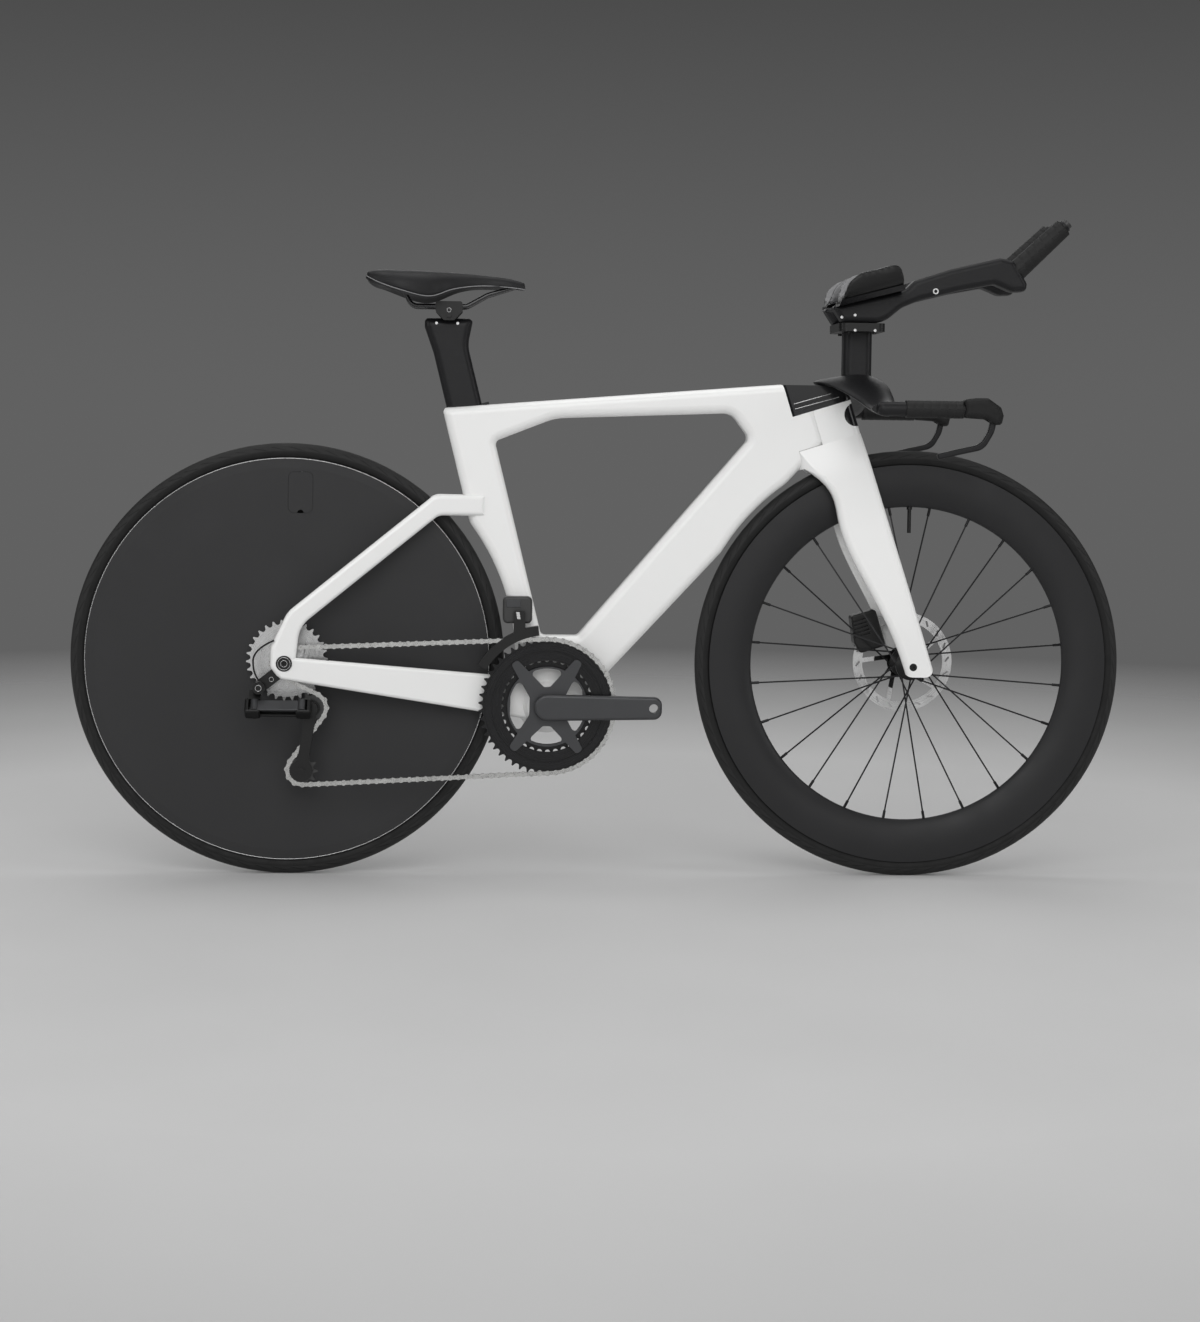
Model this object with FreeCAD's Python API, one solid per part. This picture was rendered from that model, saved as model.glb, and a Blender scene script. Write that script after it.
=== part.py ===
import FreeCAD, Part
import math
import os

V = FreeCAD.Vector

# Stance of the bike
RIM_RADIUS = 316.5
TYRE_RISE = 22.5
TYRE_RADIUS = RIM_RADIUS + TYRE_RISE
WHEEL_GAP = 302.0
WHEELBASE = TYRE_RADIUS + TYRE_RADIUS + WHEEL_GAP
CHAINSTAY_ROOM = 73.5
CHAINSTAY_LENGTH = TYRE_RADIUS + CHAINSTAY_ROOM
BB_DROP = 67.0
HEAD_ANGLE = 72.7
FORK_RAKE = 45.0
SEAT_ANGLE = 76.0

# Fits and tool lengths
RUNNING_FIT = 0.06
CLEARANCE = 0.4
SEAM = 0.3
TOOL = 700.0
HALVING_COUNT = 80
SOLVE_COUNT = 40

# Front triangle
FRAME_WIDTH = 48.0
FRAME_EDGE = 13.0
SEAT_TUBE_LENGTH = 482.5
SEAT_TUBE_DEPTH = 68.0
SEAT_TUBE_LEAD = 17.0
SEAT_TOP_CORNER = 7.0
TOP_TUBE_CROSS = 48.45
TOP_TUBE_DEPTH = 28.5
TOP_TUBE_TAPER = 2.3
GUSSET_LEAD = 8.0
GUSSET_RISE = 21.6
GUSSET_CORNER = 9.0
GUSSET_BLEND = 90.0
HEAD_GUSSET_FALL = 53.0
HEAD_GUSSET_SETBACK = 100.1
HEAD_GUSSET_CORNER = 24.0
HEAD_CORNER = 14.0
DOWN_TUBE_LOW_CROSS = -8.28
DOWN_TUBE_UP_CROSS = 101.28
DOWN_TUBE_DROP = 36.0
DOWN_TUBE_ROOM = 8.5
DOWN_TUBE_BITE = 7.5
FRONT_CUT_CORNER = 60.0
DOWN_TUBE_LIFT = 34.4
BB_SHELF = 108.0
BB_SHELF_CORNER = 9.0
BB_HEEL = 10.0
BB_HEEL_CORNER = 14.0
SEAT_TUBE_ROOM = 18.0
WHEEL_CUT_RADIUS = TYRE_RADIUS + SEAT_TUBE_ROOM
WHEEL_CUT_CORNER = 30.0
BB_SHELL_WIDTH = 86.5
BB_SHELL_RADIUS = 31.0
BB_FLARE_RADIUS = 47.0
BB_BORE_RADIUS = 20.5

# Head tube, in the frame of the steering axis
CROWN_ROOM = 35.5
HEAD_LOW = TYRE_RADIUS + CROWN_ROOM
HEAD_HEIGHT = 54.7
HEAD_RADIUS = 24.5
HEAD_BORE_RADIUS = 17.0
CROWN_RADIUS = 36.5
STEM_RADIUS = 27.4
STEM_FACE = 22.3
STEERER_RADIUS = 14.3
HEADSET_RADIUS = 20.9
HEADSET_HEIGHT = 7.0

# Stays and rear axle
STAY_WIDTH = 16.0
STAY_EDGE = 6.5
STAY_DEPTH = 29.0
STAY_ROOT_DEPTH = 32.0
STAY_ROOT_HEIGHT = 312.0
STAY_ROOT_LEAD = 100.0
STAY_BEND_LEAD = 175.0
STAY_BEND_CORNER = 22.0
STAY_FOOT_LEAD = 15.0
STAY_FOOT_HEIGHT = 68.0
STAY_FOOT_CORNER = 45.0
DROPOUT_SIZE = 100.0
DROPOUT_SHARES = ((-0.195, 0.25), (-0.2, -0.06), (-0.07, -0.23), (0.14, -0.21), (0.19, 0.09))
DROPOUT_CORNER_SHARES = (0.18, 0.11, 0.11, 0.05, 0.1)
STAY_TOP_Y = 27.0
DROPOUT_OUTER_Y = 86.0
CHAINSTAY_WIDTH = 14.0
CHAINSTAY_EDGE = 5.5
CHAINSTAY_FRONT_Y = 25.0
CHAINSTAY_HEEL = 29.0
CHAINSTAY_SHOULDER = 39.0
CHAINSTAY_TAIL_DROP = 24.0
CHAINSTAY_TAIL_RISE = 7.0
CHAINSTAY_TOP_RISE = 10.4
DROPOUT_TAIL = 16.0
DROPOUT_TAIL_CORNER = 11.0
REAR_SPACING = 142.0
CASSETTE_ROOM = 68.0
REAR_AXLE_RADIUS = 6.0
AXLE_HEAD_RADIUS = 12.0
AXLE_HEAD_DEPTH = 4.0
AXLE_HEX = 3.0
AXLE_RECESS = 3.5
END_CAP_RADIUS = 9.5
END_CAP_LENGTH = 3.5

# Seatpost, wedge and battery
POST_CHORD = 55.0
POST_WIDTH = 27.0
POST_EDGE = 12.0
POST_SETBACK = 6.5
POST_INSERT = 150.0
POST_ADJUST = 30.0
POST_BLADE_RISE = 92.0
POST_HEAD_RISE = 48.0
POST_HEAD_LENGTH = 76.0
POST_HEAD_SETBACK = 3.0
POST_HEAD_LIP = 14.0
POST_HEAD_CORNER = 6.0
WEDGE_LENGTH = 11.0
WEDGE_WIDTH = 20.0
WEDGE_HEIGHT = 26.0
WEDGE_SINK = 1.5
BATTERY_RADIUS = 7.0
BATTERY_LENGTH = 90.0
BATTERY_DEPTH = 30.0

# Saddle
SADDLE_LENGTH = 247.0
SADDLE_WIDTH = 145.0
SADDLE_HEIGHT = 43.0
SADDLE_SETBACK = 128.4
SADDLE_RISE = 30.0
SADDLE_SHELL = 3.5
SADDLE_STATION_SHARES = (0.0, 0.08, 0.22, 0.4, 0.55, 0.72, 0.9, 1.0)
SADDLE_HALF_SHARES = (0.3, 0.42, 0.5, 0.44, 0.27, 0.175, 0.135, 0.09)
SADDLE_TOP_SHARES = (0.93, 1.0, 1.0, 0.985, 0.95, 0.85, 0.7, 0.56)
SADDLE_SKIRT_SHARES = (0.74, 0.5, 0.22, 0.02, 0.32, 0.48, 0.5, 0.46)
SADDLE_UNDER_SHARES = (0.8, 0.72, 0.66, 0.62, 0.6, 0.58, 0.54, 0.48)
SADDLE_CROWN_SHARES = ((1.0, 0.0), (0.98, 0.45), (0.8, 0.86), (0.4, 0.99))
SADDLE_ARCH_SHARES = (0.5, 0.75)
RAIL_RADIUS = 3.6
RAIL_HALF_GAP = 22.0
RAIL_NOSE_GAP = 9.0
RAIL_LENGTH = 179.0
RAIL_HEIGHT = 36.5
RAIL_SETBACK = 76.4
RAIL_RISE = 18.0
RAIL_BEND = 16.0
RAIL_STATION_SHARES = (0.0, 0.1, 0.58, 0.76, 1.0)
RAIL_RISE_SHARES = (1.0, 0.0, 0.0, 0.5, 0.87)
RAIL_SPREAD_SHARES = (1.0, 1.0, 1.0, 0.5, 0.0)
CLAMP_LENGTH = 42.0
CLAMP_HEIGHT = 15.0
CLAMP_HALF_WIDTH = 29.0
CLAMP_BARREL_RADIUS = 8.0
CLAMP_BOLT_RADIUS = 4.0

# Wheels
TYRE_WIDTH = 26.0
TYRE_HEIGHT = 27.0
TYRE_WALL = 2.6
RIM_WAIST = 28.0
RIM_DEPTH = 67.0
RIM_WALL = 2.2
RIM_STATION_SHARES = (0.0, 0.2, 0.4, 0.58, 0.75, 0.88, 0.965)
RIM_HALF_SHARES = (0.893, 0.972, 1.0, 0.94, 0.77, 0.53, 0.27)
SPOKE_COUNT = 24
SPOKE_WIDTH = 2.4
SPOKE_THICK = 1.1
SPOKE_LEAD = 52.0
SPOKE_STAGGER = 1.5
NIPPLE_RADIUS = 2.2
NIPPLE_LENGTH = 12.0
FRONT_SPACING = 100.0
HUB_RADIUS = 13.0
HUB_BEARING_RADIUS = 10.5
HUB_BEARING_WIDTH = 6.0
HUB_INSET = 6.0
HUB_FLANGE_RADIUS = 23.0
HUB_FLANGE_WIDTH = 4.0
HUB_RIGHT_FLANGE = 33.0
HUB_LEFT_FLANGE = 21.0
SPOKE_HOLE_RADIUS = 19.5
FRONT_AXLE_RADIUS = 6.0
FRONT_ROTOR_RADIUS = 80.0
FRONT_ROTOR_Y = 38.0
ROTOR_THICK = 1.8
ROTOR_TRACK = 15.0
ROTOR_SLOT = 3.2
ROTOR_SLOT_SHARES = (0.72, 0.28)
ROTOR_SLOT_LEAN = 6.4
ROTOR_SLOT_CORNER = 1.3
CARRIER_TIP_SHARE = 0.8
ROTOR_SLOT_COUNT = 20
CARRIER_RADIUS = 18.0
CARRIER_ARM = 7.0
CARRIER_COUNT = 5
CARRIER_SWEEP = 35.0
LOCKRING_WIDTH = 4.0
LOCKRING_RADIUS = 16.5
VALVE_RADIUS = 3.0
VALVE_LENGTH = 43.0
VALVE_COLLAR = 4.0
VALVE_COLLAR_WALL = 1.3
REAR_ROTOR_RADIUS = 70.0
REAR_ROTOR_Y = 55.5

# Rear disc wheel
DISC_WALL = 2.2
DISC_BED = 6.6
DISC_HUB_RADIUS = 28.0
DISC_RIGHT_Y_SHARES = (0.62, 0.53, 0.49, 0.46, 0.43)
DISC_LEFT_Y_SHARES = (1.0, 0.9, 0.72, 0.46, 0.43)
DISC_STATION_SHARES = (0.0, 0.13, 0.42, 0.945, 1.0)
DISC_HALF_WIDTH = 29.0
REAR_HUB_RADIUS = 14.0
REAR_HUB_BEARING_RADIUS = 11.5
REAR_FLANGE_WIDTH = 4.0
COVER_WIDTH = 38.0
COVER_HEIGHT = 64.0
COVER_CORNER = 9.0
COVER_LEAD = 18.5
COVER_INSET = 54.5
COVER_RISE = RIM_RADIUS - COVER_INSET
NOTCH_RADIUS = 5.0

# Drive
PITCH = 12.7
RING_TEETH = 52
SMALL_RING_TEETH = 36
COG_TEETH = (11, 12, 13, 14, 15, 16, 17, 19, 21, 24, 27, 30)
PULLEY_TEETH = 11
RING_Y = -47.5
SMALL_RING_Y = -40.5
COG_Y = -64.0
COG_STEP = 3.56
ROLLER_RADIUS = 3.85
SEAT_GAP = 0.16
TOOTH_HEIGHT = 2.7
TOOTH_TIP = 1.9
SEAT_SWEEP = 65.0
RING_THICK = 1.7
SPROCKET_THICK = 1.6
RING_BAND = 4.6
RING_BAND_OUTER = 98.0
RING_BAND_INNER = 88.0
RING_INNER = 71.5
SMALL_RING_INNER = 60.0
RING_TAB_WIDTH = 17.0
BOLT_CIRCLE = 55.0
BOLT_RADIUS = 4.0
BOLT_HEAD_RADIUS = 6.5
BOLT_HEAD_DEPTH = 2.5
SPIDER_ANGLES = (56.0, 127.0, 231.0, 306.0)
SPIDER_REACH = 87.0
SPIDER_ROOT = 36.0
SPIDER_TIP = 12.0
SPIDER_THICK = 7.0
SPIDER_CORNER = 5.2
SPIDER_DISH = 62.5
WINDOW_OUTER = 60.0
WINDOW_INNER = 31.0
WINDOW_CORNER = 6.0
BOLT_SINK_SHARE = 0.6
CRANK_LENGTH = 165.0
CRANK_ROOT_WIDTH = 42.0
CRANK_TIP_WIDTH = 35.0
CRANK_THICK = 14.0
CRANK_EDGE = 4.5
CRANK_TIP_SHARE = 0.75
CRANK_ROOT_CORNER_SHARE = 0.97
CRANK_TIP_CORNER_SHARE = 0.74
CRANK_OUTER_Y = 73.0
PEDAL_HOLE_RADIUS = 7.14
SPINDLE_RADIUS = 12.0
SPINDLE_WALL = 3.0
CUP_RADIUS = 22.5
CUP_LIP = 1.6
CUP_DEPTH = 11.0
CRANK_GAP = 1.2
LINK_HEIGHT = 8.4
LINK_PLATE = 0.72
LINK_INNER_HALF = 1.1
LINK_OUTER_GAP = 0.03
LINK_PIN_RADIUS = 1.75
LINK_BORE_RADIUS = 1.85
LINK_PIN_PROUD = 0.05
LINK_WAIST_SHARE = 0.72
STRAIGHT_LINKS = 3
FREEHUB_RADIUS = 17.0
FREEHUB_GAP = 0.6
COG_HOLE_COUNT = 9
COG_HOLE_SHARE = 0.3
COG_HOLE_LEAST = 19

# Rear derailleur
CAGE_LENGTH_GUESS = 99.0
GUIDE_LEAD = 42.0
ENGAGE_SLACK_SHARE = 0.6
RING_SEARCH_TURN = 20.0
SEAT_SEARCH_TURN = 12.0
LEAVE_TURN = 120.0
SEARCH_STEP = 0.2
SEARCH_COUNT = 60
TURN_STEP = 0.1
TURN_COUNT = 200
TURN_WEIGHT = 0.001
NUDGE = 0.01
NUDGE_LIMIT = 0.3
GUIDE_DROP_GUESS = 62.0
CAGE_ANGLE_GUESS = 262.0
CAGE_HALF_GAP = 5.0
CAGE_PLATE = 1.6
CAGE_TOP_RADIUS = 13.0
CAGE_LOW_RADIUS = 17.0
CAGE_WAIST = 17.0
CAGE_BOLT_RADIUS = 3.0
CAGE_BOLT_HEAD = 5.5
CAGE_BOLT_PROUD = 1.5
PULLEY_THICK = 1.6
B_AXLE_SETBACK = 38.0
B_AXLE_DROP = 37.0
B_BOSS_RADIUS = 9.5
B_BOSS_LENGTH = 17.0
B_BOLT_RADIUS = 6.5
B_BOLT_PROUD = 2.0
HANGER_THICK = 8.0
HANGER_WIDTH = 20.0
LINK_SLANT = 38.0
LINK_REACH = 72.0
LINK_REAR_SETBACK = 44.0
LINK_DROP = 69.0
LINK_Y = 88.0
LINK_SPREAD = 8.0
LINK_HALF_TALL = 9.0
LINK_THICK = 5.0
LINK_END_RADIUS = 6.0
LINK_PIVOT_RADIUS = 2.2
LUG_THICK = 3.5
LUG_GAP = 0.4
LUG_HALF_WIDTH = 11.5
LUG_REACH = 9.0
LUG_WEB = 6.0
LUG_EDGE = 4.0
LINK_EDGE = 1.6
P_BOSS_RADIUS = 10.0
P_BOSS_LENGTH = 15.0
WIRE_RADIUS = 1.4
WIRE_BEND = 9.0
WIRE_RISE = 36.0
WIRE_LOOP_RISE = 22.0

# Front derailleur
FD_LENGTH = 46.0
FD_HEIGHT = 42.0
FD_SETBACK = 48.0
FD_RISE = 150.0
FD_OUTER_Y = 45.0
FD_INNER_Y = 18.0
FD_EDGE = 4.0
FD_CORNER = 8.0
FD_LINK_CORNER = 4.0
FD_CAGE_INNER = 112.0
FD_CAGE_DEPTH = 15.0
FD_CAGE_START = 97.0
FD_CAGE_SWEEP = 52.0
FD_CAGE_HALF = 5.6
FD_PLATE = 1.5
FD_BRIDGE_SWEEP = 9.0
FD_LINK_WIDTH = 12.0
FD_PIN_RADIUS = 3.5
FD_PIN_DROP = 9.0
FD_PIN_DEPTH = 4.0
FD_TRAVEL = 6.5

# Brake calipers
CALIPER_HALF = 17.0
CALIPER_SLOT = 3.4
CALIPER_EDGE = 3.0
CALIPER_CORNER = 6.0
CALIPER_OUTLINE_SHARES = ((1.0, 1.0), (-0.7, 1.0), (-1.0, -0.4), (-0.8, -1.0), (1.0, -1.0))
FIN_TOP_SHARE = 0.7
FIN_REACH_SHARES = (-2.0, 0.2)
CALIPER_LENGTH = 62.0
CALIPER_DEPTH = 48.0
CALIPER_RISE = 34.0
CALIPER_BACK = 68.0
FIN_COUNT = 5
FIN_SLOT = 2.4
FIN_DEPTH = 4.0
PAD_LENGTH = 24.0
PAD_HEIGHT = 16.0
PAD_GAP = 0.35
REAR_CALIPER_LEAD = 50.0
REAR_CALIPER_LENGTH = 58.0
REAR_CALIPER_HEIGHT = 34.0
REAR_CALIPER_FRONT_SHARE = 0.4

# Fork, in the frame of the steering axis
FORK_DEPTH = 75.0
FORK_DROPOUT_HALF = 62.0
FORK_SLOT_HALF = 50.0
FORK_STATION_SHARES = (-0.107, 0.088, 0.334, 0.678, 0.86, 0.941)
FORK_REAR_SHARES = (0.41, 0.40, 0.213, 0.005, -0.13, -0.42, -0.487)
FORK_OUTER_SHARES = (1.0, 0.99, 0.92, 0.71, 0.6, 0.5)
FORK_SLOT_STATION_SHARES = (-0.2, -0.06, 0.07, 0.3, 0.48, 0.68, 0.88, 1.03)
FORK_SLOT_SHARES = (1.0, 1.0, 1.0, 0.89, 0.72, 0.54, 0.42, 0.4)
FORK_EDGE = 10.0
FORK_FOOT_DROP = 16.0
CROWN_HEIGHT = 29.0
FORK_FOOT_CORNER = 13.0
FORK_FOOT_RISE = 60.0
FORK_FOOT_REAR_SHARE = 0.33
NOSE_WRAP = 11.0
TYRE_ROOM = 10.0
FORK_NOSE_EDGE = 14.0
NOSE_CAP_RADIUS = 18.5
NOSE_CAP_DROP = 24.5

# Stem and bars
STEM_HALF_WIDTH = 20.5
STEM_FRONT = 76.0
STEM_TOP_DROP = 5.0
SPACER_COUNT = 2
SPACER_HEIGHT = 7.0
BAR_LEAD = 120.6
BAR_RISE = 48.6
BAR_CHORD = 106.0
BAR_THICK = 24.0
BAR_HALF_SPAN = 205.0
BAR_STATION_SHARES = (0.0, 0.22, 0.45, 0.68, 0.86, 1.0)
BAR_CHORD_SHARES = (1.0, 0.93, 0.74, 0.52, 0.4, 0.34)
BAR_DROP = 43.0
BAR_DROP_SHARES = (0.0, 0.04, 0.3, 0.72, 0.96, 1.0)
BAR_THICK_SHARES = (1.0, 1.0, 0.96, 0.94, 0.92, 0.9)
BAR_NOSE_SHARES = (0.0, 0.0, 0.0, 0.01, 0.05, 0.1)
WING_SHARES = ((0.0, 0.0), (0.25, 0.5), (0.65, 0.4), (1.0, 0.0), (0.65, -0.4), (0.25, -0.5))
BAR_TUBE_RADIUS = 11.0
BAR_TUBE_LENGTH = 140.0
GRIP_RADIUS = 13.2
GRIP_START = 33.0
GRIP_LENGTH = 87.0
GRIP_RIDGES = 7
GRIP_RIDGE = 0.9
HOOD_LENGTH = 60.0
HOOD_HEIGHT = 40.0
HOOD_WIDTH = 30.0
HOOD_EDGE = 9.0
HOOD_DROP = 22.0
HOOD_OUTLINE_SHARES = ((0.0, 0.25), (0.55, 0.2), (0.78, 0.0), (0.95, 0.0), (1.0, 0.35), (0.93, 0.66),
    (0.6, 1.0), (0.3, 1.0), (0.0, 0.93))
HOOD_CORNER = 5.0
LEVER_PIVOT_LEAD = 46.0
LEVER_PIVOT_DROP = 15.0
LEVER_DEPTH = 9.0
LEVER_WIDTH = 11.0
LEVER_EDGE = 2.5
LEVER_BOSS_RADIUS = 6.3
LEVER_REACH = 84.0
LEVER_FALL = 56.0
LEVER_PATH_SHARES = ((0.0, 0.0), (-0.04, -0.3), (-0.2, -0.72), (-0.62, -0.86), (-1.0, -1.0))
LEVER_CORNERS = (0.0, 38.0, 25.0, 60.0, 2.5)
LEVER_PIN_RADIUS = 2.5
LEVER_SLOT_HALF = 6.0
LEVER_SLOT_REACH = 12.0

# Riser, extensions and arm rests
RISER_SETBACK = 39.0
RISER_LENGTH = 45.0
RISER_WIDTH = 40.0
RISER_CORNER = 12.0
RISER_HEIGHT = 79.0
BRACKET_LENGTH = 72.0
BRACKET_HALF_WIDTH = 60.0
BRACKET_HEIGHT = 13.0
BRACKET_CORNER = 12.0
BRACKET_BOLT_RADIUS = 3.2
BRACKET_BOLT_LONG = 20.0
BRACKET_BOLT_WIDE = 46.0
EXTENSION_Y = 46.0
EXTENSION_WIDTH = 36.0
EXTENSION_EDGE = 9.0
EXTENSION_SETBACK = 82.0
EXTENSION_RISE = 92.6
EXTENSION_LENGTH = 300.0
EXTENSION_HEIGHT = 104.0
EXTENSION_OUTLINE_SHARES = (
    (0.035, 0.0), (0.25, 0.0), (0.345, 0.23), (0.44, 0.345), (0.65, 0.5), (0.83, 0.6), (0.92, 0.49), (0.995,
        0.5),
    (1.0, 0.62), (0.93, 0.95), (0.86, 1.0), (0.6, 0.82), (0.41, 0.64), (0.36, 0.5), (-0.02, 0.24))
EXTENSION_CORNER_SHARES = (0.05, 0.4, 0.3, 0.3, 0.3, 0.12, 0.2, 0.08, 0.08, 0.08, 0.1, 0.4, 0.1, 0.2, 0.05)
EXTENSION_CORNER = 100.0
TIP_ANGLE = 43.5
TIP_LEAD = 202.0
TIP_RISE = 176.0
TIP_LENGTH = 101.0
TIP_ROOT_RADIUS = 16.5
TIP_END_RADIUS = 14.5
TIP_RIDGES = 9
TIP_RIDGE = 0.9
TIP_SINK = 4.0
TIP_CORE_RADIUS = 10.0
TIP_NOSE = 5.0
BUTTON_RADIUS = 8.0
BUTTON_LENGTH = 9.0
BUTTON_TRAVEL = 1.5
REST_Y = 76.0
REST_TILT = 14.5
REST_SETBACK = 31.0
REST_RISE = 129.0
REST_LENGTH = 106.0
REST_WIDTH = 92.0
REST_WALL_HEIGHT = 42.0
CUP_WALL_HEIGHT = 8.0
CUP_SHELL = 3.5
PAD_FOAM = 11.0
REST_FLOOR_SHARE = 0.42
REST_LEAN_SHARE = 0.1
REST_HIP_SHARE = 0.4
REST_OUTLINE_SHARES = ((-0.5, 0.0), (0.5, 0.0), (0.47, 1.0), (-0.12, 1.0), (-0.31, 0.78))
REST_CORNER_SHARES = (0.0, 0.0, 0.3, 0.4, 0.6)


# Geometry helpers


def vec(x, z, y=0.0):
    return V(x, y, z)


def heading(angle):
    """Unit direction in the side view, angle from forward towards up."""
    return V(math.cos(math.radians(angle)), 0.0, math.sin(math.radians(angle)))


def meet(first, second):
    """Where two side view lines, each a point and an angle, cross."""
    p, a = first
    q, b = second
    d = heading(a)
    e = heading(b)
    cross = d.x * e.z - d.z * e.x
    gap = q - p
    return p + d * ((gap.x * e.z - gap.z * e.x) / cross)


def bisect(measure, low, high):
    """Root of a rising or falling measure between two bounds."""
    sign = 1.0 if measure(high) > measure(low) else -1.0
    for _ in range(HALVING_COUNT):
        middle = (low + high) / 2
        if measure(middle) * sign > 0.0:
            high = middle
        else:
            low = middle
    return (low + high) / 2


def rounded_wire(points, radii):
    """Closed wire through coplanar points, each corner rounded by its own radius."""
    count = len(points)
    entries = []
    exits = []
    edges = []
    for i, corner in enumerate(points):
        before = (points[i - 1] - corner).normalize()
        after = (points[(i + 1) % count] - corner).normalize()
        half = math.acos(max(-1.0, min(1.0, before.dot(after)))) / 2
        if radii[i] > 0.0 and half < math.radians(89.5):
            reach = radii[i] / math.tan(half)
            middle = (before + after).normalize()
            bulge = radii[i] / math.sin(half) - radii[i]
            entries.append(corner + before * reach)
            exits.append(corner + after * reach)
            edges.append(Part.Arc(entries[i], corner + middle * bulge, exits[i]).toShape())
        else:
            entries.append(corner)
            exits.append(corner)
            edges.append(None)
    path = []
    for i in range(count):
        if edges[i]:
            path.append(edges[i])
        start = exits[i]
        end = entries[(i + 1) % count]
        if not start.isEqual(end, 1e-6):
            path.append(Part.makeLine(start, end))
    return Part.Wire(path)


def prism(points, radii, low_y, high_y):
    """Side view outline drawn out from one y to another."""
    shifted = [V(p.x, low_y, p.z) for p in points]
    return Part.Face(rounded_wire(shifted, radii)).extrude(V(0.0, high_y - low_y, 0.0))


def face_edges(shape, planes_y):
    """Edges that lie in one of the side planes."""
    chosen = []
    for edge in shape.Edges:
        box = edge.BoundBox
        for y in planes_y:
            if abs(box.YMin - y) < 1e-4 and abs(box.YMax - y) < 1e-4:
                chosen.append(edge)
    return chosen


def soft_prism(points, radii, low_y, high_y, edge):
    """Side view outline drawn out, its side edges rounded."""
    solid = prism(points, radii, low_y, high_y)
    return solid.makeFillet(edge, face_edges(solid, (low_y, high_y)))


def shaped(shares, origin, length, height):
    """Side view points from shares of a length and a height."""
    return [origin + V(a * length, 0.0, b * height) for a, b in shares]


def ribbon(path, depths):
    """Outline of a band along a side view path, each run with its own depth."""
    sides = [[], []]
    runs = []
    for i in range(len(path) - 1):
        step = (path[i + 1] - path[i]).normalize()
        runs.append((path[i], step, V(-step.z, 0.0, step.x), depths[i] / 2))
    for side, sign in ((0, 1.0), (1, -1.0)):
        start, step, normal, half = runs[0]
        sides[side].append(start + normal * (sign * half))
        for i in range(len(runs) - 1):
            p, d, n, a = runs[i]
            q, e, m, b = runs[i + 1]
            first = (p + n * (sign * a), math.degrees(math.atan2(d.z, d.x)))
            second = (q + m * (sign * b), math.degrees(math.atan2(e.z, e.x)))
            sides[side].append(meet(first, second))
        start, step, normal, half = runs[-1]
        sides[side].append(path[-1] + normal * (sign * half))
    return sides[0] + list(reversed(sides[1]))


def barrel(radius, centre, low_y, high_y):
    """Round bar across the bike."""
    return Part.makeCylinder(radius, high_y - low_y, V(centre.x, low_y, centre.z), V(0.0, 1.0, 0.0))


def collar(outer, inner, centre, low_y, high_y):
    """Ring across the bike."""
    return barrel(outer, centre, low_y, high_y).cut(barrel(inner, centre, low_y, high_y))


def turned(profile, centre):
    """Turned body about an axle, from pairs of radius and y."""
    points = [V(centre.x, y, centre.z + r) for r, y in profile]
    face = Part.Face(Part.makePolygon(points + [points[0]]))
    return face.revolve(V(centre.x, 0.0, centre.z), V(0.0, 1.0, 0.0), 360.0)


def mirrored(shape):
    """The same shape on the other side of the bike."""
    return shape.mirror(V(0.0, 0.0, 0.0), V(0.0, 1.0, 0.0))


def placed(shape, placement):
    moved = shape.copy()
    moved.Placement = placement.multiply(moved.Placement)
    return moved


def turned_about(shape, centre, angle):
    """Turned in the side view, from forward towards up."""
    moved = shape.copy()
    moved.rotate(V(centre.x, 0.0, centre.z), V(0.0, -1.0, 0.0), angle)
    return moved


def rounded_box_wire(centre, across, along, half_across, half_along, radius):
    """Rounded rectangle about a point in the plane of two unit directions."""
    points = [
        centre + across * half_across + along * half_along,
        centre - across * half_across + along * half_along,
        centre - across * half_across - along * half_along,
        centre + across * half_across - along * half_along,
    ]
    return rounded_wire(points, [radius] * 4)


def rod(start, end, radius):
    return Part.makeCylinder(radius, (end - start).Length, start, end - start)


def pipe(points, radius, bend):
    """Round cord along straight runs joined by tangent arcs."""
    edges = []
    start = points[0]
    for i in range(1, len(points) - 1):
        corner = points[i]
        before = (points[i - 1] - corner).normalize()
        after = (points[i + 1] - corner).normalize()
        half = math.acos(max(-1.0, min(1.0, before.dot(after)))) / 2
        reach = bend / math.tan(half)
        middle = (before + after).normalize()
        first = corner + before * reach
        second = corner + after * reach
        edges.append(Part.makeLine(start, first))
        edges.append(Part.Arc(first, corner + middle * (bend / math.sin(half) - bend), second).toShape())
        start = second
    edges.append(Part.makeLine(start, points[-1]))
    spine = Part.Wire(edges)
    ring = Part.Wire(Part.makeCircle(radius, points[0], points[1] - points[0]))
    return spine.makePipeShell([ring], True, True)


def group(*shapes):
    solids = []
    for shape in shapes:
        solids.extend(shape.Solids)
    return Part.makeCompound(solids)


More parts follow.
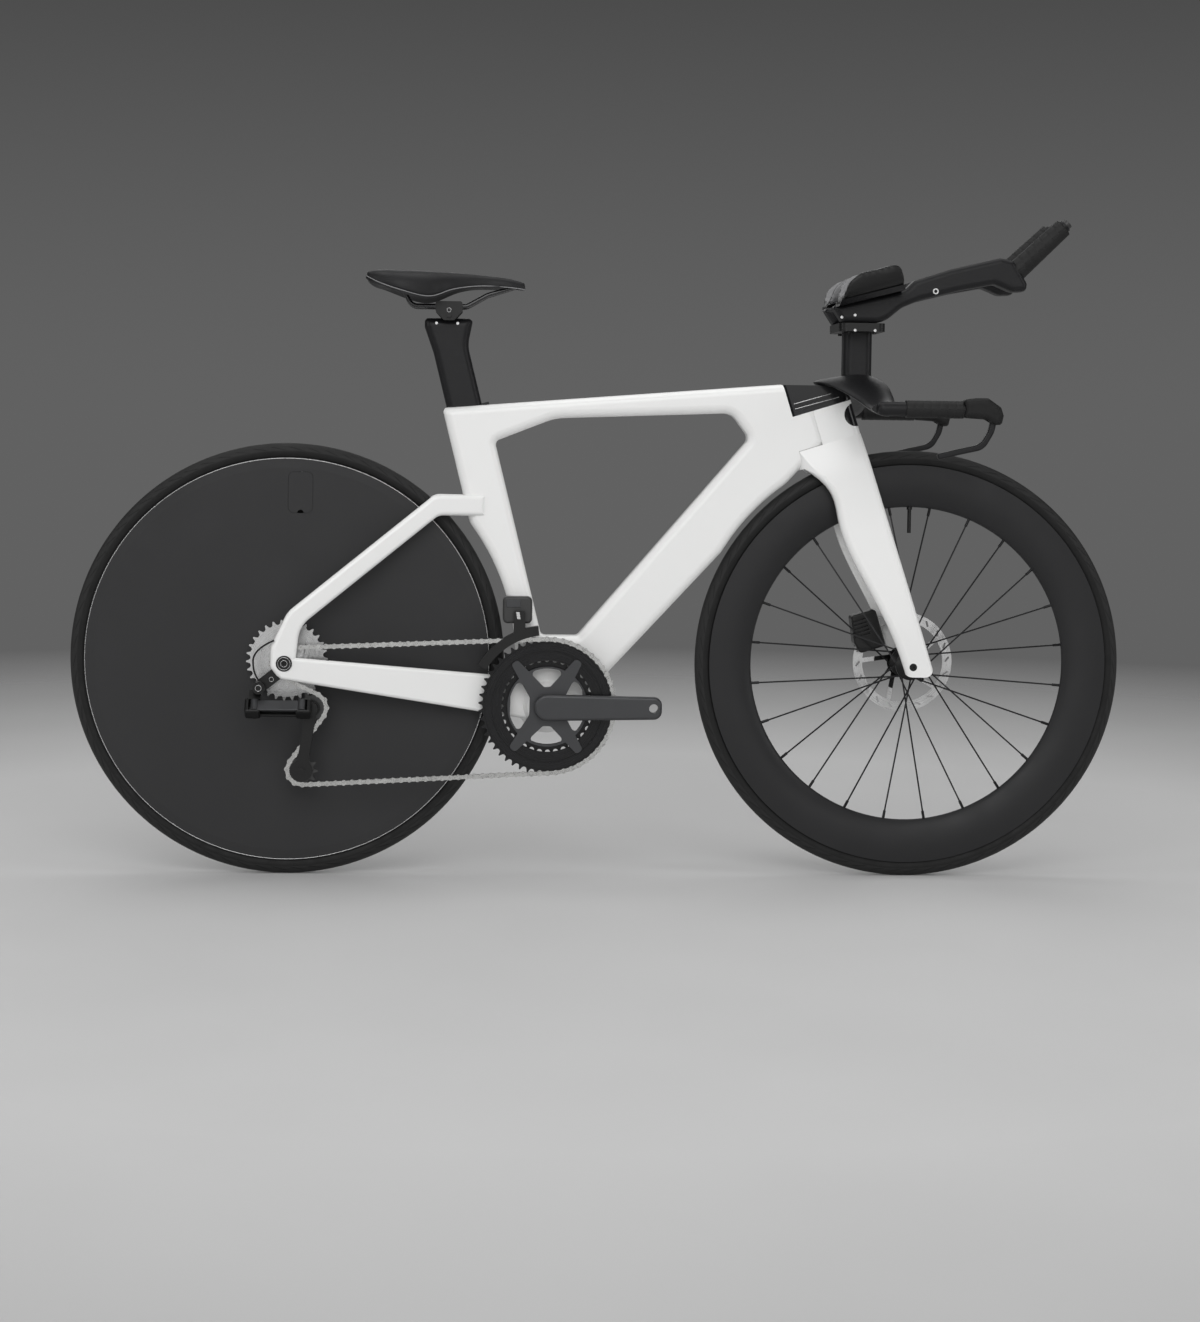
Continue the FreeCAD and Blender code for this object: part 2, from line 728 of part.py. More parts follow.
# Main points
AXLE_Z = TYRE_RADIUS
REAR = vec(-WHEELBASE / 2, AXLE_Z)
FRONT = vec(WHEELBASE / 2, AXLE_Z)
BB = vec(REAR.x + math.sqrt(CHAINSTAY_LENGTH ** 2 - BB_DROP ** 2), AXLE_Z - BB_DROP)
STEER_UP = heading(180.0 - HEAD_ANGLE)
STEER_FORE = heading(90.0 - HEAD_ANGLE)
STEER_FOOT = FRONT - STEER_FORE * FORK_RAKE
STEER = FreeCAD.Placement(STEER_FOOT, FreeCAD.Rotation(V(0.0, 1.0, 0.0), HEAD_ANGLE - 90.0))
HEAD_TOP = HEAD_LOW + HEAD_HEIGHT
SEAT_UP = 180.0 - SEAT_ANGLE
HALF_FRAME = FRAME_WIDTH / 2
HALF_SHELL = BB_SHELL_WIDTH / 2
HALF_REAR = REAR_SPACING / 2
HALF_FRONT = FRONT_SPACING / 2


def steer_point(fore, up, y=0.0):
    return STEER_FOOT + STEER_FORE * fore + STEER_UP * up + V(0.0, y, 0.0)


HEAD_CAP = steer_point(0.0, HEAD_TOP)
BAR_X = HEAD_CAP.x + BAR_LEAD
BAR_Z = HEAD_CAP.z + BAR_RISE
STEM_TOP_Z = BAR_Z - STEM_TOP_DROP
RISER_X = BAR_X - RISER_SETBACK
RISER_TOP_Z = BAR_Z + RISER_HEIGHT
EXTENSION_X = BAR_X - EXTENSION_SETBACK
EXTENSION_Z = BAR_Z + EXTENSION_RISE
TIP_X = BAR_X + TIP_LEAD
TIP_Z = BAR_Z + TIP_RISE
REST_X = BAR_X - REST_SETBACK
REST_Z = BAR_Z + REST_RISE


def steer_box(rear, front, half, low, high):
    return Part.makeBox(front - rear, half + half, high - low, V(rear, -half, low))


def steer_rod(radius, low, high):
    return Part.makeCylinder(radius, high - low, V(0.0, 0.0, low))


def rise_of(start, end, offset):
    """Slope of the line to the end point that passes the start at an offset below it."""
    run = end - start
    return math.degrees(math.atan2(run.z, run.x) + math.asin(offset / run.Length))


# Frame
SEAT_FRONT_LINE = (vec(BB.x + SEAT_TUBE_LEAD, BB.z), SEAT_UP)
SEAT_REAR_LINE = (vec(BB.x + SEAT_TUBE_LEAD - SEAT_TUBE_DEPTH / math.sin(math.radians(SEAT_ANGLE)), BB.z),
    SEAT_UP)
SEAT_TOP = BB + heading(SEAT_UP) * SEAT_TUBE_LENGTH
TOP_TUBE_RISE = rise_of(SEAT_TOP, steer_point(0.0, HEAD_TOP + TOP_TUBE_CROSS), 0.0)
TOP_TUBE_LOW_RISE = TOP_TUBE_RISE - TOP_TUBE_TAPER
TOP_LINE = (SEAT_TOP, TOP_TUBE_RISE)
DOWN_LOW_RISE = rise_of(BB, steer_point(0.0, HEAD_LOW + DOWN_TUBE_LOW_CROSS), DOWN_TUBE_DROP)
DOWN_UP_RISE = rise_of(BB, steer_point(0.0, HEAD_LOW + DOWN_TUBE_UP_CROSS), -DOWN_TUBE_LIFT)
DOWN_LOW_LINE = (BB + heading(DOWN_LOW_RISE - 90.0) * DOWN_TUBE_DROP, DOWN_LOW_RISE)
DOWN_UP_LINE = (BB + heading(DOWN_UP_RISE + 90.0) * DOWN_TUBE_LIFT, DOWN_UP_RISE)
FRONT_REACH = (FRONT - DOWN_LOW_LINE[0]).dot(heading(DOWN_LOW_RISE - 90.0))
FRONT_CUT_RADIUS = max(TYRE_RADIUS + DOWN_TUBE_ROOM, FRONT_REACH + DOWN_TUBE_BITE)
POST_AXIS_LINE = (meet(SEAT_REAR_LINE,
    TOP_LINE) + heading(SEAT_UP - 90.0) * (POST_SETBACK + POST_CHORD / 2), SEAT_UP)
POST_TOP_POINT = meet(POST_AXIS_LINE, TOP_LINE)
POST_ACROSS = heading(SEAT_UP - 90.0)
POST_ALONG = heading(SEAT_UP)
POST_CREST = POST_TOP_POINT + POST_ALONG * POST_BLADE_RISE + V(-POST_HEAD_SETBACK, 0.0, POST_HEAD_RISE)
SADDLE_TAIL_X = POST_CREST.x - SADDLE_SETBACK
SADDLE_LOW_Z = POST_CREST.z + SADDLE_RISE
RAIL_START_X = POST_CREST.x - RAIL_SETBACK
RAIL_LOW_Z = POST_CREST.z + RAIL_RISE


def post_blade(low, high, gap):
    """Straight aero blade of the seatpost, with a gap all round for its pocket."""
    wire = rounded_box_wire(POST_TOP_POINT + POST_ALONG * low, POST_ACROSS, V(0.0, 1.0, 0.0),
        POST_CHORD / 2 + gap,
                            POST_WIDTH / 2 + gap, POST_EDGE + gap)
    return Part.Face(wire).extrude(POST_ALONG * (high - low))


def wedge_block(gap):
    """Clamping wedge ahead of the seatpost."""
    start = POST_TOP_POINT + POST_ACROSS * (POST_CHORD / 2 + SEAM - gap)
    start = start - POST_ALONG * (WEDGE_HEIGHT + WEDGE_SINK + gap)
    far = WEDGE_LENGTH + gap + gap
    tall = WEDGE_HEIGHT + gap
    half = WEDGE_WIDTH / 2 + gap
    points = [start, start + POST_ACROSS * far, start + POST_ACROSS * far + POST_ALONG * tall,
        start + POST_ALONG * tall]
    return prism(points, [0.0] * 4, -half, half)


def creases(solid, centre, radius):
    """Edges across the frame where a round wheel cut meets its outline."""
    chosen = []
    for edge in solid.Edges:
        box = edge.BoundBox
        away = math.hypot(box.Center.x - centre.x, box.Center.z - centre.z) - radius
        if box.YLength > HALF_FRAME and abs(away) < 1e-3:
            chosen.append(edge)
    return chosen


def front_triangle():
    far = FORK_DEPTH
    front_line = (steer_point(far, 0.0), 180.0 - HEAD_ANGLE)
    heel_line = (vec(BB.x, BB.z - BB_HEEL), 0.0)
    outer = [
        meet(SEAT_REAR_LINE, TOP_LINE),
        meet(TOP_LINE, front_line),
        meet(DOWN_LOW_LINE, front_line),
        DOWN_LOW_LINE[0],
        meet(SEAT_REAR_LINE, heel_line),
    ]
    solid = prism(outer, [SEAT_TOP_CORNER, 0.0, 0.0, BB_HEEL_CORNER, BB_HEEL_CORNER], -HALF_FRAME,
        HALF_FRAME)
    gusset_top = vec(BB.x + GUSSET_LEAD, 0.0)
    blend = meet(TOP_LINE, (gusset_top, 90.0)) - V(0.0, 0.0, TOP_TUBE_DEPTH)
    gusset = (steer_point(-HEAD_GUSSET_SETBACK, HEAD_TOP), -HEAD_GUSSET_FALL)
    head_top = meet((blend, TOP_TUBE_LOW_RISE), gusset)
    shelf = (vec(BB.x, BB.z + BB_SHELF), 0.0)
    inner = [
        meet(SEAT_FRONT_LINE, (blend, GUSSET_RISE)),
        blend,
        head_top,
        meet(DOWN_UP_LINE, gusset),
        meet(DOWN_UP_LINE, shelf),
        meet(SEAT_FRONT_LINE, shelf),
    ]
    corners = [GUSSET_CORNER, GUSSET_BLEND, HEAD_GUSSET_CORNER, HEAD_CORNER, BB_SHELF_CORNER,
        BB_SHELF_CORNER]
    solid = solid.cut(prism(inner, corners, -TOOL, TOOL))
    solid = solid.cut(barrel(WHEEL_CUT_RADIUS, REAR, -TOOL, TOOL))
    solid = solid.makeFillet(WHEEL_CUT_CORNER, [max(creases(solid, REAR, WHEEL_CUT_RADIUS),
        key=lambda e: e.BoundBox.ZMax)])
    solid = solid.cut(barrel(FRONT_CUT_RADIUS, FRONT, -TOOL, TOOL))
    solid = solid.makeFillet(FRONT_CUT_CORNER, creases(solid, FRONT, FRONT_CUT_RADIUS))
    rims = []
    for edge in face_edges(solid, (-HALF_FRAME, HALF_FRAME)):
        offset = edge.BoundBox.Center - STEER_FOOT
        if offset.dot(STEER_FORE) < far - CLEARANCE:
            rims.append(edge)
    solid = solid.makeFillet(FRAME_EDGE, rims)
    for side in (-1.0, 1.0):
        flare = Part.makeCone(BB_FLARE_RADIUS, BB_SHELL_RADIUS, HALF_SHELL, BB, V(0.0, side, 0.0))
        solid = solid.fuse(flare)
    solid = solid.cut(barrel(WHEEL_CUT_RADIUS, REAR, -TOOL, TOOL))
    below = steer_rod(CROWN_RADIUS + CLEARANCE, 0.0, HEAD_LOW)
    below = below.fuse(steer_box(0.0, TOOL, TOOL, 0.0, HEAD_LOW))
    ahead = steer_box(0.0, TOOL, TOOL, HEAD_LOW, HEAD_TOP).cut(steer_rod(HEAD_RADIUS, HEAD_LOW, HEAD_TOP))
    above = steer_rod(STEM_RADIUS + CLEARANCE, HEAD_TOP, HEAD_TOP + TOOL)
    above = above.fuse(steer_box(-STEM_FACE, TOOL, TOOL, HEAD_TOP, HEAD_TOP + TOOL))
    for tool in (below, ahead, above):
        solid = solid.cut(placed(tool, STEER))
    bore = steer_rod(HEAD_BORE_RADIUS, HEAD_LOW, HEAD_TOP)
    bore = bore.fuse(steer_rod(HEADSET_RADIUS, HEAD_LOW, HEAD_LOW + HEADSET_HEIGHT))
    bore = bore.fuse(steer_rod(HEADSET_RADIUS, HEAD_TOP - HEADSET_HEIGHT, HEAD_TOP))
    solid = solid.cut(placed(bore, STEER))
    solid = solid.cut(barrel(BB_BORE_RADIUS, BB, -TOOL, TOOL))
    solid = solid.cut(post_blade(-POST_INSERT - POST_ADJUST - CLEARANCE, POST_CHORD, CLEARANCE / 2))
    wedge = wedge_block(0.0)
    return solid.cut(wedge.fuse(wedge.translated(POST_ALONG * (WEDGE_SINK + WEDGE_HEIGHT / 2))))


def splayed(points, radii, front, rear, width, edge):
    """Stay plate on the right side, splayed outwards from front to rear; its side view keeps its outline."""
    run = front[0] - rear[0]
    splay = math.atan2(rear[1] - front[1], run)
    stretch = 1.0 / math.cos(splay)
    drawn = [V(rear[0] + (p.x - rear[0]) * stretch, 0.0, p.z) for p in points]
    plate = soft_prism(drawn, radii, -rear[1], width - rear[1], edge)
    plate.rotate(V(rear[0], -rear[1], 0.0), V(0.0, 0.0, 1.0), math.degrees(splay))
    return plate


def right_stays(frame):
    root = vec(BB.x - STAY_ROOT_LEAD, BB.z + STAY_ROOT_HEIGHT)
    bend = vec(BB.x - STAY_BEND_LEAD, BB.z + STAY_ROOT_HEIGHT)
    foot = vec(REAR.x + STAY_FOOT_LEAD, REAR.z + STAY_FOOT_HEIGHT)
    outline = ribbon([root, bend, foot], [STAY_ROOT_DEPTH, STAY_DEPTH])
    if outline[0].z < root.z:
        outline.reverse()
    half = len(outline) // 2
    tail = shaped(DROPOUT_SHARES, REAR, DROPOUT_SIZE, DROPOUT_SIZE)
    corners = [0.0, STAY_BEND_CORNER, STAY_FOOT_CORNER]
    rounds = [DROPOUT_SIZE * share for share in DROPOUT_CORNER_SHARES]
    stay = splayed(outline[:half] + tail + outline[half:], corners + rounds + list(reversed(corners)),
        (root.x, STAY_TOP_Y), (REAR.x, DROPOUT_OUTER_Y), STAY_WIDTH, STAY_EDGE)
    chain = [
        vec(BB.x, BB.z - CHAINSTAY_HEEL),
        vec(BB.x, BB.z + CHAINSTAY_SHOULDER),
        vec(REAR.x, REAR.z + CHAINSTAY_TOP_RISE),
        vec(REAR.x - DROPOUT_TAIL, REAR.z),
        vec(REAR.x - CHAINSTAY_TAIL_RISE, REAR.z - CHAINSTAY_TAIL_DROP),
    ]
    corners = [0.0, 0.0, STAY_EDGE, DROPOUT_TAIL_CORNER, DROPOUT_TAIL_CORNER]
    plate = splayed(chain, corners, (BB.x, CHAINSTAY_FRONT_Y - CHAINSTAY_EDGE), (REAR.x, DROPOUT_OUTER_Y),
        CHAINSTAY_WIDTH,
                    CHAINSTAY_EDGE)
    solid = stay.fuse(plate).fuse(barrel(DROPOUT_TAIL_CORNER + AXLE_RECESS, REAR,
        -DROPOUT_OUTER_Y + AXLE_RECESS, -HALF_REAR))
    solid = solid.cut(barrel(CASSETTE_ROOM, REAR, -HALF_REAR, 0.0))
    solid = solid.cut(barrel(REAR_AXLE_RADIUS, REAR, -TOOL, 0.0))
    solid = solid.cut(barrel(AXLE_HEAD_RADIUS + CLEARANCE, REAR, -TOOL, -DROPOUT_OUTER_Y + AXLE_RECESS))
    solid = solid.cut(frame)
    solid = solid.cut(barrel(BB_BORE_RADIUS, BB, -TOOL, TOOL))
    solid = solid.cut(post_blade(-TOOL, 0.0, CLEARANCE))
    return max(solid.Solids, key=lambda s: s.Volume)


def frame_bearings():
    pieces = []
    for low in (HEAD_LOW, HEAD_TOP - HEADSET_HEIGHT):
        ring = steer_rod(HEADSET_RADIUS, low, low + HEADSET_HEIGHT)
        ring = ring.cut(steer_rod(STEERER_RADIUS + RUNNING_FIT, low, low + HEADSET_HEIGHT))
        pieces.append(placed(ring, STEER))
    cup = collar(BB_BORE_RADIUS, SPINDLE_RADIUS + RUNNING_FIT, BB, -HALF_SHELL, -HALF_SHELL + CUP_DEPTH)
    cup = cup.fuse(collar(CUP_RADIUS, SPINDLE_RADIUS + RUNNING_FIT, BB, -HALF_SHELL - CUP_LIP, -HALF_SHELL))
    return group(*pieces, cup, mirrored(cup))


def rear_axle():
    head = -DROPOUT_OUTER_Y + AXLE_RECESS
    shaft = barrel(REAR_AXLE_RADIUS, REAR, head, DROPOUT_OUTER_Y)
    shaft = shaft.fuse(barrel(AXLE_HEAD_RADIUS, REAR, head - AXLE_HEAD_DEPTH, head))
    socket = barrel(AXLE_HEX, REAR, head - AXLE_HEAD_DEPTH, head)
    cap = collar(END_CAP_RADIUS, REAR_AXLE_RADIUS, REAR, -HALF_REAR, -HALF_REAR + END_CAP_LENGTH)
    return group(shaft.cut(socket), cap, mirrored(cap))


# Seatpost and saddle


def seatpost_outline():
    half = POST_CHORD / 2
    top = POST_TOP_POINT + POST_ALONG * POST_BLADE_RISE
    low = POST_TOP_POINT - POST_ALONG * POST_INSERT
    crest = POST_CREST
    points = [
        low + POST_ACROSS * half,
        top + POST_ACROSS * half,
        crest + V(POST_HEAD_LENGTH / 2, 0.0, 0.0),
        crest - V(POST_HEAD_LENGTH / 2, 0.0, 0.0),
        crest - V(POST_HEAD_LENGTH / 2, 0.0, POST_HEAD_LIP),
        top - POST_ACROSS * half,
        low - POST_ACROSS * half,
    ]
    return points


def seatpost():
    points = seatpost_outline()
    corners = [0.0, POST_CHORD, POST_HEAD_CORNER, POST_HEAD_CORNER, POST_HEAD_CORNER, POST_CHORD, 0.0]
    half = POST_WIDTH / 2
    solid = prism(points, corners, -half, half)
    low = POST_TOP_POINT - POST_ALONG * POST_INSERT
    rims = []
    for edge in face_edges(solid, (-half, half)):
        if (edge.BoundBox.Center - low).dot(POST_ALONG) > CLEARANCE:
            rims.append(edge)
    solid = solid.makeFillet(POST_EDGE, rims)
    cavity = rod(low, low + POST_ALONG * (BATTERY_LENGTH + BATTERY_DEPTH), BATTERY_RADIUS + CLEARANCE)
    seat = barrel(CLAMP_BARREL_RADIUS + CLEARANCE, clamp_centre(), -TOOL, TOOL)
    return solid.cut(cavity).cut(seat)


def clamp_centre():
    return POST_CREST + V(0.0, 0.0, CLAMP_BARREL_RADIUS / 2)


def shift_battery():
    low = POST_TOP_POINT - POST_ALONG * (POST_INSERT - BATTERY_DEPTH / 2)
    return rod(low, low + POST_ALONG * BATTERY_LENGTH, BATTERY_RADIUS)


def rail_points(side):
    points = []
    for station, rise, spread in zip(RAIL_STATION_SHARES, RAIL_RISE_SHARES, RAIL_SPREAD_SHARES):
        wide = RAIL_NOSE_GAP + (RAIL_HALF_GAP - RAIL_NOSE_GAP) * spread
        points.append(vec(RAIL_START_X + RAIL_LENGTH * station, RAIL_LOW_Z + RAIL_HEIGHT * rise,
            wide * side))
    return points


def saddle_rails():
    return group(*[pipe(rail_points(side), RAIL_RADIUS, RAIL_BEND) for side in (-1.0, 1.0)])


def saddle_clamp():
    centre = clamp_centre()
    middle = barrel(CLAMP_BARREL_RADIUS, centre, -CLAMP_HALF_WIDTH + RAIL_RADIUS,
        CLAMP_HALF_WIDTH - RAIL_RADIUS)
    block = []
    for side in (-1.0, 1.0):
        near = RAIL_HALF_GAP - RAIL_RADIUS - CLEARANCE
        far = CLAMP_HALF_WIDTH
        low_y = min(side * near, side * far)
        high_y = max(side * near, side * far)
        rail = vec(centre.x, RAIL_LOW_Z)
        outline = [
            rail + V(-CLAMP_LENGTH / 2, 0.0, CLAMP_HEIGHT / 2),
            rail + V(CLAMP_LENGTH / 2, 0.0, CLAMP_HEIGHT / 2),
            rail + V(CLAMP_LENGTH / 2, 0.0, -CLAMP_HEIGHT / 2),
            centre + V(CLAMP_BARREL_RADIUS, 0.0, -CLAMP_BARREL_RADIUS),
            centre + V(-CLAMP_BARREL_RADIUS, 0.0, -CLAMP_BARREL_RADIUS),
            rail + V(-CLAMP_LENGTH / 2, 0.0, -CLAMP_HEIGHT / 2),
        ]
        ear = prism(outline, [CLAMP_BOLT_RADIUS] * 6, low_y, high_y)
        ear = ear.cut(barrel(CLAMP_BARREL_RADIUS, centre, -CLAMP_HALF_WIDTH + RAIL_RADIUS,
            CLAMP_HALF_WIDTH - RAIL_RADIUS))
        block.append(ear.cut(saddle_rails()))
        head = barrel(CLAMP_BOLT_RADIUS, centre, min(side * far, side * (far + RAIL_RADIUS)),
            max(side * far, side * (far + RAIL_RADIUS)))
        block.append(head)
    return group(middle, *block)


def saddle_rows():
    """Place along the saddle, half width, top, skirt and underside of each section."""
    rows = []
    for i, share in enumerate(SADDLE_STATION_SHARES):
        rows.append((
            SADDLE_TAIL_X + SADDLE_LENGTH * share,
            SADDLE_WIDTH * SADDLE_HALF_SHARES[i],
            SADDLE_LOW_Z + SADDLE_HEIGHT * SADDLE_TOP_SHARES[i],
            SADDLE_LOW_Z + SADDLE_HEIGHT * SADDLE_SKIRT_SHARES[i],
            SADDLE_LOW_Z + SADDLE_HEIGHT * SADDLE_UNDER_SHARES[i],
        ))
    return rows


def spline(points):
    curve = Part.BSplineCurve()
    curve.interpolate(points)
    return curve.toShape()


def arch_points(x, half, skirt, under):
    """Arched underside from the left skirt to the right one."""
    across, rise = SADDLE_ARCH_SHARES
    shoulder = skirt + (under - skirt) * rise
    points = [V(x, half, skirt), V(x, half * across, shoulder), V(x, 0.0, under)]
    return points + [V(x, -half * across, shoulder), V(x, -half, skirt)]


def saddle_cover():
    wires = []
    for x, half, top, skirt, under in saddle_rows():
        right = [V(x, -half * across, skirt + (top - skirt) * rise) for across, rise in SADDLE_CROWN_SHARES]
        left = [V(p.x, -p.y, p.z) for p in reversed(right)]
        crown = spline(right + [V(x, 0.0, top)] + left)
        wires.append(Part.Wire([crown, spline(arch_points(x, half, skirt, under))]))
    return Part.makeLoft(wires, True)


def saddle_shell():
    wires = []
    for x, half, top, skirt, under in saddle_rows():
        upper = arch_points(x, half - SEAM, skirt - SEAM, under - SEAM)
        lower = [p - V(0.0, 0.0, SADDLE_SHELL) for p in upper]
        ends = [Part.makeLine(upper[-1], lower[-1]), Part.makeLine(lower[0], upper[0])]
        wires.append(Part.Wire([spline(upper), ends[0], spline(lower), ends[1]]))
    shell = Part.makeLoft(wires, True)
    return shell.cut(saddle_rails())


# Wheels


def tyre(centre):
    middle = TYRE_RADIUS - TYRE_HEIGHT / 2
    faces = []
    for trim in (0.0, TYRE_WALL):
        tall = TYRE_HEIGHT / 2 - trim
        wide = TYRE_WIDTH / 2 - trim
        middle_point = V(centre.x, 0.0, centre.z + middle)
        oval = Part.Ellipse(middle_point + V(0.0, 0.0, tall), middle_point + V(0.0, wide, 0.0),
            middle_point).toShape()
        faces.append(Part.Face(Part.Wire(oval)))
    bed = [V(centre.x, -TYRE_WIDTH, centre.z), V(centre.x, TYRE_WIDTH, centre.z), V(centre.x, TYRE_WIDTH,
        centre.z + RIM_RADIUS),
           V(centre.x, -TYRE_WIDTH, centre.z + RIM_RADIUS)]
    bed = Part.Face(Part.makePolygon(bed + [bed[0]]))
    casing = faces[0].cut(faces[1]).cut(bed).Faces[0]
    return casing.revolve(V(centre.x, 0.0, centre.z), V(0.0, 1.0, 0.0), 360.0)


def rim_section(trim):
    """Smooth rim section, open at the tyre bed and round at its nose."""
    depth = RIM_DEPTH - trim - trim
    waist = RIM_WAIST / 2 - trim
    top = FRONT.z + RIM_RADIUS - trim
    right = []
    for share, half in zip(RIM_STATION_SHARES, RIM_HALF_SHARES):
        right.append(V(FRONT.x, -waist * half, top - depth * share))
    left = [V(p.x, -p.y, p.z) for p in reversed(right)]
    wall = spline(right + [V(FRONT.x, 0.0, top - depth)] + left)
    bed = Part.makeLine(left[-1], right[0])
    return Part.Face(Part.Wire([wall, bed])).revolve(FRONT, V(0.0, 1.0, 0.0), 360.0)


def front_rim():
    return rim_section(0.0).cut(rim_section(RIM_WALL))


def wheel_point(centre, radius, angle, y):
    return centre + heading(angle) * radius + V(0.0, y, 0.0)


def front_spokes():
    pieces = []
    step = 360.0 / SPOKE_COUNT
    rim = RIM_RADIUS - RIM_DEPTH
    for i in range(SPOKE_COUNT):
        angle = step * (i + 0.5)
        right = i % 2 == 0
        lead = SPOKE_LEAD if (i // 2) % 2 == 0 else -SPOKE_LEAD
        stagger = SPOKE_STAGGER if lead > 0.0 else -SPOKE_STAGGER
        flange = -HUB_RIGHT_FLANGE + stagger if right else HUB_LEFT_FLANGE + stagger
        start = wheel_point(FRONT, SPOKE_HOLE_RADIUS, angle + lead, flange)
        seat = wheel_point(FRONT, rim, angle, 0.0)
        line = (seat - start).normalize()
        end = seat - line * NIPPLE_LENGTH
        across = line.cross(V(0.0, 1.0, 0.0)).normalize()
        wire = rounded_box_wire(start, across, line.cross(across), SPOKE_WIDTH / 2, SPOKE_THICK / 2, 0.0)
        pieces.append(Part.Face(wire).extrude(end - start))
        nipple = rod(end, seat + line * RIM_WALL, NIPPLE_RADIUS)
        pieces.append(max(nipple.cut(front_rim_solid).Solids, key=lambda s: s.Volume))
    return group(*pieces)


def front_hub():
    inner = HUB_BEARING_RADIUS
    end = HALF_FRONT - HUB_INSET
    half = HUB_FLANGE_WIDTH / 2
    right = -HUB_RIGHT_FLANGE
    left = HUB_LEFT_FLANGE
    rotor = FRONT_ROTOR_Y - ROTOR_THICK / 2
    profile = [
        (inner, -end), (HUB_RADIUS, -end), (HUB_FLANGE_RADIUS, right - half), (HUB_FLANGE_RADIUS,
            right + half),
        (HUB_RADIUS, right + HUB_RADIUS), (HUB_RADIUS, left - HUB_RADIUS), (HUB_FLANGE_RADIUS, left - half),
        (HUB_FLANGE_RADIUS, left + half), (CARRIER_RADIUS, left + half), (CARRIER_RADIUS, rotor),
        (HUB_RADIUS, rotor), (HUB_RADIUS, end), (inner, end),
    ]
    shell = turned(profile, FRONT).cut(front_spokes_solid)
    bearings = []
    for low in (-end, end - HUB_BEARING_WIDTH):
        bearings.append(collar(inner, FRONT_AXLE_RADIUS + RUNNING_FIT, FRONT, low, low + HUB_BEARING_WIDTH))
    return group(shell, *bearings)


def rotor(centre, radius, y, bore):
    """Slotted brake track on swept carrier arms, with its lockring."""
    low = y - ROTOR_THICK / 2
    high = y + ROTOR_THICK / 2
    track = collar(radius, radius - ROTOR_TRACK, centre, low, high)
    slots = []
    for i in range(ROTOR_SLOT_COUNT):
        angle = 360.0 / ROTOR_SLOT_COUNT * i
        start = wheel_point(centre, radius - ROTOR_TRACK * ROTOR_SLOT_SHARES[0], angle, 0.0)
        end = wheel_point(centre, radius - ROTOR_TRACK * ROTOR_SLOT_SHARES[1], angle + ROTOR_SLOT_LEAN, 0.0)
        outline = ribbon([start, end], [ROTOR_SLOT])
        slots.append(prism(outline, [ROTOR_SLOT_CORNER] * 4, low, high))
    track = track.cut(Part.makeCompound(slots))
    arms = []
    for i in range(CARRIER_COUNT):
        angle = 360.0 / CARRIER_COUNT * i
        start = wheel_point(centre, (bore + CARRIER_RADIUS) / 2, angle, 0.0)
        end = wheel_point(centre, radius - ROTOR_TRACK * CARRIER_TIP_SHARE, angle + CARRIER_SWEEP, 0.0)
        arms.append(prism(ribbon([start, end], [CARRIER_ARM]), [0.0] * 4, low, high))
    plate = collar(CARRIER_RADIUS + CARRIER_ARM, bore, centre, low, high)
    for arm in arms:
        plate = plate.fuse(arm)
    disc = track.fuse(plate).cut(barrel(bore, centre, low, high))
    ring = collar(LOCKRING_RADIUS, bore, centre, high, high + LOCKRING_WIDTH)
    return group(disc, ring)


def valve(centre, angle):
    base = wheel_point(centre, RIM_RADIUS - RIM_DEPTH, angle, 0.0)
    inward = heading(angle) * -1.0
    stem = rod(base - inward * RIM_WALL, base + inward * (VALVE_LENGTH - RIM_WALL), VALVE_RADIUS)
    nut = rod(base, base + inward * VALVE_COLLAR, VALVE_RADIUS + VALVE_COLLAR_WALL)
    return max(stem.fuse(nut).cut(front_rim_solid).Solids, key=lambda s: s.Volume)


def front_axle():
    reach = FORK_DROPOUT_HALF
    shaft = barrel(FRONT_AXLE_RADIUS, FRONT, -reach, reach)
    shaft = shaft.cut(barrel(AXLE_HEX, FRONT, -reach, -reach + AXLE_HEAD_DEPTH))
    cap = collar(END_CAP_RADIUS, FRONT_AXLE_RADIUS, FRONT, -HALF_FRONT, -HALF_FRONT + END_CAP_LENGTH)
    return group(shaft, cap, mirrored(cap))


# Rear wheel


def disc_shell(y_shares, side):
    rows = []
    span = RIM_RADIUS - DISC_HUB_RADIUS
    for share, wide in zip(DISC_STATION_SHARES, y_shares):
        rows.append((DISC_HUB_RADIUS + span * share, side * DISC_HALF_WIDTH * wide))
    inner = [(r, y - side * DISC_WALL) for r, y in rows[:-1]]
    bed = RIM_RADIUS - DISC_BED
    inner.append((bed, rows[-1][1] - side * DISC_WALL))
    profile = rows + [(RIM_RADIUS, 0.0), (bed, 0.0)] + list(reversed(inner))
    return turned(profile, REAR)


def cover_tool(gap):
    centre = vec(REAR.x + COVER_LEAD, REAR.z + COVER_RISE)
    wire = rounded_box_wire(centre + V(0.0, -TOOL, 0.0), V(1.0, 0.0, 0.0), V(0.0, 0.0, 1.0),
        COVER_WIDTH / 2 + gap,
                            COVER_HEIGHT / 2 + gap, COVER_CORNER + gap)
    return Part.Face(wire).extrude(V(0.0, TOOL, 0.0))


def valve_cover(shell):
    notch = vec(REAR.x + COVER_LEAD, REAR.z + COVER_RISE - COVER_HEIGHT / 2)
    return shell.common(cover_tool(0.0)).cut(barrel(NOTCH_RADIUS, notch, -TOOL, 0.0))


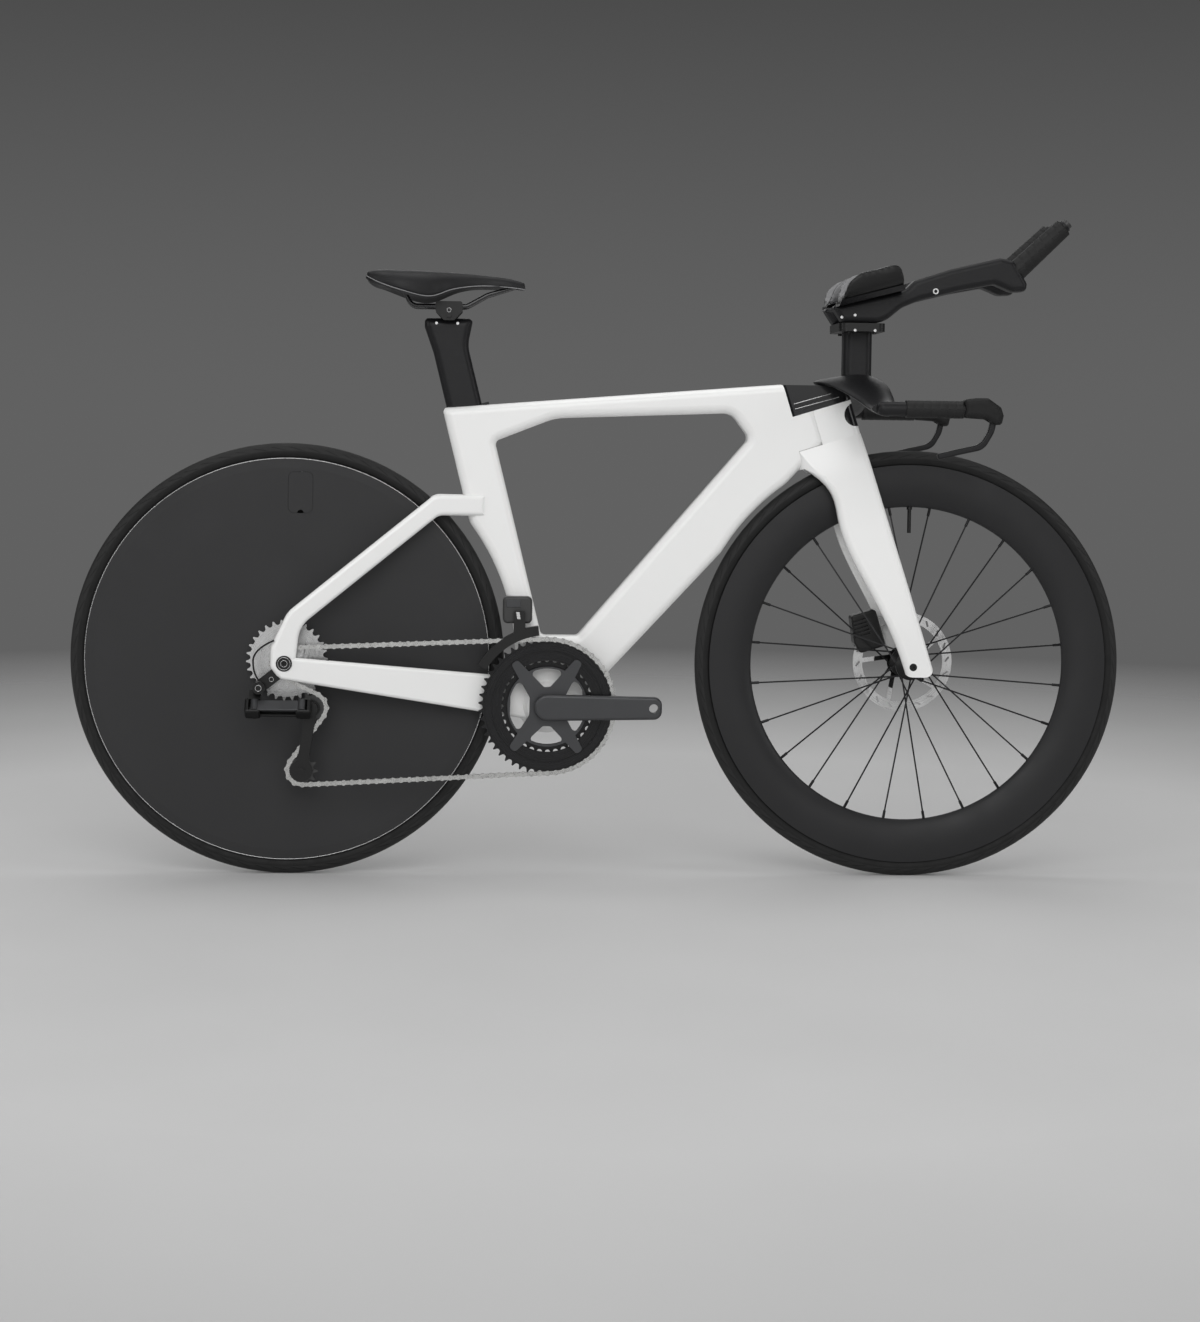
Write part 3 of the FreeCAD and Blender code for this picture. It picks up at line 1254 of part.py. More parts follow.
def rear_hub():
    inner = REAR_HUB_BEARING_RADIUS
    right = -DISC_HALF_WIDTH * DISC_RIGHT_Y_SHARES[0]
    left = DISC_HALF_WIDTH * DISC_LEFT_Y_SHARES[0]
    rotor_y = REAR_ROTOR_Y - ROTOR_THICK / 2
    end = HALF_REAR - HUB_INSET
    profile = [
        (inner, right - CLEARANCE), (FREEHUB_RADIUS, right - CLEARANCE), (DISC_HUB_RADIUS,
            right), (DISC_HUB_RADIUS, right + REAR_FLANGE_WIDTH),
        (REAR_HUB_RADIUS, right + DISC_HUB_RADIUS), (REAR_HUB_RADIUS,
            left - REAR_HUB_RADIUS), (DISC_HUB_RADIUS, left - REAR_FLANGE_WIDTH),
        (DISC_HUB_RADIUS, left), (CARRIER_RADIUS, left + REAR_FLANGE_WIDTH), (CARRIER_RADIUS,
            rotor_y), (HUB_RADIUS, rotor_y),
        (HUB_RADIUS, end), (inner, end),
    ]
    pieces = [turned(profile, REAR)]
    for low in (right, end - HUB_BEARING_WIDTH):
        pieces.append(collar(inner, REAR_AXLE_RADIUS + RUNNING_FIT, REAR, low, low + HUB_BEARING_WIDTH))
    return group(*pieces)


def rear_valve():
    angle = math.degrees(math.atan2(COVER_RISE, COVER_LEAD))
    top = wheel_point(REAR, RIM_RADIUS - DISC_BED - SEAM, angle, 0.0)
    return rod(top, top - heading(angle) * VALVE_LENGTH, VALVE_RADIUS)


# Drive


def pitch_radius(teeth):
    return PITCH / 2 / math.sin(math.pi / teeth)


def sprocket(teeth, centre, y, thick, bore, phase):
    """Toothed wheel with its gaps at the phase angle."""
    reach = pitch_radius(teeth)
    seat = ROLLER_RADIUS + SEAT_GAP
    tip = reach + TOOTH_HEIGHT
    lean = math.degrees(math.asin(TOOTH_TIP / 2 / tip))
    half = 180.0 / teeth
    low = y - thick / 2
    edges = []
    last = None
    first = None
    for i in range(teeth):
        angle = phase + half * 2 * i
        gap = wheel_point(centre, reach, angle, low)
        arc = [gap + heading(angle + 180.0 + sweep) * seat for sweep in (SEAT_SWEEP, 0.0, -SEAT_SWEEP)]
        rise = wheel_point(centre, tip, angle - half + lean, low)
        fall = wheel_point(centre, tip, angle + half - lean, low)
        if last is None:
            first = rise
        else:
            edges.append(Part.makeLine(last, rise))
        edges.append(Part.makeLine(rise, arc[0]))
        edges.append(Part.Arc(arc[0], arc[1], arc[2]).toShape())
        edges.append(Part.makeLine(arc[2], fall))
        last = fall
    edges.append(Part.makeLine(last, first))
    hole = Part.Wire(Part.makeCircle(bore, V(centre.x, low, centre.z), V(0.0, 1.0, 0.0)))
    face = Part.Face(Part.Wire(edges)).cut(Part.Face(hole)).Faces[0]
    return face.extrude(V(0.0, thick, 0.0))


def tangent_angle(first, first_radius, second, second_radius, sense, crossed):
    """Angle of the contact radius on the first wheel, for a chain leaving it in the given turning sense."""
    gap = second - first
    away = math.hypot(gap.x, gap.z)
    reach = first_radius + second_radius if crossed else first_radius - second_radius
    return math.degrees(math.atan2(gap.z, gap.x)) - sense * math.degrees(math.acos(reach / away))


def near_angle(angle, target):
    while angle - target > 180.0:
        angle -= 360.0
    while angle - target < -180.0:
        angle += 360.0
    return angle


def engaged(centre, radius, teeth, start, end, sense):
    """Roller angles on a wheel from a first roller to the last one before the chain leaves."""
    step = 360.0 / teeth
    sweep = (end - start) * sense
    while sweep < 0.0:
        sweep += 360.0
    return [start + sense * step * i for i in range(int(sweep / step + ENGAGE_SLACK_SHARE) + 1)]


def run_points(start, end):
    """Free pins between two seated pins a whole number of pitches apart."""
    count = int(round((end - start).Length / PITCH))
    return [start + (end - start) * (i / count) for i in range(1, count)]


def side_run(points, start_y, end_y):
    """Free pins that pass from one chain line to another, straight near both wheels."""
    rows = []
    for i, point in enumerate(points):
        share = (i + 1 - STRAIGHT_LINKS) / (len(points) + 1 - STRAIGHT_LINKS * 2)
        rows.append((point, start_y + (end_y - start_y) * max(0.0, min(1.0, share))))
    return rows


def chain_layout():
    """Pins of the closed chain and the places of the two pulleys that it settles."""
    ring_r = pitch_radius(RING_TEETH)
    cog_r = pitch_radius(COG_TEETH[0])
    pulley_r = pitch_radius(PULLEY_TEETH)
    cog_top = tangent_angle(REAR, cog_r, BB, ring_r, -1.0, False)
    cog_start = wheel_point(REAR, cog_r, cog_top, 0.0)
    ring_top = tangent_angle(BB, ring_r, REAR, cog_r, 1.0, False)
    ring_tangent = wheel_point(BB, ring_r, ring_top, 0.0)
    links = round((ring_tangent - cog_start).Length / PITCH)

    def ring_gap(angle):
        return (wheel_point(BB, ring_r, angle, 0.0) - cog_start).Length - links * PITCH

    ring_phase = bisect(ring_gap, ring_top - RING_SEARCH_TURN, ring_top + RING_SEARCH_TURN)
    last_ring = wheel_point(BB, ring_r, ring_phase, 0.0)

    def guide_fit(drop):
        guide = vec(REAR.x + GUIDE_LEAD, REAR.z - drop)
        leave = near_angle(tangent_angle(REAR, cog_r, guide, pulley_r, 1.0, True), cog_top + 180.0)
        seats = engaged(REAR, cog_r, COG_TEETH[0], cog_top, leave, 1.0)
        last = wheel_point(REAR, cog_r, seats[-1], 0.0)
        arrive = tangent_angle(guide, pulley_r, REAR, cog_r, 1.0, True)
        return guide, seats, last, arrive, (wheel_point(guide, pulley_r, arrive, 0.0) - last).Length / PITCH

    target = round(guide_fit(GUIDE_DROP_GUESS)[4])
    best = None
    for k in range(-SEARCH_COUNT, SEARCH_COUNT + 1):
        drop = GUIDE_DROP_GUESS + k * SEARCH_STEP
        miss = abs(guide_fit(drop)[4] - target)
        if best is None or miss < best[0] - 1e-9:
            best = (miss, drop)
    drop = bisect(lambda d: guide_fit(d)[4] - target, best[1] - SEARCH_STEP, best[1] + SEARCH_STEP)
    guide, cog_seats, last_cog, arrive, _ = guide_fit(drop)

    def first_guide(angle):
        return (wheel_point(guide, pulley_r, angle, 0.0) - last_cog).Length - target * PITCH

    guide_start = bisect(first_guide, arrive + SEAT_SEARCH_TURN, arrive - SEAT_SEARCH_TURN)

    def tension_fit(length, angle):
        tension = guide + heading(angle) * length
        leave = tangent_angle(guide, pulley_r, tension, pulley_r, -1.0, True)
        seats = engaged(guide, pulley_r, PULLEY_TEETH, guide_start, near_angle(leave, guide_start - 90.0),
            -1.0)
        last = wheel_point(guide, pulley_r, seats[-1], 0.0)
        reach = tangent_angle(tension, pulley_r, guide, pulley_r, -1.0, True)
        return tension, seats, last, reach, (wheel_point(tension, pulley_r, reach,
            0.0) - last).Length / PITCH

    def cage_for(angle):
        whole = round(tension_fit(CAGE_LENGTH_GUESS, angle)[4])
        best = None
        for k in range(-SEARCH_COUNT, SEARCH_COUNT + 1):
            length = CAGE_LENGTH_GUESS + k * SEARCH_STEP
            miss = abs(tension_fit(length, angle)[4] - whole)
            if best is None or miss < best[0] - 1e-9:
                best = (miss, length)
        length = bisect(lambda v: tension_fit(v, angle)[4] - whole, best[1] - SEARCH_STEP,
            best[1] + SEARCH_STEP)
        tension, seats, last, reach, _ = tension_fit(length, angle)

        def first_tension(turn):
            return (wheel_point(tension, pulley_r, turn, 0.0) - last).Length - whole * PITCH

        start = bisect(first_tension, reach - SEAT_SEARCH_TURN, reach + SEAT_SEARCH_TURN)
        leave = near_angle(tangent_angle(tension, pulley_r, BB, ring_r, 1.0, False), start + LEAVE_TURN)
        low_seats = engaged(tension, pulley_r, PULLEY_TEETH, start, leave, 1.0)
        last_low = wheel_point(tension, pulley_r, low_seats[-1], 0.0)
        ring_low = near_angle(tangent_angle(BB, ring_r, tension, pulley_r, -1.0, False), ring_phase - 180.0)
        steps = round((ring_phase - ring_low) / (360.0 / RING_TEETH))
        first_ring = wheel_point(BB, ring_r, ring_phase - steps * 360.0 / RING_TEETH, 0.0)
        return tension, length, seats, last, low_seats, last_low, steps, first_ring

    best = None
    for k in range(-TURN_COUNT, TURN_COUNT + 1):
        angle = CAGE_ANGLE_GUESS + k * TURN_STEP
        found = cage_for(angle)
        count = (found[7] - found[5]).Length / PITCH
        total = found[6] + links + len(cog_seats) - 1 + target + len(found[2]) - 1
        total += round((wheel_point(found[0], pulley_r, found[4][0],
            0.0) - found[3]).Length / PITCH) + len(found[4]) - 1
        whole = round(count)
        if (total + whole) % 2:
            whole = whole + 1 if count > whole else whole - 1
        score = abs(count - whole) + abs(k) * TURN_WEIGHT
        if best is None or score < best[0]:
            best = (score, angle, whole, total + whole)
    angle = best[1]
    whole = best[2]
    for _ in range(SOLVE_COUNT):
        found = cage_for(angle)
        slip = (found[7] - found[5]).Length / PITCH - whole
        ahead = cage_for(angle + NUDGE)
        slope = ((ahead[7] - ahead[5]).Length / PITCH - whole - slip) / NUDGE
        angle -= max(-NUDGE_LIMIT, min(NUDGE_LIMIT, slip / slope))
    tension, length, seats, last, low_seats, last_low, steps, first_ring = cage_for(angle)
    flat = [(wheel_point(BB, ring_r, ring_phase - (steps - i) * 360.0 / RING_TEETH, 0.0),
        RING_Y) for i in range(steps + 1)]
    flat += side_run(run_points(last_ring, cog_start), RING_Y, COG_Y)
    flat += [(wheel_point(REAR, cog_r, a, 0.0), COG_Y) for a in cog_seats]
    flat += [(p, COG_Y) for p in run_points(last_cog, wheel_point(guide, pulley_r, guide_start, 0.0))]
    flat += [(wheel_point(guide, pulley_r, a, 0.0), COG_Y) for a in seats]
    flat += [(p, COG_Y) for p in run_points(last, wheel_point(tension, pulley_r, low_seats[0], 0.0))]
    flat += [(wheel_point(tension, pulley_r, a, 0.0), COG_Y) for a in low_seats]
    flat += side_run(run_points(last_low, first_ring), COG_Y, RING_Y)
    pins = [V(p.x, y, p.z) for p, y in flat]
    return pins, ring_phase, cog_top, guide, guide_start, tension, low_seats[0]


PINS, RING_PHASE, COG_PHASE, GUIDE, GUIDE_PHASE, TENSION, TENSION_PHASE = chain_layout()


def link_plate(length, low, high):
    """Waisted link plate along x between two pins."""
    half = LINK_HEIGHT / 2
    ends = barrel(half, V(0.0, 0.0, 0.0), low, high).fuse(barrel(half, V(length, 0.0, 0.0), low, high))
    waist = half * LINK_WAIST_SHARE
    bar = [V(0.0, 0.0, waist), V(length, 0.0, waist), V(length, 0.0, -waist), V(0.0, 0.0, -waist)]
    return ends.fuse(prism(bar, [0.0] * 4, low, high)).removeSplitter()


def chain_link(outer):
    inside = LINK_INNER_HALF
    if outer:
        inside = LINK_INNER_HALF + LINK_PLATE + LINK_OUTER_GAP
    plate = link_plate(PITCH, inside, inside + LINK_PLATE)
    solid = None
    for x in (0.0, PITCH):
        at = V(x, 0.0, 0.0)
        if outer:
            reach = inside + LINK_PLATE + LINK_PIN_PROUD
            core = barrel(LINK_PIN_RADIUS, at, -reach, reach)
        else:
            core = barrel(ROLLER_RADIUS, at, -inside - LINK_PLATE / 2, inside + LINK_PLATE / 2)
        solid = core if solid is None else solid.fuse(core)
    solid = solid.fuse(plate).fuse(mirrored(plate))
    if not outer:
        for x in (0.0, PITCH):
            solid = solid.cut(barrel(LINK_BORE_RADIUS, V(x, 0.0, 0.0), -TOOL, TOOL))
    return max(solid.Solids, key=lambda s: s.Volume)


def chain():
    kinds = [chain_link(False), chain_link(True)]
    pieces = []
    count = len(PINS)
    for i, start in enumerate(PINS):
        end = PINS[(i + 1) % count]
        along = (end - start).normalize()
        side = V(0.0, 1.0, 0.0)
        side = (side - along * side.dot(along)).normalize()
        up = along.cross(side)
        matrix = FreeCAD.Matrix(along.x, side.x, up.x, start.x, along.y, side.y, up.y, start.y, along.z,
            side.z, up.z, start.z,
                                0.0, 0.0, 0.0, 1.0)
        link = kinds[i % 2].copy()
        link.Placement = FreeCAD.Placement(matrix)
        pieces.append(link)
    return Part.makeCompound(pieces)


def ring_tabs(inner, low, high):
    tabs = None
    for angle in SPIDER_ANGLES:
        bar = ribbon([wheel_point(BB, BOLT_CIRCLE, angle, 0.0), wheel_point(BB, inner + RING_THICK, angle,
            0.0)], [RING_TAB_WIDTH])
        tab = prism(bar, [0.0] * 4, low, high).fuse(barrel(RING_TAB_WIDTH / 2, wheel_point(BB,
            BOLT_CIRCLE, angle, 0.0), low, high))
        tabs = tab if tabs is None else tabs.fuse(tab)
    return tabs


BOLT_END_Y = RING_Y - RING_THICK / 2 - SPIDER_THICK * BOLT_SINK_SHARE


def bolt_holes():
    return Part.makeCompound([barrel(BOLT_RADIUS, wheel_point(BB, BOLT_CIRCLE, a, 0.0), BOLT_END_Y,
        0.0) for a in SPIDER_ANGLES])


def big_chainring():
    half = RING_THICK / 2
    ring = sprocket(RING_TEETH, BB, RING_Y, RING_THICK, RING_INNER, RING_PHASE)
    ring = ring.fuse(collar(RING_BAND_OUTER, RING_BAND_INNER, BB, RING_Y - RING_BAND, RING_Y - half))
    ring = ring.fuse(ring_tabs(RING_INNER, RING_Y - half, RING_Y + half))
    return ring.cut(bolt_holes()).Solids[0]


def small_chainring():
    half = RING_THICK / 2
    ring = sprocket(SMALL_RING_TEETH, BB, SMALL_RING_Y, RING_THICK, SMALL_RING_INNER, RING_PHASE)
    ring = ring.fuse(ring_tabs(SMALL_RING_INNER, SMALL_RING_Y - half, SMALL_RING_Y + half))
    return ring.cut(bolt_holes()).Solids[0]


def chainring_bolts():
    half = RING_THICK / 2
    pieces = []
    for angle in SPIDER_ANGLES:
        at = wheel_point(BB, BOLT_CIRCLE, angle, 0.0)
        shank = barrel(BOLT_RADIUS, at, BOLT_END_Y, SMALL_RING_Y + half)
        sleeve = barrel(BOLT_HEAD_RADIUS, at, RING_Y + half, SMALL_RING_Y - half)
        pieces.append(shank.fuse(sleeve).fuse(barrel(BOLT_HEAD_RADIUS, at, SMALL_RING_Y + half,
            SMALL_RING_Y + half + BOLT_HEAD_DEPTH)))
    return group(*pieces)


def crank_arm(angle, low_y, high_y):
    """Crank arm with rounded ends, drawn forward and then turned to its angle."""
    root = CRANK_ROOT_WIDTH / 2
    tip = CRANK_TIP_WIDTH / 2
    far = CRANK_LENGTH + tip * CRANK_TIP_SHARE
    points = [
        BB + V(-root, 0.0, root), BB + V(far, 0.0, tip), BB + V(far, 0.0, -tip), BB + V(-root, 0.0, -root),
    ]
    corners = [root * CRANK_ROOT_CORNER_SHARE, tip * CRANK_TIP_CORNER_SHARE]
    arm = soft_prism(points, corners + list(reversed(corners)), low_y, high_y, CRANK_EDGE)
    arm = arm.cut(barrel(PEDAL_HOLE_RADIUS, BB + V(CRANK_LENGTH, 0.0, 0.0), -TOOL, TOOL))
    return turned_about(arm, BB, angle)


def spider_windows(low_y, high_y):
    """Rounded openings between the spider arms."""
    windows = []
    ends = list(SPIDER_ANGLES[1:]) + [SPIDER_ANGLES[0] + 360.0]
    for start, end in zip(SPIDER_ANGLES, ends):
        middle = (start + end) / 2
        points = []
        for radius in (WINDOW_INNER, SPIDER_REACH):
            half = (SPIDER_ROOT + (SPIDER_TIP - SPIDER_ROOT) * radius / SPIDER_REACH) / 2
            turn = (end - start) / 2 - math.degrees(math.asin(half / radius))
            pair = [wheel_point(BB, radius, middle - turn, 0.0), wheel_point(BB, radius, middle + turn, 0.0)]
            points.extend(pair if radius == WINDOW_INNER else reversed(pair))
        window = prism(points, [0.0] * 4, low_y, high_y).common(barrel(WINDOW_OUTER, BB, low_y, high_y))
        rims = [e for e in window.Edges if e.BoundBox.YLength > (high_y - low_y) / 2]
        windows.append(window.makeFillet(WINDOW_CORNER, rims))
    return Part.makeCompound(windows)


def cranks():
    outer = CRANK_OUTER_Y
    inner = outer - CRANK_THICK
    face = RING_Y - RING_THICK / 2
    right = crank_arm(0.0, -outer, -inner)
    spider = barrel(CRANK_ROOT_WIDTH / 2, BB, -inner, face + CUP_LIP)
    spider = spider.fuse(barrel(SPIDER_DISH, BB, face - SPIDER_THICK, face))
    for angle in SPIDER_ANGLES:
        root = wheel_point(BB, 0.0, angle, 0.0)
        tip = wheel_point(BB, SPIDER_REACH, angle, 0.0)
        side = heading(angle + 90.0)
        points = [root + side * (SPIDER_ROOT / 2), tip + side * (SPIDER_TIP / 2),
            tip - side * (SPIDER_TIP / 2), root - side * (SPIDER_ROOT / 2)]
        spider = spider.fuse(prism(points, [0.0, SPIDER_CORNER, SPIDER_CORNER, 0.0], face - SPIDER_THICK,
            face))
    spider = spider.cut(collar(RING_BAND_OUTER, RING_BAND_INNER - SEAM, BB, RING_Y - RING_BAND - TOOL,
        face))
    spider = spider.cut(spider_windows(face - SPIDER_THICK, face))
    right = right.fuse(spider)
    right = right.cut(bolt_holes())
    left = crank_arm(180.0, inner, outer).fuse(barrel(CRANK_ROOT_WIDTH / 2, BB,
        HALF_SHELL + CUP_LIP + CRANK_GAP, inner))
    shaft = barrel(SPINDLE_RADIUS, BB, -outer + CRANK_EDGE, outer - CRANK_EDGE)
    shaft = shaft.cut(barrel(SPINDLE_RADIUS - SPINDLE_WALL, BB, -TOOL, TOOL))
    hole = barrel(SPINDLE_RADIUS, BB, -TOOL, TOOL)
    caps = []
    for side in (-1.0, 1.0):
        low = min(side * outer, side * (outer - CRANK_EDGE))
        caps.append(barrel(SPINDLE_RADIUS, BB, low, low + CRANK_EDGE))
    return group(right.cut(hole).Solids[0], left.cut(hole).Solids[0], shaft, *caps)


def cassette_cogs():
    pieces = []
    for i, teeth in enumerate(COG_TEETH):
        y = COG_Y + COG_STEP * i
        cog = sprocket(teeth, REAR, y, SPROCKET_THICK, FREEHUB_RADIUS, COG_PHASE)
        if teeth >= COG_HOLE_LEAST:
            reach = (pitch_radius(teeth) - ROLLER_RADIUS + FREEHUB_RADIUS) / 2
            room = (pitch_radius(teeth) - ROLLER_RADIUS - FREEHUB_RADIUS) * COG_HOLE_SHARE
            holes = [barrel(room, wheel_point(REAR, reach, 360.0 / COG_HOLE_COUNT * k, 0.0),
                y - SPROCKET_THICK, y + SPROCKET_THICK)
                     for k in range(COG_HOLE_COUNT)]
            cog = cog.cut(Part.makeCompound(holes))
        pieces.append(cog)
    return group(*pieces)


def freehub_body():
    low = COG_Y - SPROCKET_THICK / 2
    high = -DISC_HALF_WIDTH * DISC_RIGHT_Y_SHARES[0] - CLEARANCE - FREEHUB_GAP
    body = collar(FREEHUB_RADIUS, REAR_HUB_BEARING_RADIUS, REAR, low, high)
    ring = collar(FREEHUB_RADIUS, END_CAP_RADIUS + FREEHUB_GAP, REAR, low - BOLT_HEAD_DEPTH, low)
    pieces = [body, ring]
    for start in (low, high - HUB_BEARING_WIDTH):
        pieces.append(collar(REAR_HUB_BEARING_RADIUS, REAR_AXLE_RADIUS + RUNNING_FIT, REAR, start,
            start + HUB_BEARING_WIDTH))
    return group(*pieces)


# Rear derailleur
SLANT_UP = V(0.0, math.sin(math.radians(LINK_SLANT)), math.cos(math.radians(LINK_SLANT)))
SLANT_OUT = V(0.0, math.cos(math.radians(LINK_SLANT)), -math.sin(math.radians(LINK_SLANT)))
SLANT_FOOT = V(REAR.x - LINK_REAR_SETBACK, -LINK_Y, REAR.z - LINK_DROP)
SLANT = FreeCAD.Placement(FreeCAD.Matrix(1.0, SLANT_OUT.x, SLANT_UP.x, SLANT_FOOT.x, 0.0, SLANT_OUT.y,
    SLANT_UP.y, SLANT_FOOT.y,
                                         0.0, SLANT_OUT.z, SLANT_UP.z, SLANT_FOOT.z, 0.0, 0.0, 0.0, 1.0))
B_AXLE = vec(REAR.x - B_AXLE_SETBACK, REAR.z - B_AXLE_DROP)


def swing_link(offset):
    """One side of the slanted parallelogram, drawn along x and laid in place."""
    tall = LINK_HALF_TALL
    wide = LINK_THICK / 2
    box = Part.makeBox(LINK_REACH, LINK_THICK, tall + tall, V(0.0, offset - wide, -tall))
    solid = box.makeFillet(LINK_EDGE, [e for e in box.Edges if e.BoundBox.XLength > LINK_REACH / 2])
    for x in (0.0, LINK_REACH):
        at = V(x, offset, -tall)
        solid = solid.fuse(Part.makeCylinder(LINK_END_RADIUS, tall + tall, at))
    for x in (0.0, LINK_REACH):
        at = V(x, offset, -tall)
        solid = solid.cut(Part.makeCylinder(LINK_PIVOT_RADIUS + RUNNING_FIT, tall + tall, at))
    return placed(solid.removeSplitter(), SLANT)


def lug_frame(x, facing):
    """Lugs above and below the link ends with their two pins and the web that joins them."""
    low = LINK_HALF_TALL + LUG_GAP
    near = x - facing * LUG_REACH
    far = x + facing * LUG_REACH
    solid = None
    for sign in (-1.0, 1.0):
        base = low if sign > 0.0 else -low - LUG_THICK
        slab = Part.makeBox(abs(far - near), LUG_HALF_WIDTH * 2, LUG_THICK, V(min(near, far),
            -LUG_HALF_WIDTH, base))
        solid = slab if solid is None else solid.fuse(slab)
    tall = low + LUG_THICK
    web = Part.makeBox(LUG_WEB, LUG_HALF_WIDTH * 2, tall + tall, V(min(far, far + facing * LUG_WEB),
        -LUG_HALF_WIDTH, -tall))
    block = Part.makeBox(abs(far - near) + LUG_WEB, LUG_HALF_WIDTH * 2, tall + tall,
        V(min(near, far + facing * LUG_WEB), -LUG_HALF_WIDTH, -tall))
    solid = solid.fuse(web).common(block.makeFillet(LUG_EDGE, block.Edges))
    for offset in (-LINK_SPREAD, LINK_SPREAD):
        solid = solid.fuse(Part.makeCylinder(LINK_PIVOT_RADIUS, tall + tall, V(x, offset, -tall)))
    return placed(solid, SLANT)


def derailleur_mount(stays):
    face = -HALF_REAR
    hanger_path = [REAR + V(0.0, 0.0, -CHAINSTAY_TAIL_RISE), B_AXLE]
    plate = prism(ribbon(hanger_path, [HANGER_WIDTH]), [0.0] * 4, face - HANGER_THICK, face)
    plate = plate.fuse(barrel(HANGER_WIDTH / 2, B_AXLE, face - HANGER_THICK, face))
    plate = plate.cut(stays).cut(barrel(END_CAP_RADIUS + CLEARANCE, REAR, -TOOL, 0.0))
    hanger = max(plate.Solids, key=lambda s: (s.BoundBox.Center - REAR).Length)
    outer = face - HANGER_THICK
    knuckle = lug_frame(0.0, -1.0)
    knuckle = knuckle.fuse(barrel(B_BOSS_RADIUS, B_AXLE, outer - B_BOSS_LENGTH, outer))
    low = LINK_HALF_TALL + LUG_GAP
    neck = Part.makeBox(LUG_REACH + LUG_REACH, LUG_HALF_WIDTH, B_BOSS_LENGTH,
        V(-LUG_REACH, -LUG_HALF_WIDTH, low))
    knuckle = knuckle.fuse(placed(neck, SLANT)).cut(hanger)
    knuckle = knuckle.cut(barrel(CASSETTE_ROOM, REAR, outer, 0.0))
    bolt = barrel(B_BOLT_RADIUS, B_AXLE, outer - B_BOSS_LENGTH - B_BOLT_PROUD, outer - B_BOSS_LENGTH)
    return group(hanger, max(knuckle.Solids, key=lambda s: s.Volume), bolt)


def lower_knuckle():
    solid = lug_frame(LINK_REACH, 1.0)
    face = COG_Y - CAGE_HALF_GAP - CAGE_PLATE - SEAM
    boss = barrel(P_BOSS_RADIUS, GUIDE, face - P_BOSS_LENGTH, face)
    lug = SLANT_FOOT + V(LINK_REACH + LUG_REACH + LUG_WEB / 2, 0.0, 0.0)
    neck = prism(ribbon([lug, GUIDE], [LUG_HALF_WIDTH]), [0.0] * 4, face - P_BOSS_LENGTH, face)
    room = Part.makeBox(LINK_REACH + LUG_REACH, TOOL + TOOL, LINK_HALF_TALL * 2 + LUG_GAP * 2,
                        V(0.0, -TOOL, -LINK_HALF_TALL - LUG_GAP))
    neck = neck.cut(placed(room, SLANT))
    boss = boss.cut(placed(room, SLANT))
    return max(solid.fuse(boss).fuse(neck).Solids, key=lambda s: s.Volume)


def rear_cage():
    plates = []
    for inner, outer in ((COG_Y + CAGE_HALF_GAP, COG_Y + CAGE_HALF_GAP + CAGE_PLATE),
        (COG_Y - CAGE_HALF_GAP - CAGE_PLATE, COG_Y - CAGE_HALF_GAP)):
        plate = prism(ribbon([GUIDE, TENSION], [CAGE_WAIST]), [0.0] * 4, inner, outer)
        plate = plate.fuse(barrel(CAGE_TOP_RADIUS, GUIDE, inner, outer)).fuse(barrel(CAGE_LOW_RADIUS,
            TENSION, inner, outer))
        plates.append(plate.removeSplitter())
    low = COG_Y - CAGE_HALF_GAP - CAGE_PLATE
    high = COG_Y + CAGE_HALF_GAP + CAGE_PLATE
    bolts = []
    for at in (GUIDE, TENSION):
        bolt = barrel(CAGE_BOLT_RADIUS, at, low, high)
        bolt = bolt.fuse(barrel(CAGE_BOLT_HEAD, at, high, high + CAGE_BOLT_PROUD))
        if at is TENSION:
            bolt = bolt.fuse(barrel(CAGE_BOLT_HEAD, at, low - CAGE_BOLT_PROUD, low))
        bolts.append(bolt)
    solid = plates[0].fuse(plates[1])
    for bolt in bolts:
        solid = solid.fuse(bolt)
    return solid.Solids[0]


def pulley(at, phase):
    return sprocket(PULLEY_TEETH, at, COG_Y, PULLEY_THICK, CAGE_BOLT_RADIUS + RUNNING_FIT, phase)


def derailleur_wire():
    outer = -HALF_REAR - HANGER_THICK
    y = outer - B_BOSS_LENGTH / 2
    start = vec(REAR.x - STAY_FOOT_LEAD, REAR.z + WIRE_RISE, y)
    loop = vec(REAR.x - B_AXLE_SETBACK - WIRE_BEND, REAR.z + WIRE_LOOP_RISE, y)
    low = vec(REAR.x - B_AXLE_SETBACK - WIRE_BEND, REAR.z - STAY_FOOT_LEAD, y)
    end = vec(B_AXLE.x, B_AXLE.z + B_BOSS_RADIUS + WIRE_RADIUS, y)
    return pipe([start, loop, low, end], WIRE_RADIUS, WIRE_BEND)


# Front derailleur


def front_derailleur_body(frame):
    x = BB.x - FD_SETBACK
    z = BB.z + FD_RISE
    points = [vec(x - FD_LENGTH / 2, z + FD_HEIGHT / 2), vec(x + FD_LENGTH / 2, z + FD_HEIGHT / 2),
        vec(x + FD_LENGTH / 2, z - FD_HEIGHT / 2),
              vec(x - FD_LENGTH / 2, z - FD_HEIGHT / 2)]
    body = soft_prism(points, [FD_CORNER] * 4, -FD_OUTER_Y, -FD_INNER_Y, FD_EDGE)
    body = body.cut(frame)
    slot = barrel(FD_PIN_RADIUS + RUNNING_FIT, front_derailleur_pin(), -FD_OUTER_Y,
        -FD_OUTER_Y + FD_PIN_DEPTH + FD_TRAVEL + CLEARANCE)
    return max(body.cut(slot).Solids, key=lambda s: s.Volume)


def front_derailleur_pin():
    return vec(BB.x - FD_SETBACK, BB.z + FD_RISE - FD_PIN_DROP)


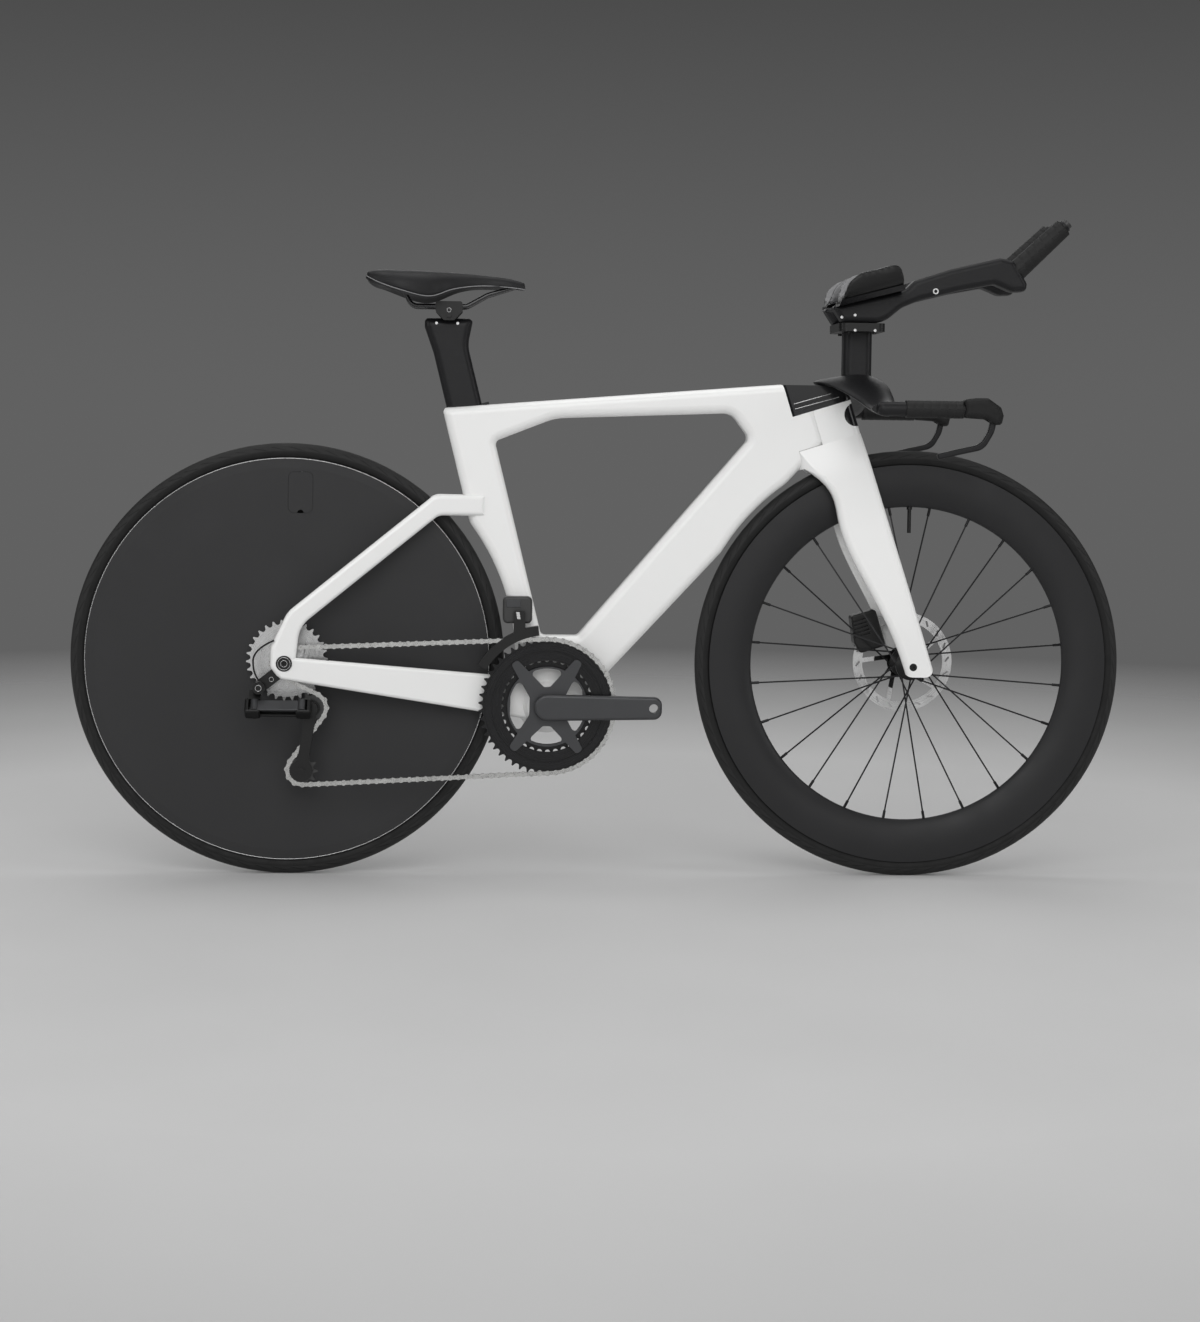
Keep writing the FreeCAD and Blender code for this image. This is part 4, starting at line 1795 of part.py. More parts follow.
def arc_band(inner, outer, start, sweep, low_y, high_y):
    """Part of a flat ring about the bottom bracket."""
    end = start + sweep
    middle = start + sweep / 2
    first = [wheel_point(BB, inner, a, low_y) for a in (start, middle, end)]
    second = [wheel_point(BB, outer, a, low_y) for a in (end, middle, start)]
    edges = [Part.Arc(*first).toShape(), Part.makeLine(first[2], second[0]), Part.Arc(*second).toShape(),
        Part.makeLine(second[2], first[0])]
    return Part.Face(Part.Wire(edges)).extrude(V(0.0, high_y - low_y, 0.0))


def front_derailleur_cage():
    outer = FD_CAGE_INNER + FD_CAGE_DEPTH
    half = FD_CAGE_HALF
    solid = arc_band(FD_CAGE_INNER, outer, FD_CAGE_START, FD_CAGE_SWEEP, RING_Y - half - FD_PLATE,
        RING_Y - half)
    solid = solid.fuse(arc_band(FD_CAGE_INNER, outer, FD_CAGE_START, FD_CAGE_SWEEP, RING_Y + half,
        RING_Y + half + FD_PLATE))
    solid = solid.fuse(arc_band(outer - FD_PLATE, outer, FD_CAGE_START, FD_BRIDGE_SWEEP, RING_Y - half,
        RING_Y + half))
    solid = solid.fuse(arc_band(outer - FD_PLATE, outer, FD_CAGE_START + FD_CAGE_SWEEP - FD_BRIDGE_SWEEP,
        FD_BRIDGE_SWEEP, RING_Y - half, RING_Y + half))
    x = BB.x - FD_SETBACK
    top = BB.z + FD_RISE
    points = [vec(x - FD_LINK_WIDTH / 2, top), vec(x + FD_LINK_WIDTH, top), vec(x + FD_LINK_WIDTH,
        BB.z + FD_CAGE_INNER - FD_CAGE_DEPTH),
              vec(x - FD_LINK_WIDTH / 2, BB.z + FD_CAGE_INNER - FD_CAGE_DEPTH)]
    link = prism(points, [FD_LINK_CORNER, FD_LINK_CORNER, 0.0, 0.0], RING_Y - half - FD_PLATE,
        RING_Y - half)
    link = link.cut(barrel(FD_CAGE_INNER, BB, -TOOL, 0.0))
    link = link.fuse(barrel(FD_PIN_RADIUS, front_derailleur_pin(), RING_Y - half, -FD_OUTER_Y + FD_PIN_DEPTH))
    return max(solid.fuse(link).Solids, key=lambda s: s.Volume)


# Brakes


def pads(centre, y):
    pieces = []
    for side in (-1.0, 1.0):
        near = y + side * (ROTOR_THICK / 2 + PAD_GAP)
        far = y + side * CALIPER_SLOT
        points = [centre + V(-PAD_LENGTH / 2, 0.0, PAD_HEIGHT / 2), centre + V(PAD_LENGTH / 2, 0.0,
            PAD_HEIGHT / 2),
                  centre + V(PAD_LENGTH / 2, 0.0, -PAD_HEIGHT / 2), centre + V(-PAD_LENGTH / 2, 0.0,
                      -PAD_HEIGHT / 2)]
        pieces.append(prism(points, [CALIPER_EDGE] * 4, min(near, far), max(near, far)))
    return pieces


def front_brake_caliper(fork):
    y = FRONT_ROTOR_Y
    middle = steer_point(FORK_RAKE - CALIPER_BACK + CALIPER_DEPTH / 2, CALIPER_RISE + CALIPER_LENGTH / 2)
    fore = STEER_FORE
    up = STEER_UP
    half = CALIPER_LENGTH / 2
    deep = CALIPER_DEPTH / 2
    points = [middle + fore * (deep * a) + up * (half * b) for a, b in CALIPER_OUTLINE_SHARES]
    body = soft_prism(points, [CALIPER_CORNER] * len(points), y - CALIPER_HALF, y + CALIPER_HALF,
        CALIPER_EDGE)
    slot = barrel(FRONT_ROTOR_RADIUS + CALIPER_SLOT, FRONT, y - CALIPER_SLOT, y + CALIPER_SLOT)
    body = body.cut(slot)
    fins = []
    for i in range(FIN_COUNT):
        base = middle + up * (half * (FIN_TOP_SHARE - i / FIN_COUNT))
        outline = ribbon([base + fore * (deep * share) for share in FIN_REACH_SHARES], [FIN_SLOT])
        fins.append(prism(outline, [0.0] * 4, y - CALIPER_HALF, y - CALIPER_HALF + FIN_DEPTH))
    body = body.cut(Part.makeCompound(fins)).cut(fork)
    body = max(body.Solids, key=lambda s: s.Volume)
    seat = steer_point(FORK_RAKE, 0.0) + (middle - steer_point(FORK_RAKE,
        0.0)).normalize() * (FRONT_ROTOR_RADIUS - ROTOR_TRACK / 2)
    return group(body, *pads(seat, y))


def rear_brake_caliper(stays):
    y = REAR_ROTOR_Y
    low = REAR.z - REAR_CALIPER_HEIGHT / 2
    start = REAR.x + REAR_CALIPER_LEAD
    points = [vec(start, low), vec(start + REAR_CALIPER_LENGTH, low), vec(start + REAR_CALIPER_LENGTH,
        REAR.z + REAR_CALIPER_HEIGHT * REAR_CALIPER_FRONT_SHARE),
              vec(start, REAR.z + REAR_CALIPER_HEIGHT)]
    body = soft_prism(points, [CALIPER_CORNER] * len(points), y - CALIPER_HALF, y + CALIPER_HALF,
        CALIPER_EDGE)
    body = body.cut(barrel(REAR_ROTOR_RADIUS + CALIPER_SLOT, REAR, y - CALIPER_SLOT, y + CALIPER_SLOT))
    body = body.cut(stays)
    body = max(body.Solids, key=lambda s: s.BoundBox.ZMax)
    seat = REAR + heading(CALIPER_RISE) * (REAR_ROTOR_RADIUS - ROTOR_TRACK / 2)
    return group(body, *pads(seat, y))


# Fork


def steer_wire(up, rear, front, half, edge):
    return rounded_box_wire(V((rear + front) / 2, 0.0, up), V(1.0, 0.0, 0.0), V(0.0, 1.0, 0.0),
        (front - rear) / 2, half, edge)


def fork_foot():
    """Side outline that rounds off the fork tips, open upwards."""
    level = (vec(FRONT.x, FRONT.z - FORK_FOOT_DROP), 0.0)
    steep = 180.0 - HEAD_ANGLE
    toe = meet((steer_point(FORK_DEPTH, 0.0), steep), level)
    heel = meet((steer_point(FORK_DEPTH * FORK_REAR_SHARES[0], 0.0), steep), level)
    points = [heel, toe, steer_point(FORK_DEPTH, TOOL), steer_point(-TOOL, TOOL),
        steer_point(-TOOL, FORK_FOOT_RISE), steer_point(FORK_DEPTH * FORK_FOOT_REAR_SHARE, FORK_FOOT_RISE)]
    return prism(points, [FORK_FOOT_CORNER, FORK_FOOT_CORNER] + [0.0] * 4, -TOOL, TOOL)


def fork():
    top = HEAD_LOW - SEAM - SEAM
    low = HEAD_LOW - CROWN_HEIGHT
    stations = [HEAD_LOW * share for share in FORK_STATION_SHARES] + [top]
    halves = [FORK_DROPOUT_HALF * share for share in FORK_OUTER_SHARES] + [HALF_FRAME]
    wires = []
    for station, rear, half in zip(stations, FORK_REAR_SHARES, halves):
        wires.append(steer_wire(station, FORK_DEPTH * rear, FORK_DEPTH, half, FORK_EDGE))
    legs = Part.makeLoft(wires, True)
    turning = steer_rod(CROWN_RADIUS, -TOOL, TOOL).fuse(steer_box(0.0, TOOL, TOOL, -TOOL, TOOL))
    heel = steer_rod(CROWN_RADIUS, low, top).common(steer_box(-TOOL, 0.0, HALF_FRAME, low, top))
    solid = legs.common(turning).fuse(heel)
    wires = []
    for share, half in zip(FORK_SLOT_STATION_SHARES, FORK_SLOT_SHARES):
        wires.append(steer_wire(HEAD_LOW * share, -FORK_DEPTH, FORK_DEPTH + FORK_DEPTH,
            FORK_SLOT_HALF * half, 0.0))
    room = Part.makeCylinder(TYRE_RADIUS + TYRE_ROOM, TOOL + TOOL, V(FORK_RAKE, -TOOL, 0.0), V(0.0, 1.0,
        0.0))
    solid = solid.cut(Part.makeLoft(wires, True).common(room))
    nose = [V(NOSE_WRAP, -HALF_FRAME, top), V(FORK_DEPTH, -HALF_FRAME, top), V(FORK_DEPTH, HALF_FRAME,
        top), V(NOSE_WRAP, HALF_FRAME, top)]
    edges = [0.0, FORK_NOSE_EDGE, FORK_NOSE_EDGE, 0.0]
    nose = Part.Face(rounded_wire([p - V(0.0, 0.0, SEAM) for p in nose], edges)).extrude(V(0.0, 0.0,
        HEAD_TOP - top + SEAM))
    nose = nose.cut(steer_rod(HEAD_RADIUS + SEAM + SEAM, top, HEAD_TOP))
    solid = solid.fuse(nose).fuse(steer_rod(STEERER_RADIUS, HEAD_LOW - CROWN_HEIGHT / 2,
        HEAD_TOP + SPACER_HEIGHT * SPACER_COUNT))
    solid = placed(solid, STEER)
    solid = solid.common(fork_foot())
    solid = solid.cut(barrel(FRONT_AXLE_RADIUS, FRONT, -TOOL, TOOL))
    solid = solid.cut(nose_cap_tool())
    return max(solid.Solids, key=lambda s: s.Volume)


def nose_cap_tool():
    return barrel(NOSE_CAP_RADIUS, steer_point(FORK_DEPTH, HEAD_TOP - NOSE_CAP_DROP), -HALF_FRAME - SEAM,
        HALF_FRAME + SEAM)


def nose_cap():
    inset = FORK_NOSE_EDGE
    low = HEAD_LOW
    points = [V(HEAD_RADIUS, -HALF_FRAME, low), V(FORK_DEPTH, -HALF_FRAME, low), V(FORK_DEPTH, HALF_FRAME,
        low), V(HEAD_RADIUS, HALF_FRAME, low)]
    block = Part.Face(rounded_wire(points, [0.0, inset, inset, 0.0])).extrude(V(0.0, 0.0, HEAD_HEIGHT))
    return placed(block, STEER).common(nose_cap_tool())


# Stem and bars


def steer_plan(low, high):
    """Stem plan: round behind the steering axis, flat sided ahead of it."""
    rear = steer_rod(STEM_RADIUS, low, high).common(steer_box(-TOOL, 0.0, STEM_HALF_WIDTH, low, high))
    points = [V(0.0, -STEM_HALF_WIDTH, low), V(STEM_FRONT, -STEM_HALF_WIDTH, low), V(STEM_FRONT,
        STEM_HALF_WIDTH, low), V(0.0, STEM_HALF_WIDTH, low)]
    front = Part.Face(rounded_wire(points, [0.0, FORK_NOSE_EDGE, FORK_NOSE_EDGE, 0.0])).extrude(V(0.0,
        0.0, high - low))
    return rear.fuse(front).removeSplitter()


def stem(bar):
    pieces = []
    low = HEAD_TOP
    for i in range(SPACER_COUNT):
        slab = steer_plan(low, low + SPACER_HEIGHT - SEAM)
        if i == 0:
            slab = slab.cut(steer_rod(STEM_RADIUS + SEAM, low, low + SEAM))
        slab = slab.cut(steer_rod(STEERER_RADIUS, low, low + SPACER_HEIGHT))
        pieces.append(placed(slab, STEER))
        low += SPACER_HEIGHT
    body = placed(steer_plan(low, low + TOOL), STEER)
    body = body.cut(Part.makeBox(TOOL, TOOL, TOOL, V(-TOOL / 2, -TOOL / 2, STEM_TOP_Z)))
    body = body.cut(bar)
    body = max(body.Solids, key=lambda s: s.Volume)
    return group(*pieces, body)


def wing_wire(y, nose, chord, thick, z):
    """Rounded wing section across the base bar."""
    points = [V(nose - chord * a, y, z + thick * b) for a, b in WING_SHARES]
    curve = Part.BSplineCurve()
    curve.interpolate(points, PeriodicFlag=True)
    return Part.Wire(curve.toShape())


def base_bar():
    wires = []
    rows = list(zip(BAR_STATION_SHARES, BAR_NOSE_SHARES, BAR_CHORD_SHARES, BAR_THICK_SHARES,
        BAR_DROP_SHARES))
    for station, nose, chord, thick, drop in rows:
        wires.append(wing_wire(-BAR_HALF_SPAN * station, BAR_X - BAR_CHORD * nose, BAR_CHORD * chord,
            BAR_THICK * thick, BAR_Z - BAR_DROP * drop))
    wing = Part.makeLoft(wires, True)
    tail = bar_tube_start()
    tube = Part.makeCylinder(BAR_TUBE_RADIUS, BAR_TUBE_LENGTH, tail, V(1.0, 0.0, 0.0))
    tube = tube.fuse(Part.makeSphere(BAR_TUBE_RADIUS, tail))
    side = wing.fuse(tube)
    solid = side.fuse(mirrored(side))
    return max(solid.Solids, key=lambda s: s.Volume)


def bar_tube_start():
    last = len(BAR_CHORD_SHARES) - 1
    nose = BAR_X - BAR_CHORD * BAR_NOSE_SHARES[last]
    return V(nose - BAR_CHORD * BAR_CHORD_SHARES[last] / 2, -BAR_HALF_SPAN, BAR_Z - BAR_DROP)


def ridged(start, along, length, root, end, ridges, ridge, bore):
    """Wrapped grip: a taper with one step for each turn of the tape."""
    rows = [(bore, 0.0)]
    for i in range(ridges):
        low = length * i / ridges
        high = length * (i + 1) / ridges
        radius = root + (end - root) * (i + 0.5) / ridges
        rows.append((radius, low))
        rows.append((radius - ridge, high))
    rows.append((bore, length))
    points = [V(r, 0.0, h) for r, h in rows]
    face = Part.Face(Part.makePolygon(points + [points[0]]))
    solid = face.revolve(V(0.0, 0.0, 0.0), V(0.0, 0.0, 1.0), 360.0)
    return placed(solid, FreeCAD.Placement(start, FreeCAD.Rotation(V(0.0, 0.0, 1.0), along)))


def tip_start(side):
    return vec(TIP_X, TIP_Z, EXTENSION_Y * side)


def grips():
    tail = bar_tube_start()
    bar = ridged(tail + V(GRIP_START, 0.0, 0.0), V(1.0, 0.0, 0.0), GRIP_LENGTH, GRIP_RADIUS, GRIP_RADIUS,
        GRIP_RIDGES, GRIP_RIDGE, BAR_TUBE_RADIUS)
    along = heading(TIP_ANGLE)
    tip = ridged(tip_start(-1.0), along, TIP_LENGTH, TIP_ROOT_RADIUS, TIP_END_RADIUS, TIP_RIDGES,
        TIP_RIDGE, TIP_CORE_RADIUS)
    return group(bar, mirrored(bar), tip, mirrored(tip))


def hood_origin():
    tail = bar_tube_start()
    return V(tail.x + GRIP_START + GRIP_LENGTH + SEAM, tail.y, tail.z - HOOD_DROP)


def lever_pivot():
    tail = bar_tube_start()
    base = hood_origin()
    return V(base.x + LEVER_PIVOT_LEAD, tail.y, tail.z - LEVER_PIVOT_DROP)


def brake_hoods():
    base = hood_origin()
    points = shaped(HOOD_OUTLINE_SHARES, base, HOOD_LENGTH, HOOD_HEIGHT)
    half = HOOD_WIDTH / 2
    body = soft_prism(points, [HOOD_CORNER] * len(points), base.y - half, base.y + half, HOOD_EDGE)
    tail = bar_tube_start()
    body = body.cut(Part.makeCylinder(BAR_TUBE_RADIUS, BAR_TUBE_LENGTH, tail, V(1.0, 0.0, 0.0)))
    pivot = lever_pivot()
    slot = Part.makeBox(TOOL, LEVER_SLOT_HALF * 2, TOOL, V(pivot.x - LEVER_SLOT_REACH,
        base.y - LEVER_SLOT_HALF, pivot.z + LEVER_DEPTH - TOOL))
    body = body.cut(slot)
    pin = barrel(LEVER_PIN_RADIUS, pivot, base.y - half + HOOD_EDGE / 2, base.y + half - HOOD_EDGE / 2)
    body = body.fuse(pin)
    body = max(body.Solids, key=lambda s: s.Volume)
    return group(body, mirrored(body))


def brake_lever(side):
    pivot = lever_pivot()
    path = [pivot + V(a * LEVER_REACH, 0.0, b * LEVER_FALL) for a, b in LEVER_PATH_SHARES]
    outline = ribbon(path, [LEVER_DEPTH] * (len(path) - 1))
    inner = list(LEVER_CORNERS)
    half = LEVER_WIDTH / 2
    blade = soft_prism(outline, inner + list(reversed(inner)), pivot.y - half, pivot.y + half, LEVER_EDGE)
    blade = blade.fuse(barrel(LEVER_BOSS_RADIUS, pivot, pivot.y - half, pivot.y + half))
    blade = blade.cut(barrel(LEVER_PIN_RADIUS + RUNNING_FIT, pivot, pivot.y - TOOL, pivot.y + TOOL))
    blade = max(blade.Solids, key=lambda s: s.Volume)
    return blade if side < 0.0 else mirrored(blade)


# Riser, extensions and arm rests


def riser_post(bar):
    wire = rounded_box_wire(V(RISER_X, 0.0, BAR_Z), V(1.0, 0.0, 0.0), V(0.0, 1.0, 0.0), RISER_LENGTH / 2,
        RISER_WIDTH / 2, RISER_CORNER)
    post = Part.Face(wire).extrude(V(0.0, 0.0, RISER_TOP_Z - BAR_Z)).cut(bar)
    return max(post.Solids, key=lambda s: s.BoundBox.ZMax)


def extension_bracket():
    wire = rounded_box_wire(V(RISER_X, 0.0, RISER_TOP_Z), V(1.0, 0.0, 0.0), V(0.0, 1.0, 0.0),
        BRACKET_LENGTH / 2, BRACKET_HALF_WIDTH, BRACKET_CORNER)
    plate = Part.Face(wire).extrude(V(0.0, 0.0, BRACKET_HEIGHT))
    pieces = [plate]
    for x in (-BRACKET_BOLT_LONG, BRACKET_BOLT_LONG):
        for y in (-BRACKET_BOLT_WIDE, BRACKET_BOLT_WIDE):
            at = V(RISER_X + x, y, RISER_TOP_Z - BRACKET_BOLT_RADIUS)
            pieces.append(Part.makeCylinder(BRACKET_BOLT_RADIUS, BRACKET_BOLT_RADIUS, at))
    return group(*pieces)


def extensions():
    points = shaped(EXTENSION_OUTLINE_SHARES, vec(EXTENSION_X, EXTENSION_Z), EXTENSION_LENGTH,
        EXTENSION_HEIGHT)
    corners = [EXTENSION_CORNER * share for share in EXTENSION_CORNER_SHARES]
    half = EXTENSION_WIDTH / 2
    arm = soft_prism(points, corners, -EXTENSION_Y - half, -EXTENSION_Y + half, EXTENSION_EDGE)
    start = tip_start(-1.0)
    along = heading(TIP_ANGLE)
    wrap = rod(start, start + along * TIP_LENGTH, TIP_ROOT_RADIUS + SEAM)
    core = rod(start - along * TIP_SINK, start + along * (TIP_LENGTH + TIP_NOSE), TIP_CORE_RADIUS)
    nest = rod(start + along * (TIP_LENGTH + TIP_NOSE - BUTTON_LENGTH + BUTTON_TRAVEL),
        start + along * (TIP_LENGTH + TIP_NOSE), BUTTON_RADIUS + RUNNING_FIT)
    arm = arm.cut(wrap).fuse(core).cut(nest)
    arm = max(arm.Solids, key=lambda s: s.Volume)
    return group(arm, mirrored(arm))


def shift_button(side):
    start = tip_start(-1.0)
    along = heading(TIP_ANGLE)
    base = start + along * (TIP_LENGTH + TIP_NOSE - BUTTON_LENGTH / 2 + BUTTON_TRAVEL)
    button = rod(base, base + along * BUTTON_LENGTH, BUTTON_RADIUS)
    return button if side < 0.0 else mirrored(button)


def trough_points(along, drop, trim):
    """Open trough section at a place along the arm rest, a closed band between two depths."""
    half = REST_WIDTH / 2
    flat = half * REST_FLOOR_SHARE
    lean = half * REST_LEAN_SHARE
    hip = REST_WALL_HEIGHT * REST_HIP_SHARE
    rows = []
    for inset in (drop, drop + trim):
        side = half - inset
        right = [V(along, -side - lean, REST_WALL_HEIGHT), V(along, -side, hip), V(along, -flat, inset)]
        rows.append(right + [V(p.x, -p.y, p.z) for p in reversed(right)])
    return rows[0] + list(reversed(rows[1]))


def trough(drop, trim, corner, height):
    points = trough_points(-REST_LENGTH / 2, drop, trim)
    radii = [0.0, corner, corner, corner, corner, 0.0, 0.0, corner, corner, corner, corner, 0.0]
    band = Part.Face(rounded_wire(points, radii)).extrude(V(REST_LENGTH, 0.0, 0.0))
    side = shaped(REST_OUTLINE_SHARES, V(0.0, 0.0, 0.0), REST_LENGTH, REST_WALL_HEIGHT)
    band = band.common(prism(side, [REST_WALL_HEIGHT * share for share in REST_CORNER_SHARES], -TOOL, TOOL))
    band = band.common(Part.makeBox(TOOL, TOOL, height, V(-TOOL / 2, -TOOL / 2, 0.0)))
    place = FreeCAD.Placement(V(REST_X, -REST_Y, REST_Z), FreeCAD.Rotation(V(0.0, 1.0, 0.0), -REST_TILT))
    return placed(band, place)


def arm_cups(arms):
    cup = trough(0.0, CUP_SHELL, PAD_FOAM, CUP_WALL_HEIGHT).cut(arms)
    cup = max(cup.Solids, key=lambda s: s.Volume)
    return group(cup, mirrored(cup))


def arm_pads():
    pad = trough(CUP_SHELL + SEAM, PAD_FOAM, PAD_FOAM, REST_WALL_HEIGHT)
    return group(pad, mirrored(pad))


# Build
os.makedirs("parts", exist_ok=True)

NODES = {}
NODES["front_triangle"] = front_triangle()
NODES["right_stays"] = right_stays(NODES["front_triangle"])
NODES["left_stays"] = mirrored(NODES["right_stays"])
NODES["frame_bearings"] = frame_bearings()
NODES["rear_axle"] = rear_axle()
NODES["seatpost_wedge"] = wedge_block(0.0)
NODES["seatpost"] = seatpost()
NODES["shift_battery"] = shift_battery()
NODES["saddle_rails"] = saddle_rails()
NODES["saddle_clamp"] = saddle_clamp()
NODES["saddle_shell"] = saddle_shell()
NODES["saddle_cover"] = saddle_cover()
NODES["front_tyre"] = tyre(FRONT)
NODES["rear_tyre"] = tyre(REAR)
front_rim_solid = front_rim()
NODES["front_rim"] = front_rim_solid
front_spokes_solid = front_spokes()
NODES["front_spokes"] = front_spokes_solid
NODES["front_hub"] = front_hub()
NODES["front_rotor"] = rotor(FRONT, FRONT_ROTOR_RADIUS, FRONT_ROTOR_Y, HUB_RADIUS)
NODES["front_valve"] = valve(FRONT, 90.0)
NODES["front_axle"] = front_axle()
right_shell = disc_shell(DISC_RIGHT_Y_SHARES, -1.0)
NODES["disc_right_shell"] = right_shell.cut(cover_tool(CLEARANCE))
NODES["disc_left_shell"] = disc_shell(DISC_LEFT_Y_SHARES, 1.0)
NODES["valve_cover"] = valve_cover(right_shell)
NODES["rear_hub"] = rear_hub()
NODES["rear_rotor"] = rotor(REAR, REAR_ROTOR_RADIUS, REAR_ROTOR_Y, HUB_RADIUS)
NODES["rear_valve"] = rear_valve()
NODES["cranks"] = cranks()
NODES["big_chainring"] = big_chainring()
NODES["small_chainring"] = small_chainring()
NODES["chainring_bolts"] = chainring_bolts()
NODES["chain"] = chain()
NODES["cassette_cogs"] = cassette_cogs()
NODES["freehub_body"] = freehub_body()
NODES["derailleur_mount"] = derailleur_mount(NODES["right_stays"])
NODES["outer_link"] = swing_link(-LINK_SPREAD)
NODES["inner_link"] = swing_link(LINK_SPREAD)
NODES["lower_knuckle"] = lower_knuckle()
NODES["rear_cage"] = rear_cage()
NODES["guide_pulley"] = pulley(GUIDE, GUIDE_PHASE)
NODES["tension_pulley"] = pulley(TENSION, TENSION_PHASE)
NODES["derailleur_wire"] = derailleur_wire()
NODES["front_derailleur_body"] = front_derailleur_body(NODES["front_triangle"])
NODES["front_derailleur_cage"] = front_derailleur_cage()
NODES["fork"] = fork()
NODES["nose_cap"] = nose_cap()
NODES["front_brake_caliper"] = front_brake_caliper(NODES["fork"])
NODES["rear_brake_caliper"] = rear_brake_caliper(NODES["left_stays"])
NODES["base_bar"] = base_bar()
NODES["stem"] = stem(NODES["base_bar"])
NODES["grips"] = grips()
NODES["brake_hoods"] = brake_hoods()
NODES["right_brake_lever"] = brake_lever(-1.0)
NODES["left_brake_lever"] = brake_lever(1.0)
NODES["riser_post"] = riser_post(NODES["base_bar"])
NODES["extension_bracket"] = extension_bracket()
NODES["extensions"] = extensions()
NODES["right_shift_button"] = shift_button(-1.0)
NODES["left_shift_button"] = shift_button(1.0)
NODES["arm_cups"] = arm_cups(NODES["extensions"])
NODES["arm_pads"] = arm_pads()

for name, shape in NODES.items():
    shape.exportStep("parts/" + name + ".step")
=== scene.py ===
"""Time trial bike: finishes, soft pieces, wire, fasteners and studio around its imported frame."""

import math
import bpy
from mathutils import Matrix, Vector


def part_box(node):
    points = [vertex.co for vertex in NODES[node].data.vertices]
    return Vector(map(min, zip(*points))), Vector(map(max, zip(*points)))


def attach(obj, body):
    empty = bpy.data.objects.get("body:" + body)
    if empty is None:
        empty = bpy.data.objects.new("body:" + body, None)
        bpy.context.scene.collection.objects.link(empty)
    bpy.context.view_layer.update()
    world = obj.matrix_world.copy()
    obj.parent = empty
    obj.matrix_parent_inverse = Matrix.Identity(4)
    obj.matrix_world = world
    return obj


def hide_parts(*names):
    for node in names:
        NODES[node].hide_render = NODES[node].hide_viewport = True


bl_info = {
    "name": "Time Trial Bike",
    "version": (1, 0, 0),
    "blender": (4, 5, 0),
    "location": "3D View > Sidebar > Bike",
    "description": "Dresses the packed time trial bike and sets up its studio",
    "category": "Object",
}

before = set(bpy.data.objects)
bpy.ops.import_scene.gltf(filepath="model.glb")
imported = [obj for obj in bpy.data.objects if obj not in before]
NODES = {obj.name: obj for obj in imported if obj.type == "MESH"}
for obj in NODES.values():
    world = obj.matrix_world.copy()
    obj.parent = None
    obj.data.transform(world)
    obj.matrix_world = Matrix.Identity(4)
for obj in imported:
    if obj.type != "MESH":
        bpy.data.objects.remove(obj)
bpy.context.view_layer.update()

import bmesh
import bpy
from bpy.props import FloatProperty, FloatVectorProperty, IntProperty, PointerProperty
from mathutils import Matrix, Vector
from mathutils.bvhtree import BVHTree

MM = 0.001

SIDES = (("right", -1), ("left", 1))
DRIVE_SIDE = -1
WHEEL_OUT = 0.490
WHEEL_UP = 0.339
REAR_AXLE = (-WHEEL_OUT, WHEEL_UP)
FRONT_AXLE = (WHEEL_OUT, WHEEL_UP)
BOTTOM_BRACKET = (-0.082978, 0.272)
TREAD_EDGE = (0.3262, 0.3276)
SHOULDER_RADIUS = 0.3305
SHOULDER_HALF = 0.0026
CARRIER_RADIUS = 0.046
SKIN_BAND = 4 * MM
# The silver rings on the axle ends are painted highlights of their concentric edges.
REAR_AXLE_HIGHLIGHT_RINGS = (("outer", 9.6 * MM), ("inner", 5.0 * MM))
FRONT_AXLE_HIGHLIGHT_RING = 6.0 * MM
SADDLE_STEPS = 48
SADDLE_STATIONS = (0.0, 0.08, 0.22, 0.4, 0.55, 0.72, 0.9, 1.0)
SADDLE_HALVES = (0.3, 0.42, 0.5, 0.44, 0.27, 0.175, 0.135, 0.09)
SADDLE_TOPS = (0.93, 1.0, 1.0, 0.985, 0.95, 0.88, 0.77, 0.62)
SADDLE_SKIRTS = (0.74, 0.5, 0.22, 0.02, 0.32, 0.46, 0.43, 0.37)
SADDLE_UNDERS = (0.8, 0.72, 0.66, 0.62, 0.6, 0.58, 0.54, 0.48)
SADDLE_CROWN = ((1.0, 0.0), (0.995, 0.24), (0.97, 0.5), (0.88, 0.76), (0.72, 0.91), (0.5, 0.98), (0.25, 0.998))
SADDLE_ARCH = ((0.94, 0.0), (0.75, 0.42), (0.5, 0.75), (0.25, 0.94))
WIRE_ROUTE = ((-0.505, 0.375), (-0.537, 0.361), (-0.537, 0.324), (-0.528, 0.3129))
# Two bright lines along each side of the stem: painted highlights where glossy edges catch the light.
STEM_HIGHLIGHT_LINES = (((0.3003, 0.7492), (0.3294, 0.75785), (0.3585, 0.7665)),
              ((0.302, 0.7414), (0.33665, 0.7513), (0.3713, 0.7612)))
COVER_PLATE = ((-0.1490, 0.4380), (-0.1260, 0.4380), (-0.1260, 0.4265), (-0.1490, 0.4265))
CAGE_BAR = ((-0.1335, 0.4195), (-0.1280, 0.4195), (-0.1262, 0.4085), (-0.1317, 0.4085))
COVER_THICK = 1.0 * MM
LINK_THICK = 0.8 * MM
MOUNT_RINGS = (("upper", (-0.528, 0.302), 1.9), ("hanger", (-0.5095, 0.314), 1.4))
CLAMP_BOLT = (-0.2426, 0.8878)
CLAMP_RING_SHARE = 1.3
POST_BOLTS = ((-0.262, 0.868), (-0.229, 0.868))
EXTENSION_BOLTS = ((0.3672, 0.8844), (0.3875, 0.8878))
BRACKET_BOLTS = ((0.3886, 0.8645), (0.4199, 0.8645))
BOLT_HEIGHT = 1.2 * MM
PLUG_PLACE = (0.5133, 0.9265)
PAD_AXIS = (0.076, 0.9936)
PAD_FINENESS = 1.6
PAD_SMOOTHINGS = 3
PAD_PRESSURE = 4.0
PAD_FRAMES = 20
